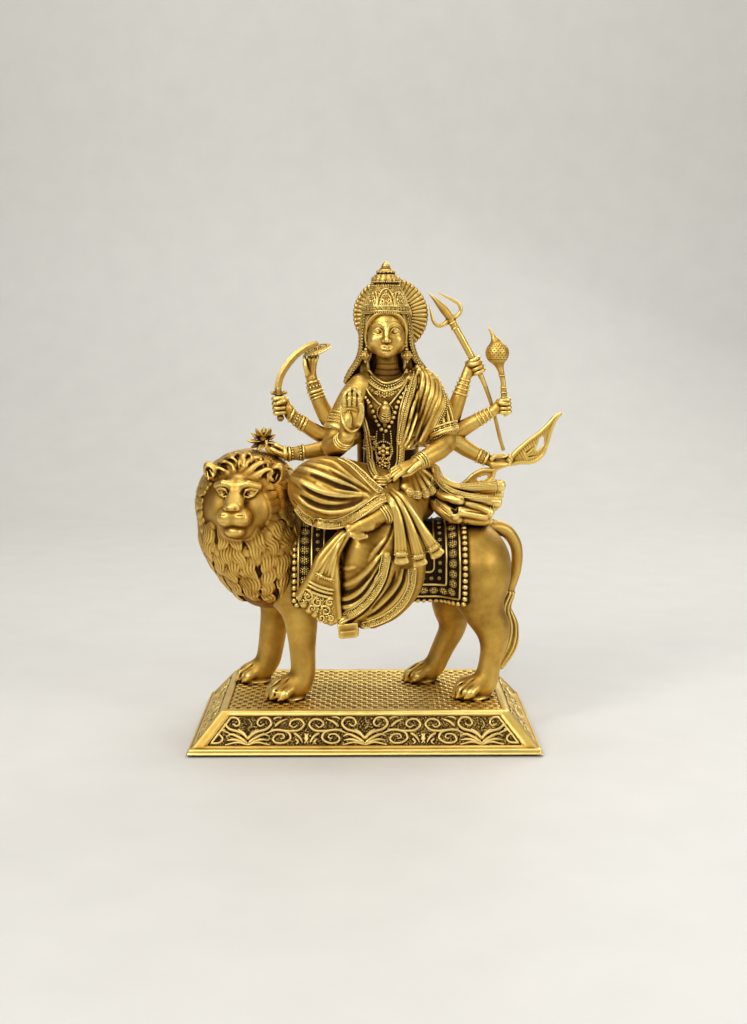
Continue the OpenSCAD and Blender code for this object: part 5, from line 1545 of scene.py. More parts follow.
def head():
    F = Field((-3, -27, 190), (26, 7, 226), 0.2)
    F.egg((HX, HY, 212.8), (10.3, 11.4, 13.6), (0, 0, 0), 0)
    F.egg((HX, HY - 2.2, 206.8), (8.9, 9.2, 8.4), (0, 0, 0), 3.0, m=5)
    F.egg((HX, -15.6, 201.6), (4.3, 4.0, 3.3), (0, 0, 0), 3.0, m=5)
    F.chain([[HX, -3.6, 192, 4.2], [HX, -6.6, 204, 5.6]], 1.6)
    for s in (-1, 1):
        F.egg((HX + 5.3 * s, -15.9, 206.4), (3.5, 3.1, 3.3), (0, 0, 0), 2.6, m=4)
        F.egg((HX + 8.0 * s, -9.5, 203.4), (2.0, 4.2, 3.0), (0, 0, 0), 2.4, m=4)
    # eyes: sockets, balls, lids
    for s in (-1, 1):
        F.egg((HX + 4.4 * s, -20.4, 211.2), (3.1, 1.9, 1.75), (0, 0, 0), 1.5, True)
        F.balls([[HX + 4.35 * s, -16.7, 211.0, 2.35]], 0.3)
        lid = curve([[HX + 1.9 * s, -19, 210.5], [HX + 3.1 * s, -19, 212.0], [HX + 4.6 * s, -19, 212.5], [HX + 6.2 * s, -18, 211.9], [HX + 7.5 * s, -17, 210.8]], 5)
        P = F.snap(lid, 0.0, 5)
        F.chain(np.c_[P, 0.42 * np.clip(np.minimum(np.linspace(0, 1, len(P)), np.linspace(1, 0, len(P))) * 6 + 0.4, 0, 1)], 0.22)
        low = curve([[HX + 1.9 * s, -19, 210.4], [HX + 3.2 * s, -19, 209.6], [HX + 4.6 * s, -19, 209.4], [HX + 6.0 * s, -18, 209.8], [HX + 7.3 * s, -17, 210.7]], 5)
        P = F.snap(low, 0.0, 5)
        F.chain(np.c_[P, 0.3 * np.clip(np.minimum(np.linspace(0, 1, len(P)), np.linspace(1, 0, len(P))) * 6 + 0.4, 0, 1)], 0.25)
        crease = curve([[HX + 2.0 * s, -19, 212.2], [HX + 4.5 * s, -19, 213.5], [HX + 7.2 * s, -17, 212.3]], 7)
        P = F.snap(crease, 0.0, 5)
        F.chain(np.c_[P, np.full(len(P), 0.16)], 0.35, True)
        # iris
        c = F.snap(np.array([[HX + 4.3 * s, -20, 210.95]]), 0, 5)[0]
        t = np.linspace(0, 2 * np.pi, 21)[:-1]
        P = F.snap(np.c_[c[0] + 0.98 * np.cos(t), np.full(20, c[1]), c[2] + 0.98 * np.sin(t)], 0, 5)
        F.chain(np.c_[P, np.full(20, 0.13)], 0.12, True, closed=True)
        F.balls([[*c, 0.3]], 0.15, True)
        brow = curve([[HX + 1.5 * s, -20, 214.0], [HX + 3.2 * s, -20, 215.2], [HX + 5.4 * s, -19, 215.4], [HX + 8.1 * s, -17, 213.9]], 6)
        P = F.snap(brow, 0.0, 5)
        F.chain(np.c_[P, 0.42 * np.clip(np.linspace(1.25, 0.35, len(P)), 0, 1)], 0.5)
    # nose
    F.chain([[HX, -19.0, 214.4, 0.9], [HX, -19.9, 211.6, 0.95], [HX, -21.0, 208.6, 1.15], [HX, -21.7, 207.2, 1.3]], 1.9)
    F.balls([[HX, -22.1, 206.9, 1.32]], 0.5)
    for s in (-1, 1):
        F.egg((HX + 1.55 * s, -20.7, 206.5), (0.95, 1.35, 0.95), (0, 0, 0), 0.5)
        c = curve([[HX + 2.2 * s, -20.6, 207.2], [HX + 2.6 * s, -20.4, 206.2]], 3)
        F.chain(np.c_[F.snap(c), np.full(len(c), 0.2)], 0.4, True)
    # mouth
    for s in (-1, 1):
        c = curve([[HX, -20.6, 203.75], [HX + 1.0 * s, -20.6, 203.95], [HX + 2.1 * s, -20.2, 203.65], [HX + 3.2 * s, -19.6, 203.4]], 5)
        P = F.snap(c, -0.15, 5)
        F.chain(np.c_[P, np.linspace(0.52, 0.2, len(P))], 0.6)
    c = curve([[HX - 3.0, -20, 202.9], [HX - 1.5, -20.6, 202.4], [HX, -20.8, 202.3], [HX + 1.5, -20.6, 202.4], [HX + 3.0, -20, 202.9]], 5)
    P = F.snap(c, -0.12, 5)
    F.chain(np.c_[P, 0.58 * np.clip(np.minimum(np.linspace(0, 1, len(P)), np.linspace(1, 0, len(P))) * 3 + 0.5, 0, 1)], 0.45)
    c = curve([[HX - 3.5, -19.2, 203.65], [HX - 1.8, -20.6, 203.05], [HX, -21, 203.1], [HX + 1.8, -20.6, 203.05], [HX + 3.5, -19.2, 203.65]], 5)
    P = F.snap(c, 0.02, 5)
    F.chain(np.c_[P, np.full(len(P), 0.1)], 0.15, True)
    c = curve([[HX - 1.8, -20, 201.35], [HX, -20.4, 201.05], [HX + 1.8, -20, 201.35]], 5)
    F.chain(np.c_[F.snap(c), np.full(len(c), 0.3)], 0.9, True)
    F.balls([[HX, -17.6, 200.3, 1.3]], 1.8)
    # ears
    for s in (-1, 1):
        F.egg((HX + 10.1 * s, -8.3, 209.0), (1.3, 2.3, 3.6), (0, -6 * s, 0), 0.6)
        t = np.linspace(-2.0, 2.3, 14)
        P = np.c_[np.full(14, HX + 10.9 * s), -8.3 + 1.8 * np.sin(t + 1.57) * 0 - 1.9 * np.cos(t), 209.3 + 3.0 * np.sin(t)]
        F.chain(np.c_[P, np.full(14, 0.5)], 0.4)
    # hair line under the crown band
    for s in (-1, 1):
        for k in range(7):
            c = curve([[HX + 0.4 * s + 1.0 * k * s, -21, 221.6 - 0.05 * k * k], [HX + (3.5 + k) * s, -19, 220.2 - 0.25 * k], [HX + (8.6 + 0.3 * k) * s, -13 + 0.2 * k, 214.2 - 0.7 * k]], 6)
            P = F.snap(c, 0.0, 6)
            P = P[P[:, 2] > 206]
            F.chain(np.c_[P, np.full(len(P), 0.42)], 0.3)
    K = Kit()
    K.field(F, 0.6, 0.9, 2.0)
    K.C[-1] = K.C[-1] + 0.12
    c = F.snap(np.array([[HX, -21, 217.0]]), 0, 5)
    X, Y, Z = axes(F.grad(c))
    K.copies(BEAD, c, X, Y, Z, 0.62)
    # head height is 7/5 of its width: skull top 226.4, width 20.6, so the chin stands at 197.6
    for V in K.V:
        z = V[:, 2]
        V[:, 2] = np.where(z < 214, 214 + (z - 214) * 1.045, z)
    K.out("goddess_head_cast", POLISHED, "brass_polished", "goddess_head")
    return F


def crown():
    ax, ay = 11.0, -8.0
    prof = np.array([[220.2, 11.7], [221.2, 12.4], [223, 12.4], [225, 11.5], [228, 10.1], [231, 8.7], [234.0, 7.4], [235.2, 6.7], [235.9, 6.5], [236.5, 7.3], [238.2, 7.2], [239.4, 6.2], [240.2, 5.4], [240.8, 4.4], [241.6, 4.7], [242.6, 4.3], [243.2, 3.6]])
    rad = lambda z: np.interp(z, prof[:, 0], prof[:, 1])
    F = Field((ax - 15, ay - 15, 216), (ax + 15, ay + 15, 249), 0.28)
    g = [F.ax[i].reshape([-1 if j == i else 1 for j in range(3)]) for i in range(3)]
    rr = np.sqrt((g[0] - ax) ** 2 + (g[1] - ay) ** 2)
    th = np.arctan2(g[1] - ay, g[0] - ax)
    R = rad(F.ax[2])[None, None, :]
    # lobes: wide leaf plates on the body, gadroons on the tiers
    zz = F.ax[2][None, None, :]
    lobes = np.where(zz < 234.5, 0.25 * np.abs(np.cos(4 * th)) * np.clip((zz - 224.5) / 3, 0, 1), 0.35 * np.abs(np.cos(7 * th)) * (zz < 242.2))
    d = (rr - (R + lobes)) * 0.86
    d = np.maximum(d, 220.6 - zz)
    d = np.maximum(d, zz - 243.2)
    F.f = np.minimum(F.f, d.astype(F32))
    F.chain([[ax, ay, 242.6, 3.3], [ax, ay, 244.6, 2.2], [ax, ay, 246.0, 1.2]], 0.5)
    F.balls([[ax, ay, 246.7, 0.75]], 0.3)
    K = Kit()

    def on(t, z, off=0.0):
        t = np.asarray(t, float)
        z = np.broadcast_to(np.asarray(z, float), t.shape)
        r = rad(z) + off
        return np.stack([ax + r * np.cos(t), ay + r * np.sin(t), z], 1)

    # leaf plates with scrolls: front leaf largest
    for k in range(8):
        t0 = -math.pi / 2 + k * math.pi / 4
        w, h = (0.46, 8.6) if k == 0 else (0.37, 7.0)
        for q, rr_ in ((1.0, 0.5), (0.66, 0.36)):
            s = np.linspace(-1, 1, 25)
            tt = t0 + w * q * np.sin(s * math.pi / 2) * (1 - 0.12 * np.abs(s))
            zz_ = 224.2 + h * (q * (1 - s * s) ** 0.75) + (1 - q) * 0.6
            F.chain(np.c_[F.snap(on(tt, np.minimum(zz_, 233.6)), 0.0, 3), np.full(25, rr_)], 0.2)
        # curls inside the leaf
        for sg in (-1, 1):
            s = np.linspace(0, 1, 18)
            a = s * 4.6
            rr2 = 1.9 * (1 - 0.75 * s)
            cz, ct = 226.3, t0 + sg * 0.13
            P = on(ct + sg * rr2 * np.sin(a) / 12.3, cz + rr2 * (1 - np.cos(a)) - 1.0)
            F.chain(np.c_[F.snap(P, 0, 3), np.full(18, 0.34)], 0.15)
    # forehead band swags, low at the sides and up over the brow
    K.field(F, 0.6, 1.2, 1.8)
    t = np.linspace(0, 2 * np.pi, 97)
    lift = 0.7 * np.exp(-((np.mod(t + np.pi / 2 + np.pi, 2 * np.pi) - np.pi) / 0.55) ** 2)
    for z, r in ((221.0, 0.42), (223.9, 0.42)):
        rope(K, on(t, z + lift * (z < 222), 0.15), r, 8, 0.65, caps=False)
    for z, r, un, off in ((222.45, 1.12, FLOWER, 0.25), (224.8, 0.45, BEAD, 0.0), (220.2, 0.5, BEAD, 0.2), (234.6, 0.6, BEAD, 0.1), (236.6, 0.55, BEAD, 0.1), (239.9, 0.45, BEAD, 0.1), (242.0, 0.5, BEAD, 0.1)):
        P = on(t, z + lift * (z < 221), off)
        Q, T = even(P[:-1], 2.08 * r, True)
        N = Q - np.array([ax, ay, 0]) * [1, 1, 0] - Q * [0, 0, 1]
        X, Y, Z = axes(N, T)
        K.copies(un, Q - Z * r * 0.1, X, Y, Z, r)
    # eyes of the leaves and the seeds between them
    for k in range(8):
        t0 = -math.pi / 2 + k * math.pi / 4
        for z, r, un in ((230.4 if k else 231.4, 0.85, BEAD), (228.6, 1.2, FLOWER), (226.6, 0.7, BEAD)):
            P = F.snap(on([t0], z, 0.3), 0, 4)
            X, Y, Z = axes(P * [1, 1, 0] - [ax, ay, 0])
            K.copies(un, P, X, Y, Z, r)
        t1 = t0 + math.pi / 8
        for z, r, un in ((232.2, 1.15, FLOWER), (230.2, 0.6, BEAD), (228.9, 0.5, BEAD), (227.8, 0.42, BEAD)):
            P = F.snap(on([t1], z, 0.3), 0, 4)
            X, Y, Z = axes(P * [1, 1, 0] - [ax, ay, 0])
            K.copies(un, P, X, Y, Z, r)
    for k in range(14):
        P = F.snap(on([k * math.pi / 7 + 0.22], 238.1, 0.3), 0, 4)
        X, Y, Z = axes(P * [1, 1, 0] - [ax, ay, 0])
        K.copies(FLOWER, P, X, Y, Z, 1.05)
    # fine seeding over the ground between ornaments
    P = []
    for z in np.arange(226.0, 234.2, 0.95):
        n = int(2 * math.pi * rad(z) / 1.05)
        P.append(on(np.arange(n) * 2 * np.pi / n + (z * 1.7) % 1, z, 0.3))
    P = F.snap(np.vstack(P), 0, 3)
    ok = F.cav(P, 0.8) < 0.03
    P = P[ok]
    X, Y, Z = axes(F.grad(P))
    K.copies(BEAD_S, P - Z * 0.05, X, Y, Z, 0.36)
    K.out("crown_chased", BRIGHT, "brass_bright", "crown")


def halo():
    c = np.array([13.8, 5.9, 219.5])
    K = Kit()
    nr, nt, nrib = 40, 432, 48
    r = np.linspace(4.0, 19.6, nr)
    t = np.arange(nt) * 2 * np.pi / nt
    Rg, Tg = np.meshgrid(r, t, indexing="ij")
    fan = np.clip((Rg - 11.6) / 0.8, 0, 1) * np.clip((19.9 - Rg) / 0.7, 0, 1)
    w = np.abs(np.cos(nrib / 2 * Tg))
    rib = fan * (0.7 * w ** 0.45 - 0.12)
    rim = 0.25 * np.exp(-((Rg - 18.6) / 0.5) ** 2) * w
    ringr = 0.75 * np.exp(-((Rg - 10.6) / 0.55) ** 2) + 0.5 * np.exp(-((Rg - 8.4) / 0.4) ** 2)
    edge = np.clip((Rg - 18.7) / 0.9, 0, 1)
    Rm = Rg + edge * (0.55 * w - 0.1)
    th = 1.0 + rib + rim + ringr
    th[-1] = 0.15
    cav = -0.12 + rib * 0.9 * (fan > 0) + ringr * 0.7 - 0.12 * (1 - w) * fan
    faces = []
    i, j = np.meshgrid(np.arange(nr - 1), np.arange(nt), indexing="ij")
    q = np.stack([i * nt + j, (i + 1) * nt + j, (i + 1) * nt + (j + 1) % nt, i * nt + (j + 1) % nt], -1).reshape(-1, 4)
    for s in (-1, 1):
        V = np.stack([c[0] + Rm * np.cos(Tg), c[1] + s * th, c[2] + Rm * np.sin(Tg)], -1).reshape(-1, 3)
        K.add(V, [q if s < 0 else q[:, ::-1]], cav.ravel())
    # beads at the inner end of each rib, ring and petals of the middle
    for s in (-1, 1):
        N = np.array([[0, float(s), 0]])
        for rad_, r_, n, un, y in ((11.9, 0.62, 48, BEAD, 1.0), (9.5, 0.95, 28, FLOWER, 0.95), (19.3, 0.42, 96, BEAD_S, 0.6), (7.2, 0.55, 36, BEAD, 0.95)):
            a = (np.arange(n) + (0.5 if un is BEAD_S else 0)) * 2 * np.pi / n
            P = np.stack([c[0] + rad_ * np.cos(a), np.full(n, c[1] + s * y), c[2] + rad_ * np.sin(a)], 1)
            X, Y, Z = axes(np.repeat(N, n, 0), np.stack([np.cos(a), 0 * a, np.sin(a)], 1))
            K.copies(un, P, X, Y, Z, r_)
    # hub plate closes the middle on the back
    F = Field(c - [6, 3, 6], c + [6, 3, 6], 0.3)
    F.egg(c, (5.4, 1.6, 5.4), (0, 0, 0), 0)
    K.field(F, 0.6, 0.6, 1.2)
    K.copies(FLOWER, (c + [0, 1.4, 0])[None], *axes(np.array([[0, 1.0, 0]])), 4.2)
    K.out("halo_fan", BRIGHT, "brass_bright", "halo")


def hair():
    F = Field((-14, -19, 118), (38, 24, 226), 0.46)
    F.egg((11, -4.6, 213.5), (11.6, 9.8, 12.2), (0, 0, 0), 0)
    # loose hair and veil edge down to the shoulders
    for s in (-1, 1):
        for k in range(10):
            f = k / 9
            y0 = -9.5 + 11 * f
            pts = [[11.1 + s * (10.6 - 1.2 * f), y0, 221.5 - 2 * f], [11.1 + s * (12.4 - 0.6 * f), y0 + 0.6, 211 - f], [11.6 + s * (12.9 - 0.5 * f), y0 + 1.6, 203],
                   [12 + s * (14.8 + 0.4 * f), y0 * 0.8 + 2.4, 196.5], [12.4 + s * (19.6 - 0.6 * f), y0 * 0.62 + 2.8, 189.5], [12.6 + s * (22.4 - f), y0 * 0.5 + 4, 184.5]]
            c = curve(pts, 6)
            F.chain(np.c_[c, np.interp(np.linspace(0, 1, len(c)), [0, 0.5, 1], [1.3, 1.75, 1.5])], 0.35)
    # hair drawn back from the brow beside the face
    for s in (-1, 1):
        for k in range(5):
            c = curve([[11.2 + s * (7.0 + 0.9 * k), -13.6 + 0.9 * k, 222], [11.2 + s * (9.6 + 0.7 * k), -12.4 + 1.0 * k, 216.5], [11.2 + s * (10.4 + 0.6 * k), -11.2 + 1.0 * k, 210], [11.2 + s * (10.2 + 0.7 * k), -9.6 + 1.1 * k, 203]], 7)
            w = 0.25 * np.sin(np.linspace(0, 14, len(c)) + k)
            F.chain(np.c_[c[:, 0] + w, c[:, 1], c[:, 2], np.full(len(c), 0.85)], 0.2)
    # wavy locks that fall behind the collar
    for s in (-1, 1):
        for k in range(8):
            f = k / 7
            t = np.linspace(0, 1, 26)
            x = 11.4 + s * (np.interp(t, [0, 0.4, 1], [9.2 + 1.2 * f, 8.6 + 2.8 * f, 11.0 + 7.0 * f]) + 0.5 * np.sin(t * 15 + k))
            y = np.interp(t, [0, 0.5, 1], [-5.0 + f, -2.6 + f, -2.0 + 1.5 * f]) + 0.35 * np.cos(t * 15 + k)
            z = np.interp(t, [0, 1], [207.5, 184])
            F.chain(np.c_[x, y, z, np.interp(t, [0, 0.4, 1], [0.8, 1.05, 0.7])], 0.15)
    F.egg((11.6, 1.5, 203), (12.4, 5.4, 10), (0, 0, 0), 2)
    F.egg((12.2, 3.6, 190), (15.5, 4.4, 12), (0, 0, 0), 3, m=5)
    # veil down the back in long folds
    n = 17
    for k in range(n):
        f = -1 + 2 * k / (n - 1)
        pts = [[11.4 + 9.6 * f, 3.2 - 2.6 * f * f, 213], [12 + 13.5 * f, 5.6 - 1.4 * f * f, 200], [12.3 + 16.2 * f, 8.0 - 0.6 * f * f, 186], [12.5 + 15.4 * f, 11.2 - 0.8 * f * f, 168], [12.5 + 14.4 * f, 13.8 - 0.8 * f * f, 148], [12.5 + 14.0 * f, 16.4 - 0.6 * f * f, 124]]
        c = curve(pts, 7)
        F.chain(np.c_[c, np.interp(np.linspace(0, 1, len(c)), [0, 0.3, 1], [1.2, 1.75, 1.9 if k % 2 else 2.4])], 0.45)
    F.box((12.5, 10.6, 152), (13.2, 1.2, 30), (-6.6, 0, 0), 0.6, 1.2)
    K = Kit()
    K.field(F, 0.9, 1.2, 2.6)
    # beaded edges beside the face, running down to the shoulder
    for s in (-1, 1):
        for dx, dy, r, un in ((0, 0, 0.72, BEAD), (1.4 * s, 0.9, 1.0, FLOWER), (2.9 * s, 2.4, 0.6, BEAD)):
            pts = np.array([[11.1 + s * 10.8, -11.4, 220.6], [11.1 + s * 12.0, -11.0, 213], [11.2 + s * 12.4, -9.8, 206.5], [11.8 + s * 13.4, -8.0, 200], [12.2 + s * 16.8, -5.6, 193], [12.5 + s * 20.6, -3.4, 187.0]])
            pts = pts + [dx, dy, 0]
            P = F.snap(curve(pts, 8), 0, 8)
            Q, T = even(P, 2.15 * r)
            Q = F.snap(Q, 0, 3)
            X, Y, Z = axes(F.grad(Q), T)
            K.copies(un, Q - Z * 0.1, X, Y, Z, r)
    # border along the foot and sides of the veil
    for z, r, un in ((126.5, 1.3, FLOWER), (129, 0.55, BEAD), (124.3, 0.55, BEAD)):
        P = np.stack([np.linspace(-2, 27, 40), np.full(40, 21.0), np.full(40, z)], 1)
        P, hit = F.drop(P + [0, 3, 0], (0, -1, 0), 14)
        P = P[hit]
        Q, T = even(P, 2.1 * r)
        Q = F.snap(Q, 0, 3)
        X, Y, Z = axes(F.grad(Q), T)
        K.copies(un, Q - Z * 0.1, X, Y, Z, r)
    for x in (-1.4, 26.6):
        P = np.stack([np.full(60, x), np.full(60, 24.0), np.linspace(130, 184, 60)], 1)
        P, hit = F.drop(P, (0, -1, 0), 26)
        P = P[hit]
        if len(P) > 4:
            beads(K, F, P, 0.75, 1.6)
    K.out("hair_and_veil_folds", AGED, "brass_aged", "hair_and_veil")


def earrings():
    K = Kit()
    for s in (-1, 1):
        c = np.array([11.25 + 10.9 * s, -11.6, 198.4])
        F = Field(c - 7, c + 8, 0.2)
        F.balls([[*c, 2.35]], 0)
        F.balls([[*(c + [-0.4 * s, 0, 3.1]), 1.1], [*(c + [-0.9 * s, 0.3, 4.9]), 0.75], [*(c + [-1.2 * s, 0.8, 6.6]), 0.7]], 0.3)
        F.chain([[*(c + [0, 0, -2.2]), 0.8], [*(c + [0, 0, -3.6]), 0.4]], 0.4)
        for k in range(8):
            a = k * math.pi / 4
            v = np.array([math.cos(a), math.sin(a), 0])
            F.chain([[*(c + v * 0.9 + [0, 0, 2.2]), 0.3], [*(c + v * 2.4), 0.45], [*(c + v * 0.9 + [0, 0, -2.2]), 0.25]], 0.2)
        K.field(F, 0.5, 1.1, 1.2)
        for z, rr in ((2.0, 1.5), (0.0, 2.75)):
            t = np.linspace(0, 2 * np.pi, 25)
            P = c + np.c_[rr * np.cos(t), rr * np.sin(t), np.full(25, z)]
            Q, T = even(P[:-1], 0.82, True)
            X, Y, Z = axes(Q - c - [0, 0, z], T)
            K.copies(BEAD_S, Q, X, Y, Z, 0.42)
    K.out("earrings_drops", BRIGHT, "brass_bright", "earrings")


head()
crown()
halo()
hair()
earrings()
# ------------------------------------------------------------------ eight arms
def at1(fn, u, v, y):
    return sk(fn([(u, v)]), y)[0]


def armfield(pts, pad=11, h=0.32):
    p = np.array(pts)[:, :3]
    return Field(p.min(0) - pad, p.max(0) + pad, h)


def grip(F, c, ax, back, rs, rf=1.35, out=(0, -1, 0), wrist=None, rw=2.8):
    """A closed fist round a shaft: ax along the shaft, back towards the wrist."""
    c, ax = np.array(c, float), unit(ax)
    back = unit(np.array(back, float) - ax * np.dot(back, ax))
    out = unit(np.array(out, float) - ax * np.dot(out, ax) - back * np.dot(out, back))
    w = rs + rf * 0.72
    hub = c + back * (w + rf * 0.9)
    if wrist is not None:
        F.chain([[*wrist, rw], [*(hub + (np.array(wrist) - hub) * 0.35), rw * 1.05]], 1.2)
        for o in (-1.2, -0.4, 0.4, 1.2):
            F.chain([[*(wrist + ax * o * 0.8), rw * 0.62], [*(hub + ax * o * 2 * rf * 0.8 - back * 0.2 + out * 0.4), rf * 1.05]], 1.1)
    for i, o in enumerate((-1.5, -0.5, 0.5, 1.5)):
        off = ax * o * 2 * rf * 0.9
        t = np.radians(np.linspace(8, 238, 13))
        q = c + off + (back * np.cos(t)[:, None] * 1.12 + out * np.sin(t)[:, None]) * w
        rr = rf * (0.94 + 0.09 * np.cos((t - 0.5) * 3.1)) * (0.92 if i in (0, 3) else 1.0)
        F.chain(np.c_[q, rr], 0.16)
    t = np.radians(np.linspace(-15, 105, 8))
    q = c + ax * (2.35 * rf) + (back * np.cos(t)[:, None] * 1.5 + out * np.sin(t)[:, None] * 1.25) * w - ax * np.linspace(0, 1.3 * rf, 8)[:, None]
    F.chain(np.c_[q, np.linspace(rf * 1.1, rf * 0.85, 8)], 0.3)
    return hub


def openhand(F, wrist, d, pn, L, W, curl=(10, 20, 20), rf=1.1, rw=2.7, spread=0.1, thumb=1, split=0.15):
    """An open hand: d along the fingers, pn out of the palm, thumb on side +1 or -1."""
    d = unit(d)
    pn = unit(np.array(pn, float) - d * np.dot(pn, d))
    sd = np.cross(d, pn) * thumb
    w = np.array(wrist, float)
    pl = L * 0.5
    for o in (-1.5, -0.5, 0.5, 1.5):
        F.chain([[*(w + sd * o * rw * 0.45), rw * 0.75], [*(w + d * pl + sd * o * W * 0.25), rf * 1.2]], 1.3)
    tips = []
    for i, o in enumerate((1.5, 0.5, -0.5, -1.5)):
        p = w + d * pl + sd * o * W * 0.25
        dd = unit(d + sd * o * spread)
        ll = L * 0.5 * (0.92, 1.0, 0.95, 0.78)[i]
        q, a = [[*p, rf * 1.1]], 0
        for j, f in enumerate((0.42, 0.32, 0.26)):
            a += math.radians(curl[j])
            p = p + (dd * math.cos(a) + pn * math.sin(a)) * ll * f
            q.append([*p, rf * (1.0, 0.94, 0.78)[j]])
        F.chain(q, split)
        tips.append(p)
    p = w + d * pl * 0.3 + sd * W * 0.42 + pn * 0.6
    F.chain([[*p, rf * 1.35], [*(p + d * L * 0.2 + sd * W * 0.16 + pn * 0.8), rf * 1.1], [*(p + d * L * 0.42 + sd * W * 0.06 + pn * 1.6), rf * 0.8]], 0.5)
    return tips


def cuff(K, F, a, b, n, kind="rope", r=0.55, rad=None, un=None):
    """n rings between points a and b round a limb."""
    a, b = np.array(a, float), np.array(b, float)
    d = unit(b - a)
    for i in range(n):
        c = a + (b - a) * (i / max(1, n - 1))
        kk = kind if isinstance(kind, str) else kind[i]
        P = ring(K if kk == "rope" else Kit(), F, c, d, rad or 3.6, r, 0.0, off=r * 0.35 if kk == "rope" else 0.0)
        if kk == "bead":
            beads(K, F, P[:-1], r, r * 2.05, closed=True, sink=0.0)
        elif kk == "flower":
            Q, T = even(P[:-1], r * 2.15, True)
            Q = F.snap(Q)
            X, Y, Z = axes(F.grad(Q), T)
            K.copies(FLOWER, Q - Z * 0.05, X, Y, Z, r * 1.05)


def rear_arms():
    # far left low: holds the lotus
    P = [[-4, 3, 156, 4.2], [-12, 1.6, 151.6, 4.5], [-20, -1, 149.2, 4.4], [-31, -5, 147.4, 3.8], [-40, -8, 146.8, 3.0]]
    F = armfield(P + [[-56, -9, 150, 2]])
    F.chain(curve(P, 5), 0.3)
    w = at1(s2, 545, 1300, -8.5)
    F.chain([[-40, -8, 146.8, 3.0], [*w, 2.6]], 1)
    openhand(F, w, (-1, -0.1, 0.28), (0.25, -0.3, 1), 13.5, 6.5, (18, 34, 30), 1.05, 2.5, thumb=-1)
    F.chain([[*at1(s2, 545, 1262, -10), 1.4], [*at1(s2, 470, 1222, -11.5), 1.2], [*at1(s2, 425, 1200, -11), 0.95]], 0.6)
    K = Kit()
    K.field(F, 0.8, 1.2, 2.4)
    cuff(K, F, at1(s2, 580, 1290, -7), at1(s2, 715, 1285, -5), 6, ["rope", "bead", "flower", "flower", "bead", "rope"], 0.72, 3.8)
    cuff(K, F, at1(s2, 548, 1290, -8), at1(s2, 562, 1290, -8), 2, "rope", 0.5, 3.4)
    K.out("arm_right_low_cast", POLISHED, "brass_polished", "arm_right_lower")

    # middle left: fist on the sword
    P = [[-5, 7, 166, 4.2], [-13, 6, 159, 4.5], [-21, 5, 155.2, 4.4], [-31, 4, 160.6, 3.8], [-38.2, 3, 165.8, 3.0]]
    F = armfield(P + [[-46, 2, 175, 3]])
    F.chain(curve(P, 5), 0.3)
    grip(F, (-45.2, 1.6, 171.6), (-1.2, 0, 12.5), (1, 0.2, -0.55), 1.5, 1.42, wrist=np.array([-39.6, 3, 166.8]), rw=2.9)
    K = Kit()
    K.field(F, 0.8, 1.2, 2.4)
    cuff(K, F, at1(s2, 610, 935, 3.2), at1(s2, 715, 985, 3.6), 5, ["rope", "flower", "bead", "flower", "rope"], 0.8, 3.9)
    cuff(K, F, at1(s2, 735, 998, 3.7), at1(s2, 745, 1003, 3.8), 2, "rope", 0.45, 4)
    K.out("arm_right_mid_cast", POLISHED, "brass_polished", "arm_right_middle")

    # upper left: discus hand
    P = [[-6, 5.5, 172, 4.4], [-13, 6, 165, 4.6], [-18.4, 6, 163.4, 4.6], [-23, 6, 171, 4.3], [-26.6, 6, 180, 3.5], [-28.4, 6, 186.5, 2.7]]
    F = armfield(P + [[-28, 6, 200, 3]])
    F.chain(curve(P, 5), 0.3)
    w = at1(s2, 800, 545, 6)
    F.chain([[-28.4, 6, 186.5, 2.7], [*w, 2.5]], 1)
    for o, top, r in ((-2.9, (738, 350), 0.95), (-1.2, (790, 345), 1.05), (0.6, (838, 338), 1.1), (2.3, (868, 350), 1.1)):
        t = at1(s2, *top, 4.6)
        m = w + np.array([o * 0.9, -0.8, 6.4])
        F.chain([[*(w + np.array([o * 0.35, 0, 0.5])), 1.9], [*m, 1.35]], 1.1)
        F.chain([[*m, 1.3], [*(m + (t - m) * 0.55 + np.array([0, -0.9, 0])), r * 1.08], [*t, r * 0.85]], 0.2)
    F.chain([[*at1(s2, 770, 520, 3.8), 1.5], [*at1(s2, 745, 450, 2.2), 1.25], [*at1(s2, 742, 392, 2.4), 1.0]], 0.6)
    K = Kit()
    K.field(F, 0.8, 1.2, 2.4)
    cuff(K, F, at1(s2, 820, 600, 6), at1(s2, 845, 690, 6), 5, ["rope", "flower", "bead", "flower", "rope"], 0.85, 4)
    cuff(K, F, at1(s2, 852, 722, 6), at1(s2, 862, 752, 6), 2, "rope", 0.55, 4.2)
    K.out("arm_right_high_cast", POLISHED, "brass_polished", "arm_right_upper")

    # upper right: trident hand
    P = [[34, 5.5, 172, 4.4], [40, 6, 163, 4.6], [44.6, 6, 160.5, 4.7], [47.6, 6, 168, 4.5], [50.8, 6, 177, 3.9], [53.4, 6, 185, 2.9]]
    F = armfield(P + [[62, 6, 199, 3]])
    F.chain(curve(P, 5), 0.3)
    grip(F, (59.4, 6.1, 192.6), (-12.8, -2, 27), (-1, 0.1, -0.42), 1.6, 1.32, wrist=np.array([54.2, 6, 187.4]), rw=2.7)
    K = Kit()
    K.field(F, 0.8, 1.2, 2.4)
    for u, v in ((693, 652), (686, 682), (680, 712), (672, 745)):
        a = at1(s3, u, v, 6)
        ring(K, F, a, (2.6, 0, 9), 4.2, 0.62)
    K.out("arm_left_high_cast", POLISHED, "brass_polished", "arm_left_upper")

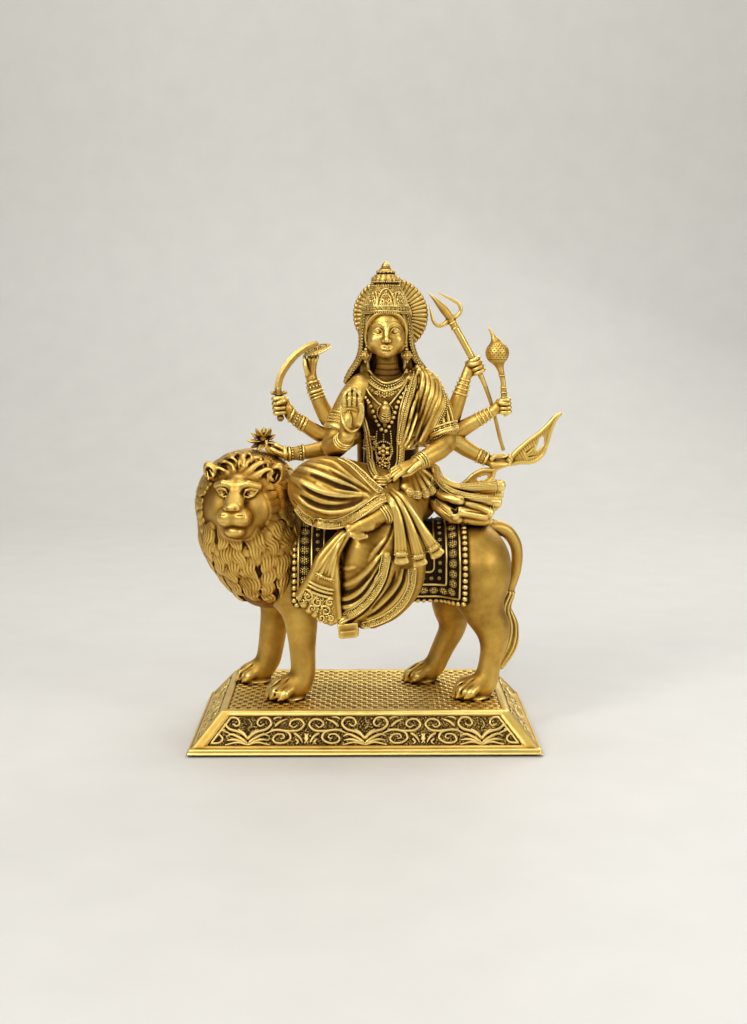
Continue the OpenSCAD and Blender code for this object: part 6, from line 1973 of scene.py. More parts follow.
    # middle right: mace fist
    P = [[34, 7, 164, 4.2], [41, 6, 158, 4.5], [46.8, 5, 156.4, 4.6], [55, 4, 160.8, 4.2], [63, 3, 165.6, 3.4], [67.6, 2.4, 168.4, 2.7]]
    F = armfield(P + [[76, 2, 176, 3]])
    F.chain(curve(P, 5), 0.3)
    grip(F, (74.4, 1.6, 171.4), (-1.2, 0, 13), (-1, 0.15, -0.45), 1.5, 1.2, wrist=np.array([68.6, 2.2, 168.9]), rw=2.5)
    K = Kit()
    K.field(F, 0.8, 1.2, 2.4)
    for u, v in ((772, 903), (797, 889), (822, 874), (846, 860)):
        ring(K, F, at1(s3, u, v, 3), (8, -1, 4.8), 4.0, 0.6)
    K.out("arm_left_mid_cast", POLISHED, "brass_polished", "arm_left_middle")

    # lower right: bow hand
    P = [[34, 4, 155, 4.2], [42, 3.4, 153, 4.5], [48, 3, 152.4, 4.7], [55, 2.6, 148, 4.3], [62.5, 2, 144, 3.5], [67, 1.6, 142, 2.8]]
    F = armfield(P + [[80, 2, 150, 3]])
    F.chain(curve(P, 5), 0.3)
    w = at1(s3, 868, 1192, 1.2)
    F.chain([[67, 1.6, 142, 2.8], [*w, 2.5]], 1)
    openhand(F, w, (1, -0.12, 0.02), (0, -0.35, 1), 12.5, 6.2, (16, 48, 52), 1.08, 2.5, thumb=-1)
    F.chain([[*at1(s3, 856, 1166, -1.5), 1.2], [*at1(s3, 880, 1142, -2.2), 1.0], [*at1(s3, 935, 1136, -1.6), 0.85]], 0.4)
    K = Kit()
    K.field(F, 0.8, 1.2, 2.4)
    cuff(K, F, at1(s3, 770, 1152, 2.4), at1(s3, 815, 1175, 2), 4, ["rope", "flower", "flower", "rope"], 0.72, 4.2)
    K.out("arm_left_low_cast", POLISHED, "brass_polished", "arm_left_lower")


def sleeve_mesh(K, F, path, r0=1.0):
    pass


def front_arms():
    # blessing arm: puffed sleeve, bare forearm, raised palm
    P = [[-1, -3, 181, 7.2], [-4.5, -3.6, 176, 7.8], [-9, -5, 168, 7.6], [-13.6, -8.4, 158, 6.9], [-16.2, -11.5, 151.8, 6.3]]
    F = Field((-29, -40, 138), (14, 12, 194), 0.34)
    F.chain(curve(P, 5), 0.4)
    F.chain(curve([[-16.2, -11.5, 151.8, 5.9], [-15.6, -17, 150.6, 5.4], [-12.2, -22.6, 153.2, 4.8], [-9.2, -26.2, 157.2, 3.9]], 5), 1.2)
    # sleeve: a shell over the upper arm; its hem is added further down
    S = [[-1, -3, 181.4, 8.0], [-4.6, -3.6, 176, 8.6], [-9.2, -5, 168, 8.3], [-12.8, -7.6, 159.8, 7.7]]
    F.chain(curve(S, 5), 0.2)
    n = unit(np.array(S[3][:3]) - np.array(S[2][:3]))
    base = np.array(S[3][:3])
    # forearm and palm
    w = np.array([-9.0, -26.6, 158.6])
    ctr = at1(s2, 1200, 880, -28.5)
    # web behind the raised hand
    F.egg((ctr[0], -26.6, ctr[2] + 0.2), (5.9, 1.9, 11.6), (0, -2, 0), 1.2)
    for o in (-1.5, -0.5, 0.5, 1.5):
        F.chain([[*(w + np.array([o * 1.1, 0, -0.5])), 2.5], [*at1(s2, 1200 + o * 46, 860, -28.0), 2.1]], 1.2)
    tops = ((1128, 716), (1176, 684), (1228, 676), (1276, 706))
    for i, (o, tp) in enumerate(zip((-1.5, -0.5, 0.5, 1.5), tops)):
        a = at1(s2, 1200 + o * 47, 850, -28.6)
        b = at1(s2, 1200 + o * 48, 770, -29.2)
        c = at1(s2, *tp, -28.8)
        F.chain([[*a, 1.42], [*b, 1.36], [*c, 1.12]], 0.12)
        for f in (0.28, 0.62):
            q = a + (c - a) * f
            F.chain([[q[0] - 1.1, q[1] - 1.5, q[2], 0.16], [q[0] + 1.1, q[1] - 1.5, q[2], 0.16]], 0.3, True)
    F.egg(at1(s2, 1165, 985, -29.2), (2.9, 2.1, 4.6), (0, 12, 0), 0.9)
    F.egg(at1(s2, 1238, 960, -29.0), (2.5, 1.7, 4.2), (0, -10, 0), 0.9)
    F.chain([[*at1(s2, 1262, 1000, -29), 1.7], [*at1(s2, 1290, 900, -29.5), 1.35], [*at1(s2, 1288, 820, -29.4), 1.1]], 0.5)
    # palm lines
    for pts in ([(1118, 862), (1180, 850), (1262, 868)], [(1130, 905), (1190, 880), (1240, 900)], [(1190, 900), (1205, 960), (1200, 1030)]):
        c = curve(np.array(s2(pts)), 5)
        Q = lay(F, c[:, :2], -45)
        F.chain(np.c_[Q + [0, 0.05, 0], np.full(len(Q), 0.2)], 0.3, True)
    # rim of the web
    t = np.linspace(0, 2 * np.pi, 33)[:-1]
    rim = s2(np.stack([1202 + 108 * np.cos(t), 880 + 206 * np.sin(t)], 1))
    Q = lay(F, rim, -45)
    Q[:, 1] = np.minimum(Q[:, 1], -27.2)
    F.chain(np.c_[Q, np.full(len(Q), 0.62)], 0.4, closed=True)
    K = Kit()
    K.field(F, 0.9, 1.15, 2.8)
    for k, (kd, r) in enumerate((("rope", 0.6), ("bead", 0.55), ("flower", 0.95), ("bead", 0.55), ("rope", 0.6))):
        c = base + n * (-6.6 + 1.75 * k)
        P2 = ring(K if kd == "rope" else Kit(), F, c, n, 8.6, r, off=0.15)
        if kd == "bead":
            beads(K, F, P2[:-1], r, r * 2.1, closed=True)
        elif kd == "flower":
            Q, T = even(P2[:-1], 2.1, True)
            Q = F.snap(Q)
            X, Y, Z = axes(F.grad(Q), T)
            K.copies(FLOWER, Q, X, Y, Z, 1.0)
    # hem
    hem = base + n * 1.4
    t = np.linspace(0, 2 * np.pi, 60)
    X, Y, _ = axes(n[None])
    Ph = hem + (X * np.cos(t)[:, None] + Y * np.sin(t)[:, None]) * 8.6
    for _ in range(6):
        G = F.grad(Ph)
        G = G - n * (G @ n)[:, None]
        Ph = Ph - G * (F.at(Ph) - 0.5)[:, None] * 0.8
    rope(K, Ph, 0.85, 8, 0.6, caps=False)
    beads(K, F, Ph[:-1] + n * 1.2, 0.5, 1.15, closed=True)
    # bangle at the wrist
    for f in (0.0, 1.5, 3.0):
        ring(K, F, w + np.array([-0.6, 2.0, -2.2]) - unit((2.6, -4, 4.4)) * f * 0.9, (2.6, -4, 4.4), 5, 0.6)
    # small woven mark over the sleeve
    B, C = [], []
    for u in range(0, 9):
        for v in range(0, 13):
            B.append((985 + u * 18 + v * 13 + (v % 2) * 9, 980 - v * 29))
    Q = lay(F, s2(B), -42)
    ok = F.grad(Q)[:, 1] < -0.15
    Q, N = Q[ok], F.grad(Q)[ok]
    X, Y, Z = axes(N)
    K.copies(BEAD_S, Q - Z * 0.16, X, Y, Z, 0.34)
    K.out("arm_blessing_cast", POLISHED, "brass_polished", "arm_blessing")

    # lap arm
    P = [[30, -3, 181, 7.6], [34.5, -3.8, 174, 7.8], [38.5, -5, 166, 7.3], [41.5, -7, 157.5, 6.4], [41.8, -9.4, 152.6, 5.8]]
    F = Field((20, -42, 130), (56, 12, 196), 0.34)
    F = Field((8, -42, 128), (58, 14, 196), 0.36)
    F.chain(curve(P, 5), 0.4)
    F.chain(curve([[41.8, -9.4, 152.6, 5.6], [38.6, -14.6, 149.4, 5.1], [32.6, -20.2, 146.6, 4.5], [26.6, -24.4, 143.4, 3.5]], 5), 1.2)
    S = [[30, -3, 181.4, 8.2], [34.6, -3.8, 174, 8.5], [38.6, -5, 166, 8.0], [41.2, -6.8, 158.6, 7.3]]
    F.chain(curve(S, 5), 0.2)
    n = unit(np.array(S[3][:3]) - np.array(S[2][:3]))
    base = np.array(S[3][:3])
    Xs, Ys, _ = axes(n[None])
    for k in range(16):
        a = k * math.pi / 8
        pts = []
        for (x, y, z, r), tw in zip(S, (0.0, 0.12, 0.2, 0.3)):
            v = Xs[0] * math.cos(a + tw) + Ys[0] * math.sin(a + tw)
            pts.append([x + v[0] * (r + 0.1), y + v[1] * (r + 0.1), z + v[2] * (r + 0.1), 0.75])
        F.chain(curve(pts, 4), 0.9)
    w = np.array([26.2, -24.8, 143])
    openhand(F, w, unit((-9.4, -3.4, -2.6)), (-0.2, 0.5, -1), 15.5, 6.4, (8, 16, 18), 1.2, 2.9, thumb=1)
    F.chain([[*at1(s3, 388, 1190, -29), 1.5], [*at1(s3, 352, 1215, -31.5), 1.35], [*at1(s3, 318, 1248, -32), 1.0]], 0.5)
    K = Kit()
    K.field(F, 0.9, 1.15, 2.8)
    for k, (kd, r) in enumerate((("rope", 0.6), ("bead", 0.55), ("rope", 0.6))):
        c = base + n * (-2.4 + 1.3 * k)
        P2 = ring(K if kd == "rope" else Kit(), F, c, n, 8.4, r, off=0.15)
        if kd == "bead":
            beads(K, F, P2[:-1], r, r * 2.1, closed=True)
        elif kd == "flower":
            Q, T = even(P2[:-1], 2.1, True)
            Q = F.snap(Q)
            X, Y, Z = axes(F.grad(Q), T)
            K.copies(FLOWER, Q, X, Y, Z, 1.0)
    X, Y, _ = axes(n[None])
    t = np.linspace(0, 2 * np.pi, 60)
    Ph = base + n * 1.4 + (X * np.cos(t)[:, None] + Y * np.sin(t)[:, None]) * 8.2
    for _ in range(6):
        G = F.grad(Ph)
        G = G - n * (G @ n)[:, None]
        Ph = Ph - G * (F.at(Ph) - 0.5)[:, None] * 0.8
    rope(K, Ph, 0.85, 8, 0.6, caps=False)
    beads(K, F, Ph[:-1] + n * 1.2, 0.5, 1.15, closed=True)
    dd = unit((-6, -4.2, -3.2))
    for f in (0, 1.4, 2.8, 4.2):
        ring(K, F, w - dd * (1.2 + f), dd, 5, 0.58)
    K.out("arm_lap_cast", POLISHED, "brass_polished", "arm_lap")


rear_arms()
front_arms()
# ------------------------------------------------------------------ saddle cloth
s6 = fr(380, 440, 8.711)


def sample(F, G):
    """F's distances read on G's grid."""
    X, Y, Z = np.meshgrid(*G.ax, indexing="ij")
    P = np.stack([X.ravel(), Y.ravel(), Z.ravel()], 1)
    out = np.empty(len(P), F32)
    for i in range(0, len(P), 1500000):
        out[i:i + 1500000] = F.at(P[i:i + 1500000])
    return out.reshape(G.f.shape)


def saddle(LB):
    x0, x1, zb = -37.6, 53.2, 69.4
    G = Field((x0 - 2, -34, zb - 2), (x1 + 2, 34, 132), 0.55)
    d = sample(LB, G)
    X = G.ax[0][:, None, None]
    Z = G.ax[2][None, None, :]
    rc = 3.0
    qx = np.abs(X - (x0 + x1) / 2) - (x1 - x0) / 2 + rc
    qz = (zb - Z) + rc
    out = np.sqrt(np.maximum(qx, 0) ** 2 + np.maximum(qz, 0) ** 2) + np.minimum(np.maximum(qx, qz), 0) - rc
    G.f = np.maximum(np.maximum(d - F32(1.7), out.astype(F32)), -(d + F32(1.2)))
    S = Field((x0 - 2, -34, zb - 2), (x1 + 2, 34, 132), 0.55)
    S.f = d - F32(1.7)
    K = Kit()
    K.field(G, 0.9, 0.5, 3)
    K.C[-1] = K.C[-1] - 0.32
    K.out("saddle_cloth_ground", GROUND, "brass_aged", "saddle_cloth")
    K = Kit()

    def side(pts, sg, n=10):
        c = np.array(pts, float)
        P = np.stack([c[:, 0], np.full(len(c), 60.0 * sg), c[:, 1]], 1)
        Q, hit = S.drop(P + np.array([0, -27.0 * sg, 0]), (0, -sg, 0), 34)
        return Q[hit]

    def over(x, sgs=True):
        a = np.radians(np.linspace(-30, 210, 160))
        P = np.stack([np.full(160, x), -33 * np.cos(a), 100 + 31.5 * np.sin(a)], 1)
        D = np.stack([np.zeros(160), 33 * np.cos(a), -31.5 * np.sin(a)], 1)
        Q, hit = S.drop(P, D, 34)
        return Q[hit]

    def frame_path(xa, xb, z, r, sg):
        """Across the flank: down one edge, round the corners, along the foot, up the other."""
        t = np.linspace(0, np.pi / 2, 7)
        pts = [(xa, v) for v in np.linspace(114, z + r, 24)] + [(xa + r - r * math.cos(u), z + r - r * math.sin(u)) for u in t[1:]]
        pts += [(v, z) for v in np.linspace(xa + r, xb - r, 60)[1:]]
        pts += [(xb - r + r * math.sin(u), z + r - r * math.cos(u)) for u in t[1:]] + [(xb, v) for v in np.linspace(z + r, 114, 24)[1:]]
        return side(pts, sg)

    def col(x, z):
        P = over(x)
        return P[P[:, 2] >= z]

    for kind, xa, xb, z, r in (("bead", -36.0, 51.6, 70.8, 1.62), ("cord", -34.1, 49.0, 73.2, 0.62), ("rose", -30.9, 45.5, 76.6, 2.05),
                               ("cord", -27.3, 42.2, 80.1, 0.62), ("small", -24.3, 38.9, 83.4, 1.25), ("cord", -21.0, 35.8, 86.8, 0.55)):
        for sg in (-1, 1):
            P = frame_path(xa, xb, z, 2.4 if kind == "cord" and z > 86 else 0.9, sg)
            P = S.snap(P, 0, 3)
            if kind == "cord":
                P[1:-1] = (P[:-2] + 2 * P[1:-1] + P[2:]) / 4
                rope(K, P + S.grad(P) * 0.2, r, 8, 0.6)
            elif kind == "bead":
                beads(K, S, P, r, 3.25, sink=-0.05)
            else:
                Q, T = even(P, 5.3 if kind == "rose" else 4.2)
                Q = S.snap(Q, 0, 3)
                X_, Y_, Z_ = axes(S.grad(Q), T)
                K.copies(FLOWER, Q - Z_ * 0.1, X_, Y_, Z_, r)
                if kind == "rose":
                    a = np.arange(12) * math.pi / 6
                    for c, xx, yy, zz in zip(Q, X_, Y_, Z_):
                        R = c + (xx * np.cos(a)[:, None] + yy * np.sin(a)[:, None]) * 2.05
                        K.copies(BEAD_S, R, np.repeat(xx[None], 12, 0), np.repeat(yy[None], 12, 0), np.repeat(zz[None], 12, 0), 0.36)
        for x in (xa, xb):
            P = over(x)
            P = S.snap(P[P[:, 2] > 112], 0, 3)
            if len(P) < 3:
                continue
            if kind == "cord":
                rope(K, P + S.grad(P) * 0.2, r, 8, 0.6)
            elif kind == "bead":
                beads(K, S, P, r, 2.9, sink=0.05)
            else:
                Q, T = even(P, 4.5 if kind == "rose" else 3.9)
                Q = S.snap(Q, 0, 3)
                X_, Y_, Z_ = axes(S.grad(Q), T)
                K.copies(FLOWER, Q - Z_ * 0.1, X_, Y_, Z_, r)
    # scrollwork in the field of the cloth
    a = np.linspace(0, 1, 26)
    for sg in (-1, 1):
        for cx in np.arange(-14, 34, 8.2):
            for cz in np.arange(93, 116, 8.0):
                m = 1 if (int(cx) + int(cz)) % 2 else -1
                r = 2.6 * (1 - 0.8 * a)
                pts = np.stack([cx + m * r * np.cos(a * 9), cz + r * np.sin(a * 9)], 1)
                P = side(pts, sg)
                if len(P) > 20:
                    rope(K, S.snap(P, 0.1, 3), np.linspace(0.28, 0.5, len(P)), 6, 0.2)
                P = side([(cx + 4.1, cz + 4.0)], sg)
                if len(P):
                    X_, Y_, Z_ = axes(S.grad(P))
                    K.copies(FLOWER, P - Z_ * 0.1, X_, Y_, Z_, 1.2)
    K.out("saddle_cloth_borders", BRIGHT, "brass_bright", "saddle_cloth")


# ------------------------------------------------------------------ stole ends over the rump
def stole_tails():
    F = Field((32, -30, 104), (80, 24, 140), 0.45)
    tubes = (
        ([(455, 175, -7, 1.5), (500, 310, -11, 2.1), (620, 395, -13, 2.3), (790, 415, -13, 2.5), (930, 400, -11, 2.8), (1048, 388, -9, 3.1)], 1),
        ([(470, 300, -10, 1.5), (590, 430, -15, 2.1), (740, 490, -17, 2.3), (880, 520, -17, 2.6), (1020, 535, -15, 2.9)], 1),
        ([(450, 420, -11, 1.8), (540, 480, -17, 2.2), (620, 505, -20, 2.4), (690, 520, -21, 2.6)], 0),
        ([(470, 495, -12, 1.8), (545, 560, -18, 2.2), (610, 620, -21, 2.7), (650, 650, -22, 2.9)], 0),
        ([(690, 612, -22.5, 2.7), (770, 630, -21, 2.5), (850, 645, -19.5, 2.6), (900, 655, -18, 2.7)], 2),
        ([(700, 545, -19, 2.1), (800, 565, -19, 2.4), (890, 595, -18, 2.7), (950, 625, -17, 2.9)], 1),
        ([(600, 520, -14, 3.2), (760, 560, -14, 3.6), (900, 600, -12, 3.6)], 0),
        ([(465, 540, -14, 2.6), (540, 610, -18, 3.2), (620, 655, -20, 3.4), (672, 672, -20.5, 3.0)], 0),
        ([(700, 660, -19.5, 2.6), (800, 680, -18, 3.0), (890, 682, -16, 3.3), (940, 676, -14, 3.2)], 1),
        ([(500, 500, -9, 4.6), (620, 600, -10, 5.4), (760, 640, -10, 5.6), (900, 640, -8, 4.8)], 0),
        ([(455, 175, -3, 1.5), (540, 340, -4, 2.3), (720, 430, -4, 2.9), (900, 450, -2, 3.1), (1040, 450, -2, 3.3)], 1),
        ([(470, 200, 2, 1.5), (560, 370, 3, 2.4), (740, 460, 4, 3.0), (900, 480, 6, 3.2), (1020, 470, 8, 3.3)], 1),
        ([(480, 230, 6, 1.5), (570, 410, 9, 2.4), (740, 520, 11, 3.0), (880, 560, 13, 3.2), (1000, 560, 14, 3.2)], 1),
        ([(500, 300, 9, 1.5), (580, 480, 13, 2.4), (720, 590, 15, 2.8), (840, 640, 16, 3.0)], 1),
        ([(560, 500, -6, 3.6), (800, 560, -4, 4.4), (930, 580, -2, 4.4)], 0),
        ([(560, 500, 4, 3.6), (800, 560, 6, 4.4), (930, 580, 7, 4.2)], 0),
    )
    ends = []
    for pts, mouth in tubes:
        c = curve([[*sk(s6([(u, v)]), y)[0], r] for u, v, y, r in pts], 6)
        F.chain(c, 0.35)
        ends.append((c, mouth))
    for c, mouth in ends:
        e, q = (c[-1], c[-4]) if mouth == 1 else (c[0], c[3])
        if mouth:
            d = unit(e[:3] - q[:3])
            F.chain([[*(e[:3] - d * 1.6), e[3] * 0.42], [*(e[:3] + d * 2.6), e[3] * 0.78]], 0.3, True)
    # creases along the folds
    for pts in ([(480, 330), (600, 450), (760, 520), (930, 545)], [(560, 520), (650, 560), (690, 570)], [(720, 600), (820, 618), (930, 640)], [(620, 420), (790, 452), (1000, 462)]):
        ridge(F, s6(pts), 0.45, 0.5, 0.0, True)
    K = Kit()
    K.field(F, 0.9, 1.25, 2.6)
    # stippled edge strips
    for pts, w in (([(470, 290), (560, 400), (680, 455), (820, 480), (960, 495)], 3.0), ([(470, 520), (540, 580), (620, 640)], 2.6), ([(700, 385), (850, 378), (1010, 362)], 2.2)):
        band(K, F, s6(pts), w, 0.34, 0.9, edge=0.34)
    for c, mouth in ends:
        if mouth == 1:
            e, q = c[-3], c[-6]
            d = unit(e[:3] - q[:3])
            X, Y, _ = axes(d[None])
            t = np.linspace(0, 2 * np.pi, 25)
            P = e[:3] + (X * np.cos(t)[:, None] + Y * np.sin(t)[:, None]) * (e[3] + 0.1)
            rope(K, P, 0.38, 6, 0.6, caps=False)
    K.out("stole_ends_folded", POLISHED, "brass_polished", "stole_ends")


# ------------------------------------------------------------------ cloth gathered in the lap hand
def lap_drape():
    F = Field((14, -56, 112), (52, 4, 152), 0.4)
    top = [(300, 205), (270, 235), (240, 262), (215, 280), (195, 292)]
    ends = [(468, 250), (482, 320), (478, 390), (440, 440), (380, 466), (310, 474), (250, 452), (212, 410)]
    for i, e in enumerate(ends):
        f = i / (len(ends) - 1)
        a = (330 - 120 * f, 215 + 70 * f)
        m = ((a[0] + e[0]) / 2 + 18 * (1 - f), (a[1] + e[1]) / 2 - 14 + 30 * f)
        c = curve(s6([a, m, e]), 8)
        P, N = lay2([TF, SC, SH], c[:, :2], -60, 90, 0.6)
        for _ in range(4):
            P[1:-1] = (P[:-2] + P[1:-1] * 2 + P[2:]) / 4
        F.chain(np.c_[P, np.linspace(1.6, 2.7, len(P))], 1.8)
        F.chain(np.c_[P + N * 1.2, np.linspace(0.8, 0.9, len(P))], 1.2)
    # gathered end in front of the fingers
    for o in (-10, 0, 12):
        c = curve(s6([(300, 240 + o), (240, 270 + o), (170, 288 + o * 0.6), (110, 292 + o * 0.3)]), 6)
        P, N = lay2([TF, SC, SH], c[:, :2], -60, 90, 1.2)
        F.chain(np.c_[P, np.linspace(1.7, 0.9, len(P))], 0.3)
    K = Kit()
    K.field(F, 0.9, 1.2, 2.6)
    band(K, F, s6([(476, 300), (478, 380), (440, 436), (375, 462), (300, 468), (240, 446)]), 4.0, 0.38, 1.0, edge=0.4)
    K.out("lap_drape_folds", POLISHED, "brass_polished", "goddess_torso")


lap_drape()


# ------------------------------------------------------------------ things the hands hold
def strap(K, P, w, t, N, cav=(0.35, 0.1)):
    """A blade: a four-sided section with crisp edges swept along P; w, t half sizes."""
    P = np.asarray(P, float)
    T = np.gradient(P, axis=0)
    T /= np.linalg.norm(T, axis=1, keepdims=True)
    N = np.broadcast_to(np.asarray(N, float), P.shape)
    N = N - T * np.sum(N * T, 1, keepdims=True)
    N /= np.linalg.norm(N, axis=1, keepdims=True)
    B = np.cross(T, N)
    w = np.broadcast_to(np.asarray(w, float), (len(P),))[:, None]
    t = np.broadcast_to(np.asarray(t, float), (len(P),))[:, None]
    cs = [P + B * w, P + N * t - B * w * 0.15, P - B * w, P - N * t - B * w * 0.15]
    n = len(P)
    for i in range(4):
        a, b = cs[i], cs[(i + 1) % 4]
        m = (a + b) / 2 + (N * t * 0.06 if i < 2 else -N * t * 0.06)
        V = np.vstack([a, m, b])
        k = np.arange(n - 1)
        q = np.vstack([np.stack([k + j * n, k + 1 + j * n, k + 1 + (j + 1) * n, k + (j + 1) * n], 1)[:, ::-1] for j in (0, 1)])
        K.add(V, [q], cav[0] if i < 2 else cav[1])
    for e, s in ((0, 1), (n - 1, -1)):
        V = np.array([c[e] for c in cs])
        K.add(V, [np.array([[0, 1, 2, 3]]) if s < 0 else np.array([[3, 2, 1, 0]])], 0.2)


def props():
    # sword: ridged blade, grip, guard
    K = Kit()
    B = curve([[-45.3, 1.8, 176.5], [-45.9, 2, 180.5], [-44.6, 2, 186.5], [-41.2, 2, 192.6], [-36.4, 2, 198.2], [-31.0, 2.2, 202.2], [-27.0, 2.4, 204.0], [-24.4, 2.6, 204.6]], 8)
    s = np.linspace(0, 1, len(B))
    strap(K, B, np.interp(s, [0, 0.06, 0.5, 0.8, 0.96, 1], [1.7, 1.9, 1.85, 1.75, 1.3, 0.35]), np.interp(s, [0, 0.9, 1], [0.95, 0.7, 0.25]), (0.18, -1, 0.1))
    F = Field((-52, -5, 158), (-38, 9, 182), 0.22)
    F.chain([[-44.7, 1.6, 165.4, 1.3], [-45.4, 1.7, 176.6, 1.45]], 0)
    F.chain([[-48.4, 1.7, 178.2, 0.8], [-45.4, 1.7, 177.4, 1.3], [-42.4, 1.7, 178.5, 0.8]], 0.8)
    F.balls([[-48.8, 1.7, 178.4, 1.1], [-42.0, 1.7, 178.7, 1.1], [-44.6, 1.6, 165.0, 1.9]], 0.4)
    for z in np.arange(167, 176, 1.5):
        t = np.linspace(0, 2 * np.pi, 15)[:-1]
        F.chain(np.c_[-44.5 - 0.06 * (z - 162) + 1.45 * np.cos(t), 1.65 + 1.45 * np.sin(t), np.full(14, z), np.full(14, 0.25)], 0.2, closed=True)
    F.chain([[-45.5, 1.7, 177.6, 1.7], [-45.7, 1.8, 180.4, 1.5]], 0.5)
    K.field(F, 0.5, 1.1, 1.4)
    K.out("sword_forged", AGED, "brass_polished", "sword")

    # discus: lens with hub, ring and notched edge
    K = Kit()
    c = np.array([-24.9, 4.6, 201.1])
    rt = (15, -19, 0)
    for sgn in (1, -1):
        pr = [(0.0, 1.9), (0.9, 1.75), (1.5, 1.2), (1.9, 0.95), (3.2, 1.15), (4.6, 1.0), (5.2, 0.8), (5.6, 1.1), (6.2, 1.15), (6.6, 0.75), (7.2, 0.42), (7.6, 0.0)]
        pr = [(r, z * sgn * 0.8) for r, z in pr]
        pr = pr if sgn < 0 else pr
        cav = [0.5, 0.4, -0.2, -0.3, 0.3, 0.25, -0.35, 0.4, 0.45, 0.0, 0.3, 0.5]
        KK = Kit()
        lathe(KK, c, pr, 120, cav, rt, lambda a, i, p: np.where(i >= 10, 0.22 * np.cos(24 * a), 0))
        for V, f, cv in zip(KK.V, KK.F, KK.C):
            K.add(V, [f if sgn < 0 else f[:, ::-1]], cv)
        R = rotm(rt)
        a = np.arange(12) * math.pi / 6
        P = c + np.c_[2.6 * np.cos(a), 2.6 * np.sin(a), np.full(12, 0.85 * sgn)] @ R.T
        N = np.repeat((R @ [0, 0, sgn])[None], 12, 0)
        X, Y, Z = axes(N, np.c_[np.cos(a), np.sin(a), 0 * a] @ R.T)
        K.copies(BEAD_S, P, X, Y, Z, np.tile([0.9, 0.4, 0.5], (12, 1)))
    K.out("discus_turned", BRIGHT, "brass_bright", "discus")

    # lotus: pointed petals round a seeded pod
    c = at1(s2, 345, 1172, -9.5)
    F = Field(c - 13, c + 13, 0.25)
    d0 = unit((-0.25, -0.55, 0.8))
    F.chain([[*(c - d0 * 1.5), 1.5], [*(c + d0 * 1.2), 2.0]], 0)
    tips = [((268, 1052), -13.5), ((408, 1048), -12.5), ((182, 1172), -12.5), ((288, 1262), -14.5), ((474, 1200), -11.5), ((222, 1098), -7.0), ((345, 1040), -6.0), ((452, 1112), -6.5), ((222, 1236), -8.0), ((404, 1250), -13.0)]
    for (p, y) in tips:
        t = at1(s2, *p, y)
        d = t - c
        L = np.linalg.norm(d)
        d = d / L
        m = c + d * L * 0.52 - d0 * 0.5
        zr = -math.degrees(math.atan2(d[2], math.hypot(d[0], d[1])))
        yaw = math.degrees(math.atan2(d[1], d[0]))
        F.egg(m, (L * 0.46, 2.35, 0.8), (0, zr, yaw), 0.15)
        F.chain([[*(m + d * L * 0.1), 1.35], [*t, 0.3]], 0.5)
        F.chain([[*(c + d * 1.2), 0.35], [*(m + d0 * 0.55), 0.3], [*t, 0.2]], 0.2)
    F.balls([[*(c + d0 * 1.8), 1.7]], 0.2)
    K = Kit()
    K.field(F, 0.6, 1.2, 1.4)
    a = np.arange(7) * 2 * math.pi / 7
    X, Y, Z = axes(np.repeat(d0[None], 8, 0))
    P = c + d0 * 3.35 + np.vstack([[0 * X[0]], (X[:1] * np.cos(a)[:, None] + Y[:1] * np.sin(a)[:, None]) * 0.95 - d0 * 0.3])
    K.copies(BEAD_S, P, X, Y, Z, 0.3)
    # stem through the hand
    rope(K, curve([c - d0 * 1.2, at1(s2, 385, 1262, -9.8), at1(s2, 440, 1300, -9.6), at1(s2, 480, 1350, -9)], 5), 0.75, 8, 0.2)
    K.out("lotus_open", AGED, "brass_polished", "lotus")

    # trident
    F = Field((30, -3, 206), (58, 11, 236), 0.24)
    F.chain(curve([[45.2, 4, 218.0, 2.0], [42.8, 3.6, 221.4, 2.35], [40, 3.2, 224.6, 1.9], [36.6, 2.7, 228.4, 1.0], [34.1, 2.4, 230.6, 0.35]], 5), 0)
    F.chain(curve([[45.6, 4, 218.0, 1.5], [48.8, 4, 218.8, 1.15], [50.9, 4, 221.6, 1.05], [50.0, 4, 225.2, 1.0], [46.6, 3.6, 227.4, 0.85], [42.6, 3.2, 229.4, 0.65], [38.6, 3, 231.6, 0.3]], 6), 0.5)
    F.chain(curve([[44.8, 4, 217.0, 1.4], [41.8, 3.9, 214.4, 1.15], [38.4, 3.6, 214.0, 1.05], [36.2, 3.3, 216.8, 0.9], [35.2, 3, 220.8, 0.7], [34.3, 3, 224.8, 0.3]], 6), 0.5)
    F.chain([[45.9, 4.1, 216.6, 2.1], [48.3, 4.5, 212.2, 1.9]], 0.4)
    F.chain([[42.9, 2.0, 221.2, 0.3], [36.4, 1.6, 228.4, 0.2]], 0.3)
    K = Kit()
    K.field(F, 0.6, 1.1, 1.6)
    hi = curve([[48.0, 4.4, 213.0], [51.6, 5.0, 206.8], [55.4, 5.5, 200], [58.8, 6, 193.4], [62.0, 6.6, 187], [64.4, 7, 181.6]], 6)
    rope(K, hi, np.interp(np.linspace(0, 1, len(hi)), [0, 0.5, 1], [2.0, 1.95, 1.2]), 14, 0.3)
    lo = curve([[64.4, 7, 181.6], [67.6, 7.6, 172.6], [70.2, 8, 163], [72.4, 8.3, 154], [74.4, 8.5, 147.2]], 6)
    rope(K, lo, np.interp(np.linspace(0, 1, len(lo)), [0, 0.3, 1], [1.2, 1.0, 0.95]), 12, 0.15)
    for q, rr in (((46.4, 4.2, 215.6), 2.5), ((48.0, 4.4, 212.8), 2.35)):
        X, Y, _ = axes(np.array([unit((-0.47, -0.1, 0.88))]))
        t = np.linspace(0, 2 * np.pi, 29)
        rope(K, np.array(q) + (X * np.cos(t)[:, None] + Y * np.sin(t)[:, None]) * (rr - 0.3), 0.5, 7, 0.6, caps=False)
    K.out("trident_cast", POLISHED, "brass_polished", "trident")

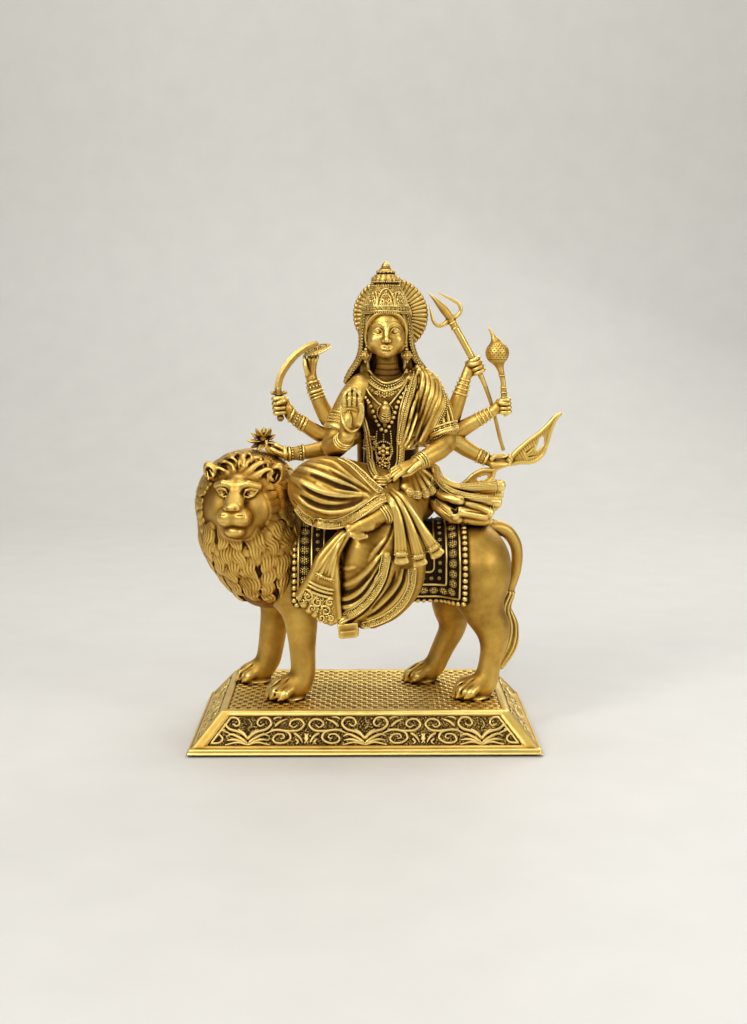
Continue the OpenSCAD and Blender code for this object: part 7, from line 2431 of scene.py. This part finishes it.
    # mace
    F = Field((60, -8, 160), (84, 12, 216), 0.27)
    F.chain([[74.8, 1.5, 167.6, 1.3], [74.4, 1.5, 172, 1.4], [73.8, 1.5, 177.6, 1.6], [73.4, 1.5, 183.6, 1.35], [72.4, 1.7, 189.4, 1.6], [71.2, 1.9, 193.4, 2.4]], 0.3)
    F.balls([[74.9, 1.5, 167.2, 1.55]], 0.5)
    F.balls([[70.2, 2, 199.4, 6.3]], 1.6)
    F.chain(curve([[69.6, 2, 204.4, 3.0], [68.4, 2, 207.4, 1.5], [67.2, 2, 210.2, 0.95], [65.7, 2, 212.4, 0.6]], 4), 1.2)
    c = np.array([70.2, 2, 199.4])
    t = np.linspace(0, 2 * np.pi, 60)
    for f in np.radians([-34, 38]):
        P = c + np.c_[6.3 * math.cos(f) * np.cos(t), 6.3 * math.cos(f) * np.sin(t), np.full(60, 6.3 * math.sin(f))]
        F.chain(np.c_[P, np.full(60, 0.2)], 0.2, True)
    for z, rr in ((176.0, 1.75), (178.6, 1.9), (181.2, 1.6), (187.6, 1.75)):
        x = np.interp(z, [163.6, 172, 183.6, 189.4], [75, 74.4, 73.4, 72.4])
        P = np.c_[x + rr * np.cos(t), 1.5 + rr * np.sin(t), np.full(60, z)]
        F.chain(np.c_[P, np.full(60, 0.35)], 0.25)
    g = []
    for f in range(-3, 5):
        ph = f * 0.2 + 0.03
        m = 18
        for k in range(m):
            a = (k + 0.5 * (f % 2)) * 2 * math.pi / m
            g.append([c[0] + 6.35 * math.cos(ph) * math.cos(a), c[1] + 6.35 * math.cos(ph) * math.sin(a), c[2] + 6.35 * math.sin(ph), 0.34])
    F.balls(g, 0.2, True)
    K = Kit()
    K.field(F, 0.6, 1.2, 1.6)
    K.out("mace_cast", POLISHED, "brass_polished", "mace")

    # bow: openwork leaf limbs, beaded spine
    F = Field((48, -5, 124), (110, 8, 172), 0.3)
    up = curve([[*at1(s3, u, v, y), r] for u, v, y, r in ((965, 1180, 0.8, 1.5), (1020, 1115, 1, 1.35), (1090, 1052, 1.4, 1.2), (1160, 1000, 1.8, 1.15), (1225, 940, 2.2, 1.2), (1262, 895, 2.5, 1.25), (1300, 872, 2.7, 0.95))], 5)
    dn = curve([[*at1(s3, u, v, y), r] for u, v, y, r in ((975, 1195, 0.8, 1.4), (1050, 1186, 1, 1.2), (1120, 1184, 1.4, 1.2), (1180, 1145, 1.8, 1.15), (1212, 1075, 2.1, 1.1), (1236, 990, 2.3, 1.15), (1262, 920, 2.5, 1.2), (1296, 878, 2.7, 0.9))], 5)
    F.chain(up, 0)
    F.chain(dn, 0.6)
    m = min(len(up), len(dn))
    iu, idn = np.linspace(0, len(up) - 1, 60).astype(int), np.linspace(0, len(dn) - 1, 60).astype(int)
    for a, b in zip(iu, idn):
        F.chain([[*up[a][:3], 0.75], [*dn[b][:3], 0.75]], 0.3)
    F.chain(curve([[*at1(s3, u, v, 1.9), r] for u, v, r in ((1150, 1100, 1.0), (1176, 1062, 1.5), (1186, 1030, 1.1))], 4), 0.2, True, m=3)
    F.chain([[*at1(s3, 1176, 1066, -3), 1.3], [*at1(s3, 1176, 1066, 7), 1.3]], 0.2, True)
    F.chain([[*at1(s3, 1176, 1040, -3), 1.0], [*at1(s3, 1176, 1040, 7), 1.0]], 0.2, True)
    for q in (((1085, 1120), (1130, 1085)), ((1195, 985), (1225, 945)), ((1100, 1150), (1150, 1140))):
        p = [[*at1(s3, *v, 0.6), 0.5] for v in q]
        F.chain(p, 0.3, True)
        p = [[*at1(s3, *v, 3.0), 0.5] for v in q]
        F.chain(p, 0.3, True)
    lu = curve([[*at1(s3, u, v, y), r] for u, v, y, r in ((975, 1185, 0.8, 1.5), (905, 1215, 0.6, 1.5), (862, 1238, 0.2, 1.5), (800, 1238, -0.4, 1.2), (740, 1266, -0.8, 1.1), (700, 1302, -1, 1.1), (662, 1330, -1.2, 0.7))], 5)
    ll = curve([[*at1(s3, u, v, y), r] for u, v, y, r in ((868, 1240, 0.2, 1.3), (862, 1290, -0.2, 1.2), (815, 1328, -0.6, 1.15), (750, 1338, -0.9, 1.1), (700, 1334, -1.1, 0.9), (656, 1332, -1.2, 0.6))], 5)
    F.chain(lu, 0.4)
    F.chain(ll, 0.4)
    for a, b in zip(np.linspace(12, len(lu) - 1, 40).astype(int), np.linspace(0, len(ll) - 1, 40).astype(int)):
        F.chain([[*lu[a][:3], 0.75], [*ll[b][:3], 0.75]], 0.3)
    for u, v, r in ((776, 1294, 1.0), (800, 1288, 1.15), (820, 1280, 0.9)):
        F.chain([[*at1(s3, u, v, -4), r], [*at1(s3, u, v, 4), r]], 0.15, True)
    K = Kit()
    K.field(F, 0.6, 1.2, 1.8)
    for c in (up, dn, lu[10:], ll):
        Q, T = even(c[:, :3], 1.15)
        X, Y, Z = axes(np.repeat([[0.1, -1.0, 0.2]], len(Q), 0), T)
        K.copies(BEAD_S, Q + Z * 0.95, X, Y, Z, 0.42)
    K.out("bow_cast", POLISHED, "brass_polished", "bow")


saddle(LB)
stole_tails()
props()
# ------------------------------------------------------------------ stage, light and camera
def stage():
    me = bpy.data.meshes.new("floor")
    # a floor that sweeps up into a wall
    prof = [(-2.2, 0.0), (0.75, 0.0)] + [(0.75 + 0.5 * math.sin(a), 0.5 - 0.5 * math.cos(a)) for a in np.linspace(0.08, math.pi / 2, 14)] + [(1.25, 2.6)]
    V, Fc = [], []
    for y, z in prof:
        V += [(-3.0, y, z - 0.0002), (3.0, y, z - 0.0002)]
    for i in range(len(prof) - 1):
        Fc.append((2 * i, 2 * i + 1, 2 * i + 3, 2 * i + 2))
    me.from_pydata(V, [], Fc)
    for p in me.polygons:
        p.use_smooth = True
    me.materials.append(FLOOR)
    o = bpy.data.objects.new("floor", me)
    bpy.context.scene.collection.objects.link(o)


def area(name, loc, at, size, power, col=(1, 1, 1)):
    d = bpy.data.lights.new(name, "AREA")
    d.shape = "RECTANGLE"
    d.size, d.size_y = size
    d.energy = power
    d.color = col
    o = bpy.data.objects.new(name, d)
    o.location = loc
    o.rotation_mode = "QUATERNION"
    o.rotation_quaternion = (Vector(at) - Vector(loc)).to_track_quat("-Z", "Y")
    bpy.context.scene.collection.objects.link(o)


stage()
area("key_left", (-0.7, -0.75, 0.8), (0, 0, 0.13), (0.3, 0.42), 5.4, (1, 0.98, 0.95))
area("front_top", (-0.2, -1.15, 0.8), (0, 0, 0.12), (0.9, 0.45), 4.2)
area("key_right", (0.85, -0.6, 0.5), (0, 0, 0.13), (0.26, 0.5), 3.2, (1, 0.99, 0.97))
area("top", (0.0, -0.1, 1.1), (0, 0, 0.1), (0.8, 0.5), 2.4)
area("wall_wash", (0.0, 0.35, 1.5), (0, 1.2, 0.35), (1.4, 0.3), 7.4)
area("rim", (0.5, 0.8, 0.7), (0, 0, 0.15), (0.6, 0.4), 2.4)

w = bpy.data.worlds.new("studio")
w.use_nodes = True
bpy.context.scene.world = w
nt = w.node_tree
bg = nt.nodes["Background"]
tc = _n(nt, "ShaderNodeTexCoord")
sp = _n(nt, "ShaderNodeSeparateXYZ")
nt.links.new(tc.outputs["Generated"], sp.inputs[0])
cr = _n(nt, "ShaderNodeValToRGB")
e = cr.color_ramp.elements
e[0].position, e[0].color = 0.42, (0.10, 0.09, 0.08, 1)
e[1].position, e[1].color = 0.8, (0.95, 0.96, 0.95, 1)
mr = _n(nt, "ShaderNodeMapRange")
mr.inputs[1].default_value, mr.inputs[2].default_value = -1.0, 1.0
nt.links.new(sp.outputs["Z"], mr.inputs[0])
nt.links.new(mr.outputs[0], cr.inputs[0])
nt.links.new(cr.outputs[0], bg.inputs[0])
bg.inputs[1].default_value = 0.34

cam = bpy.data.objects.new("camera", bpy.data.cameras.new("camera"))
bpy.context.scene.collection.objects.link(cam)
cam.data.sensor_width = 36.0
cam.data.lens = 48.60
cam.data.shift_x, cam.data.shift_y = -0.0021, -0.1042
cam.location = (0.00005, -0.72966, 0.21646)
cam.rotation_euler = (math.radians(90 - 3.5), 0, -0.0079)
cam.data.clip_start, cam.data.clip_end = 0.01, 50
bpy.context.scene.camera = cam
bpy.context.scene.view_settings.view_transform = "Standard"
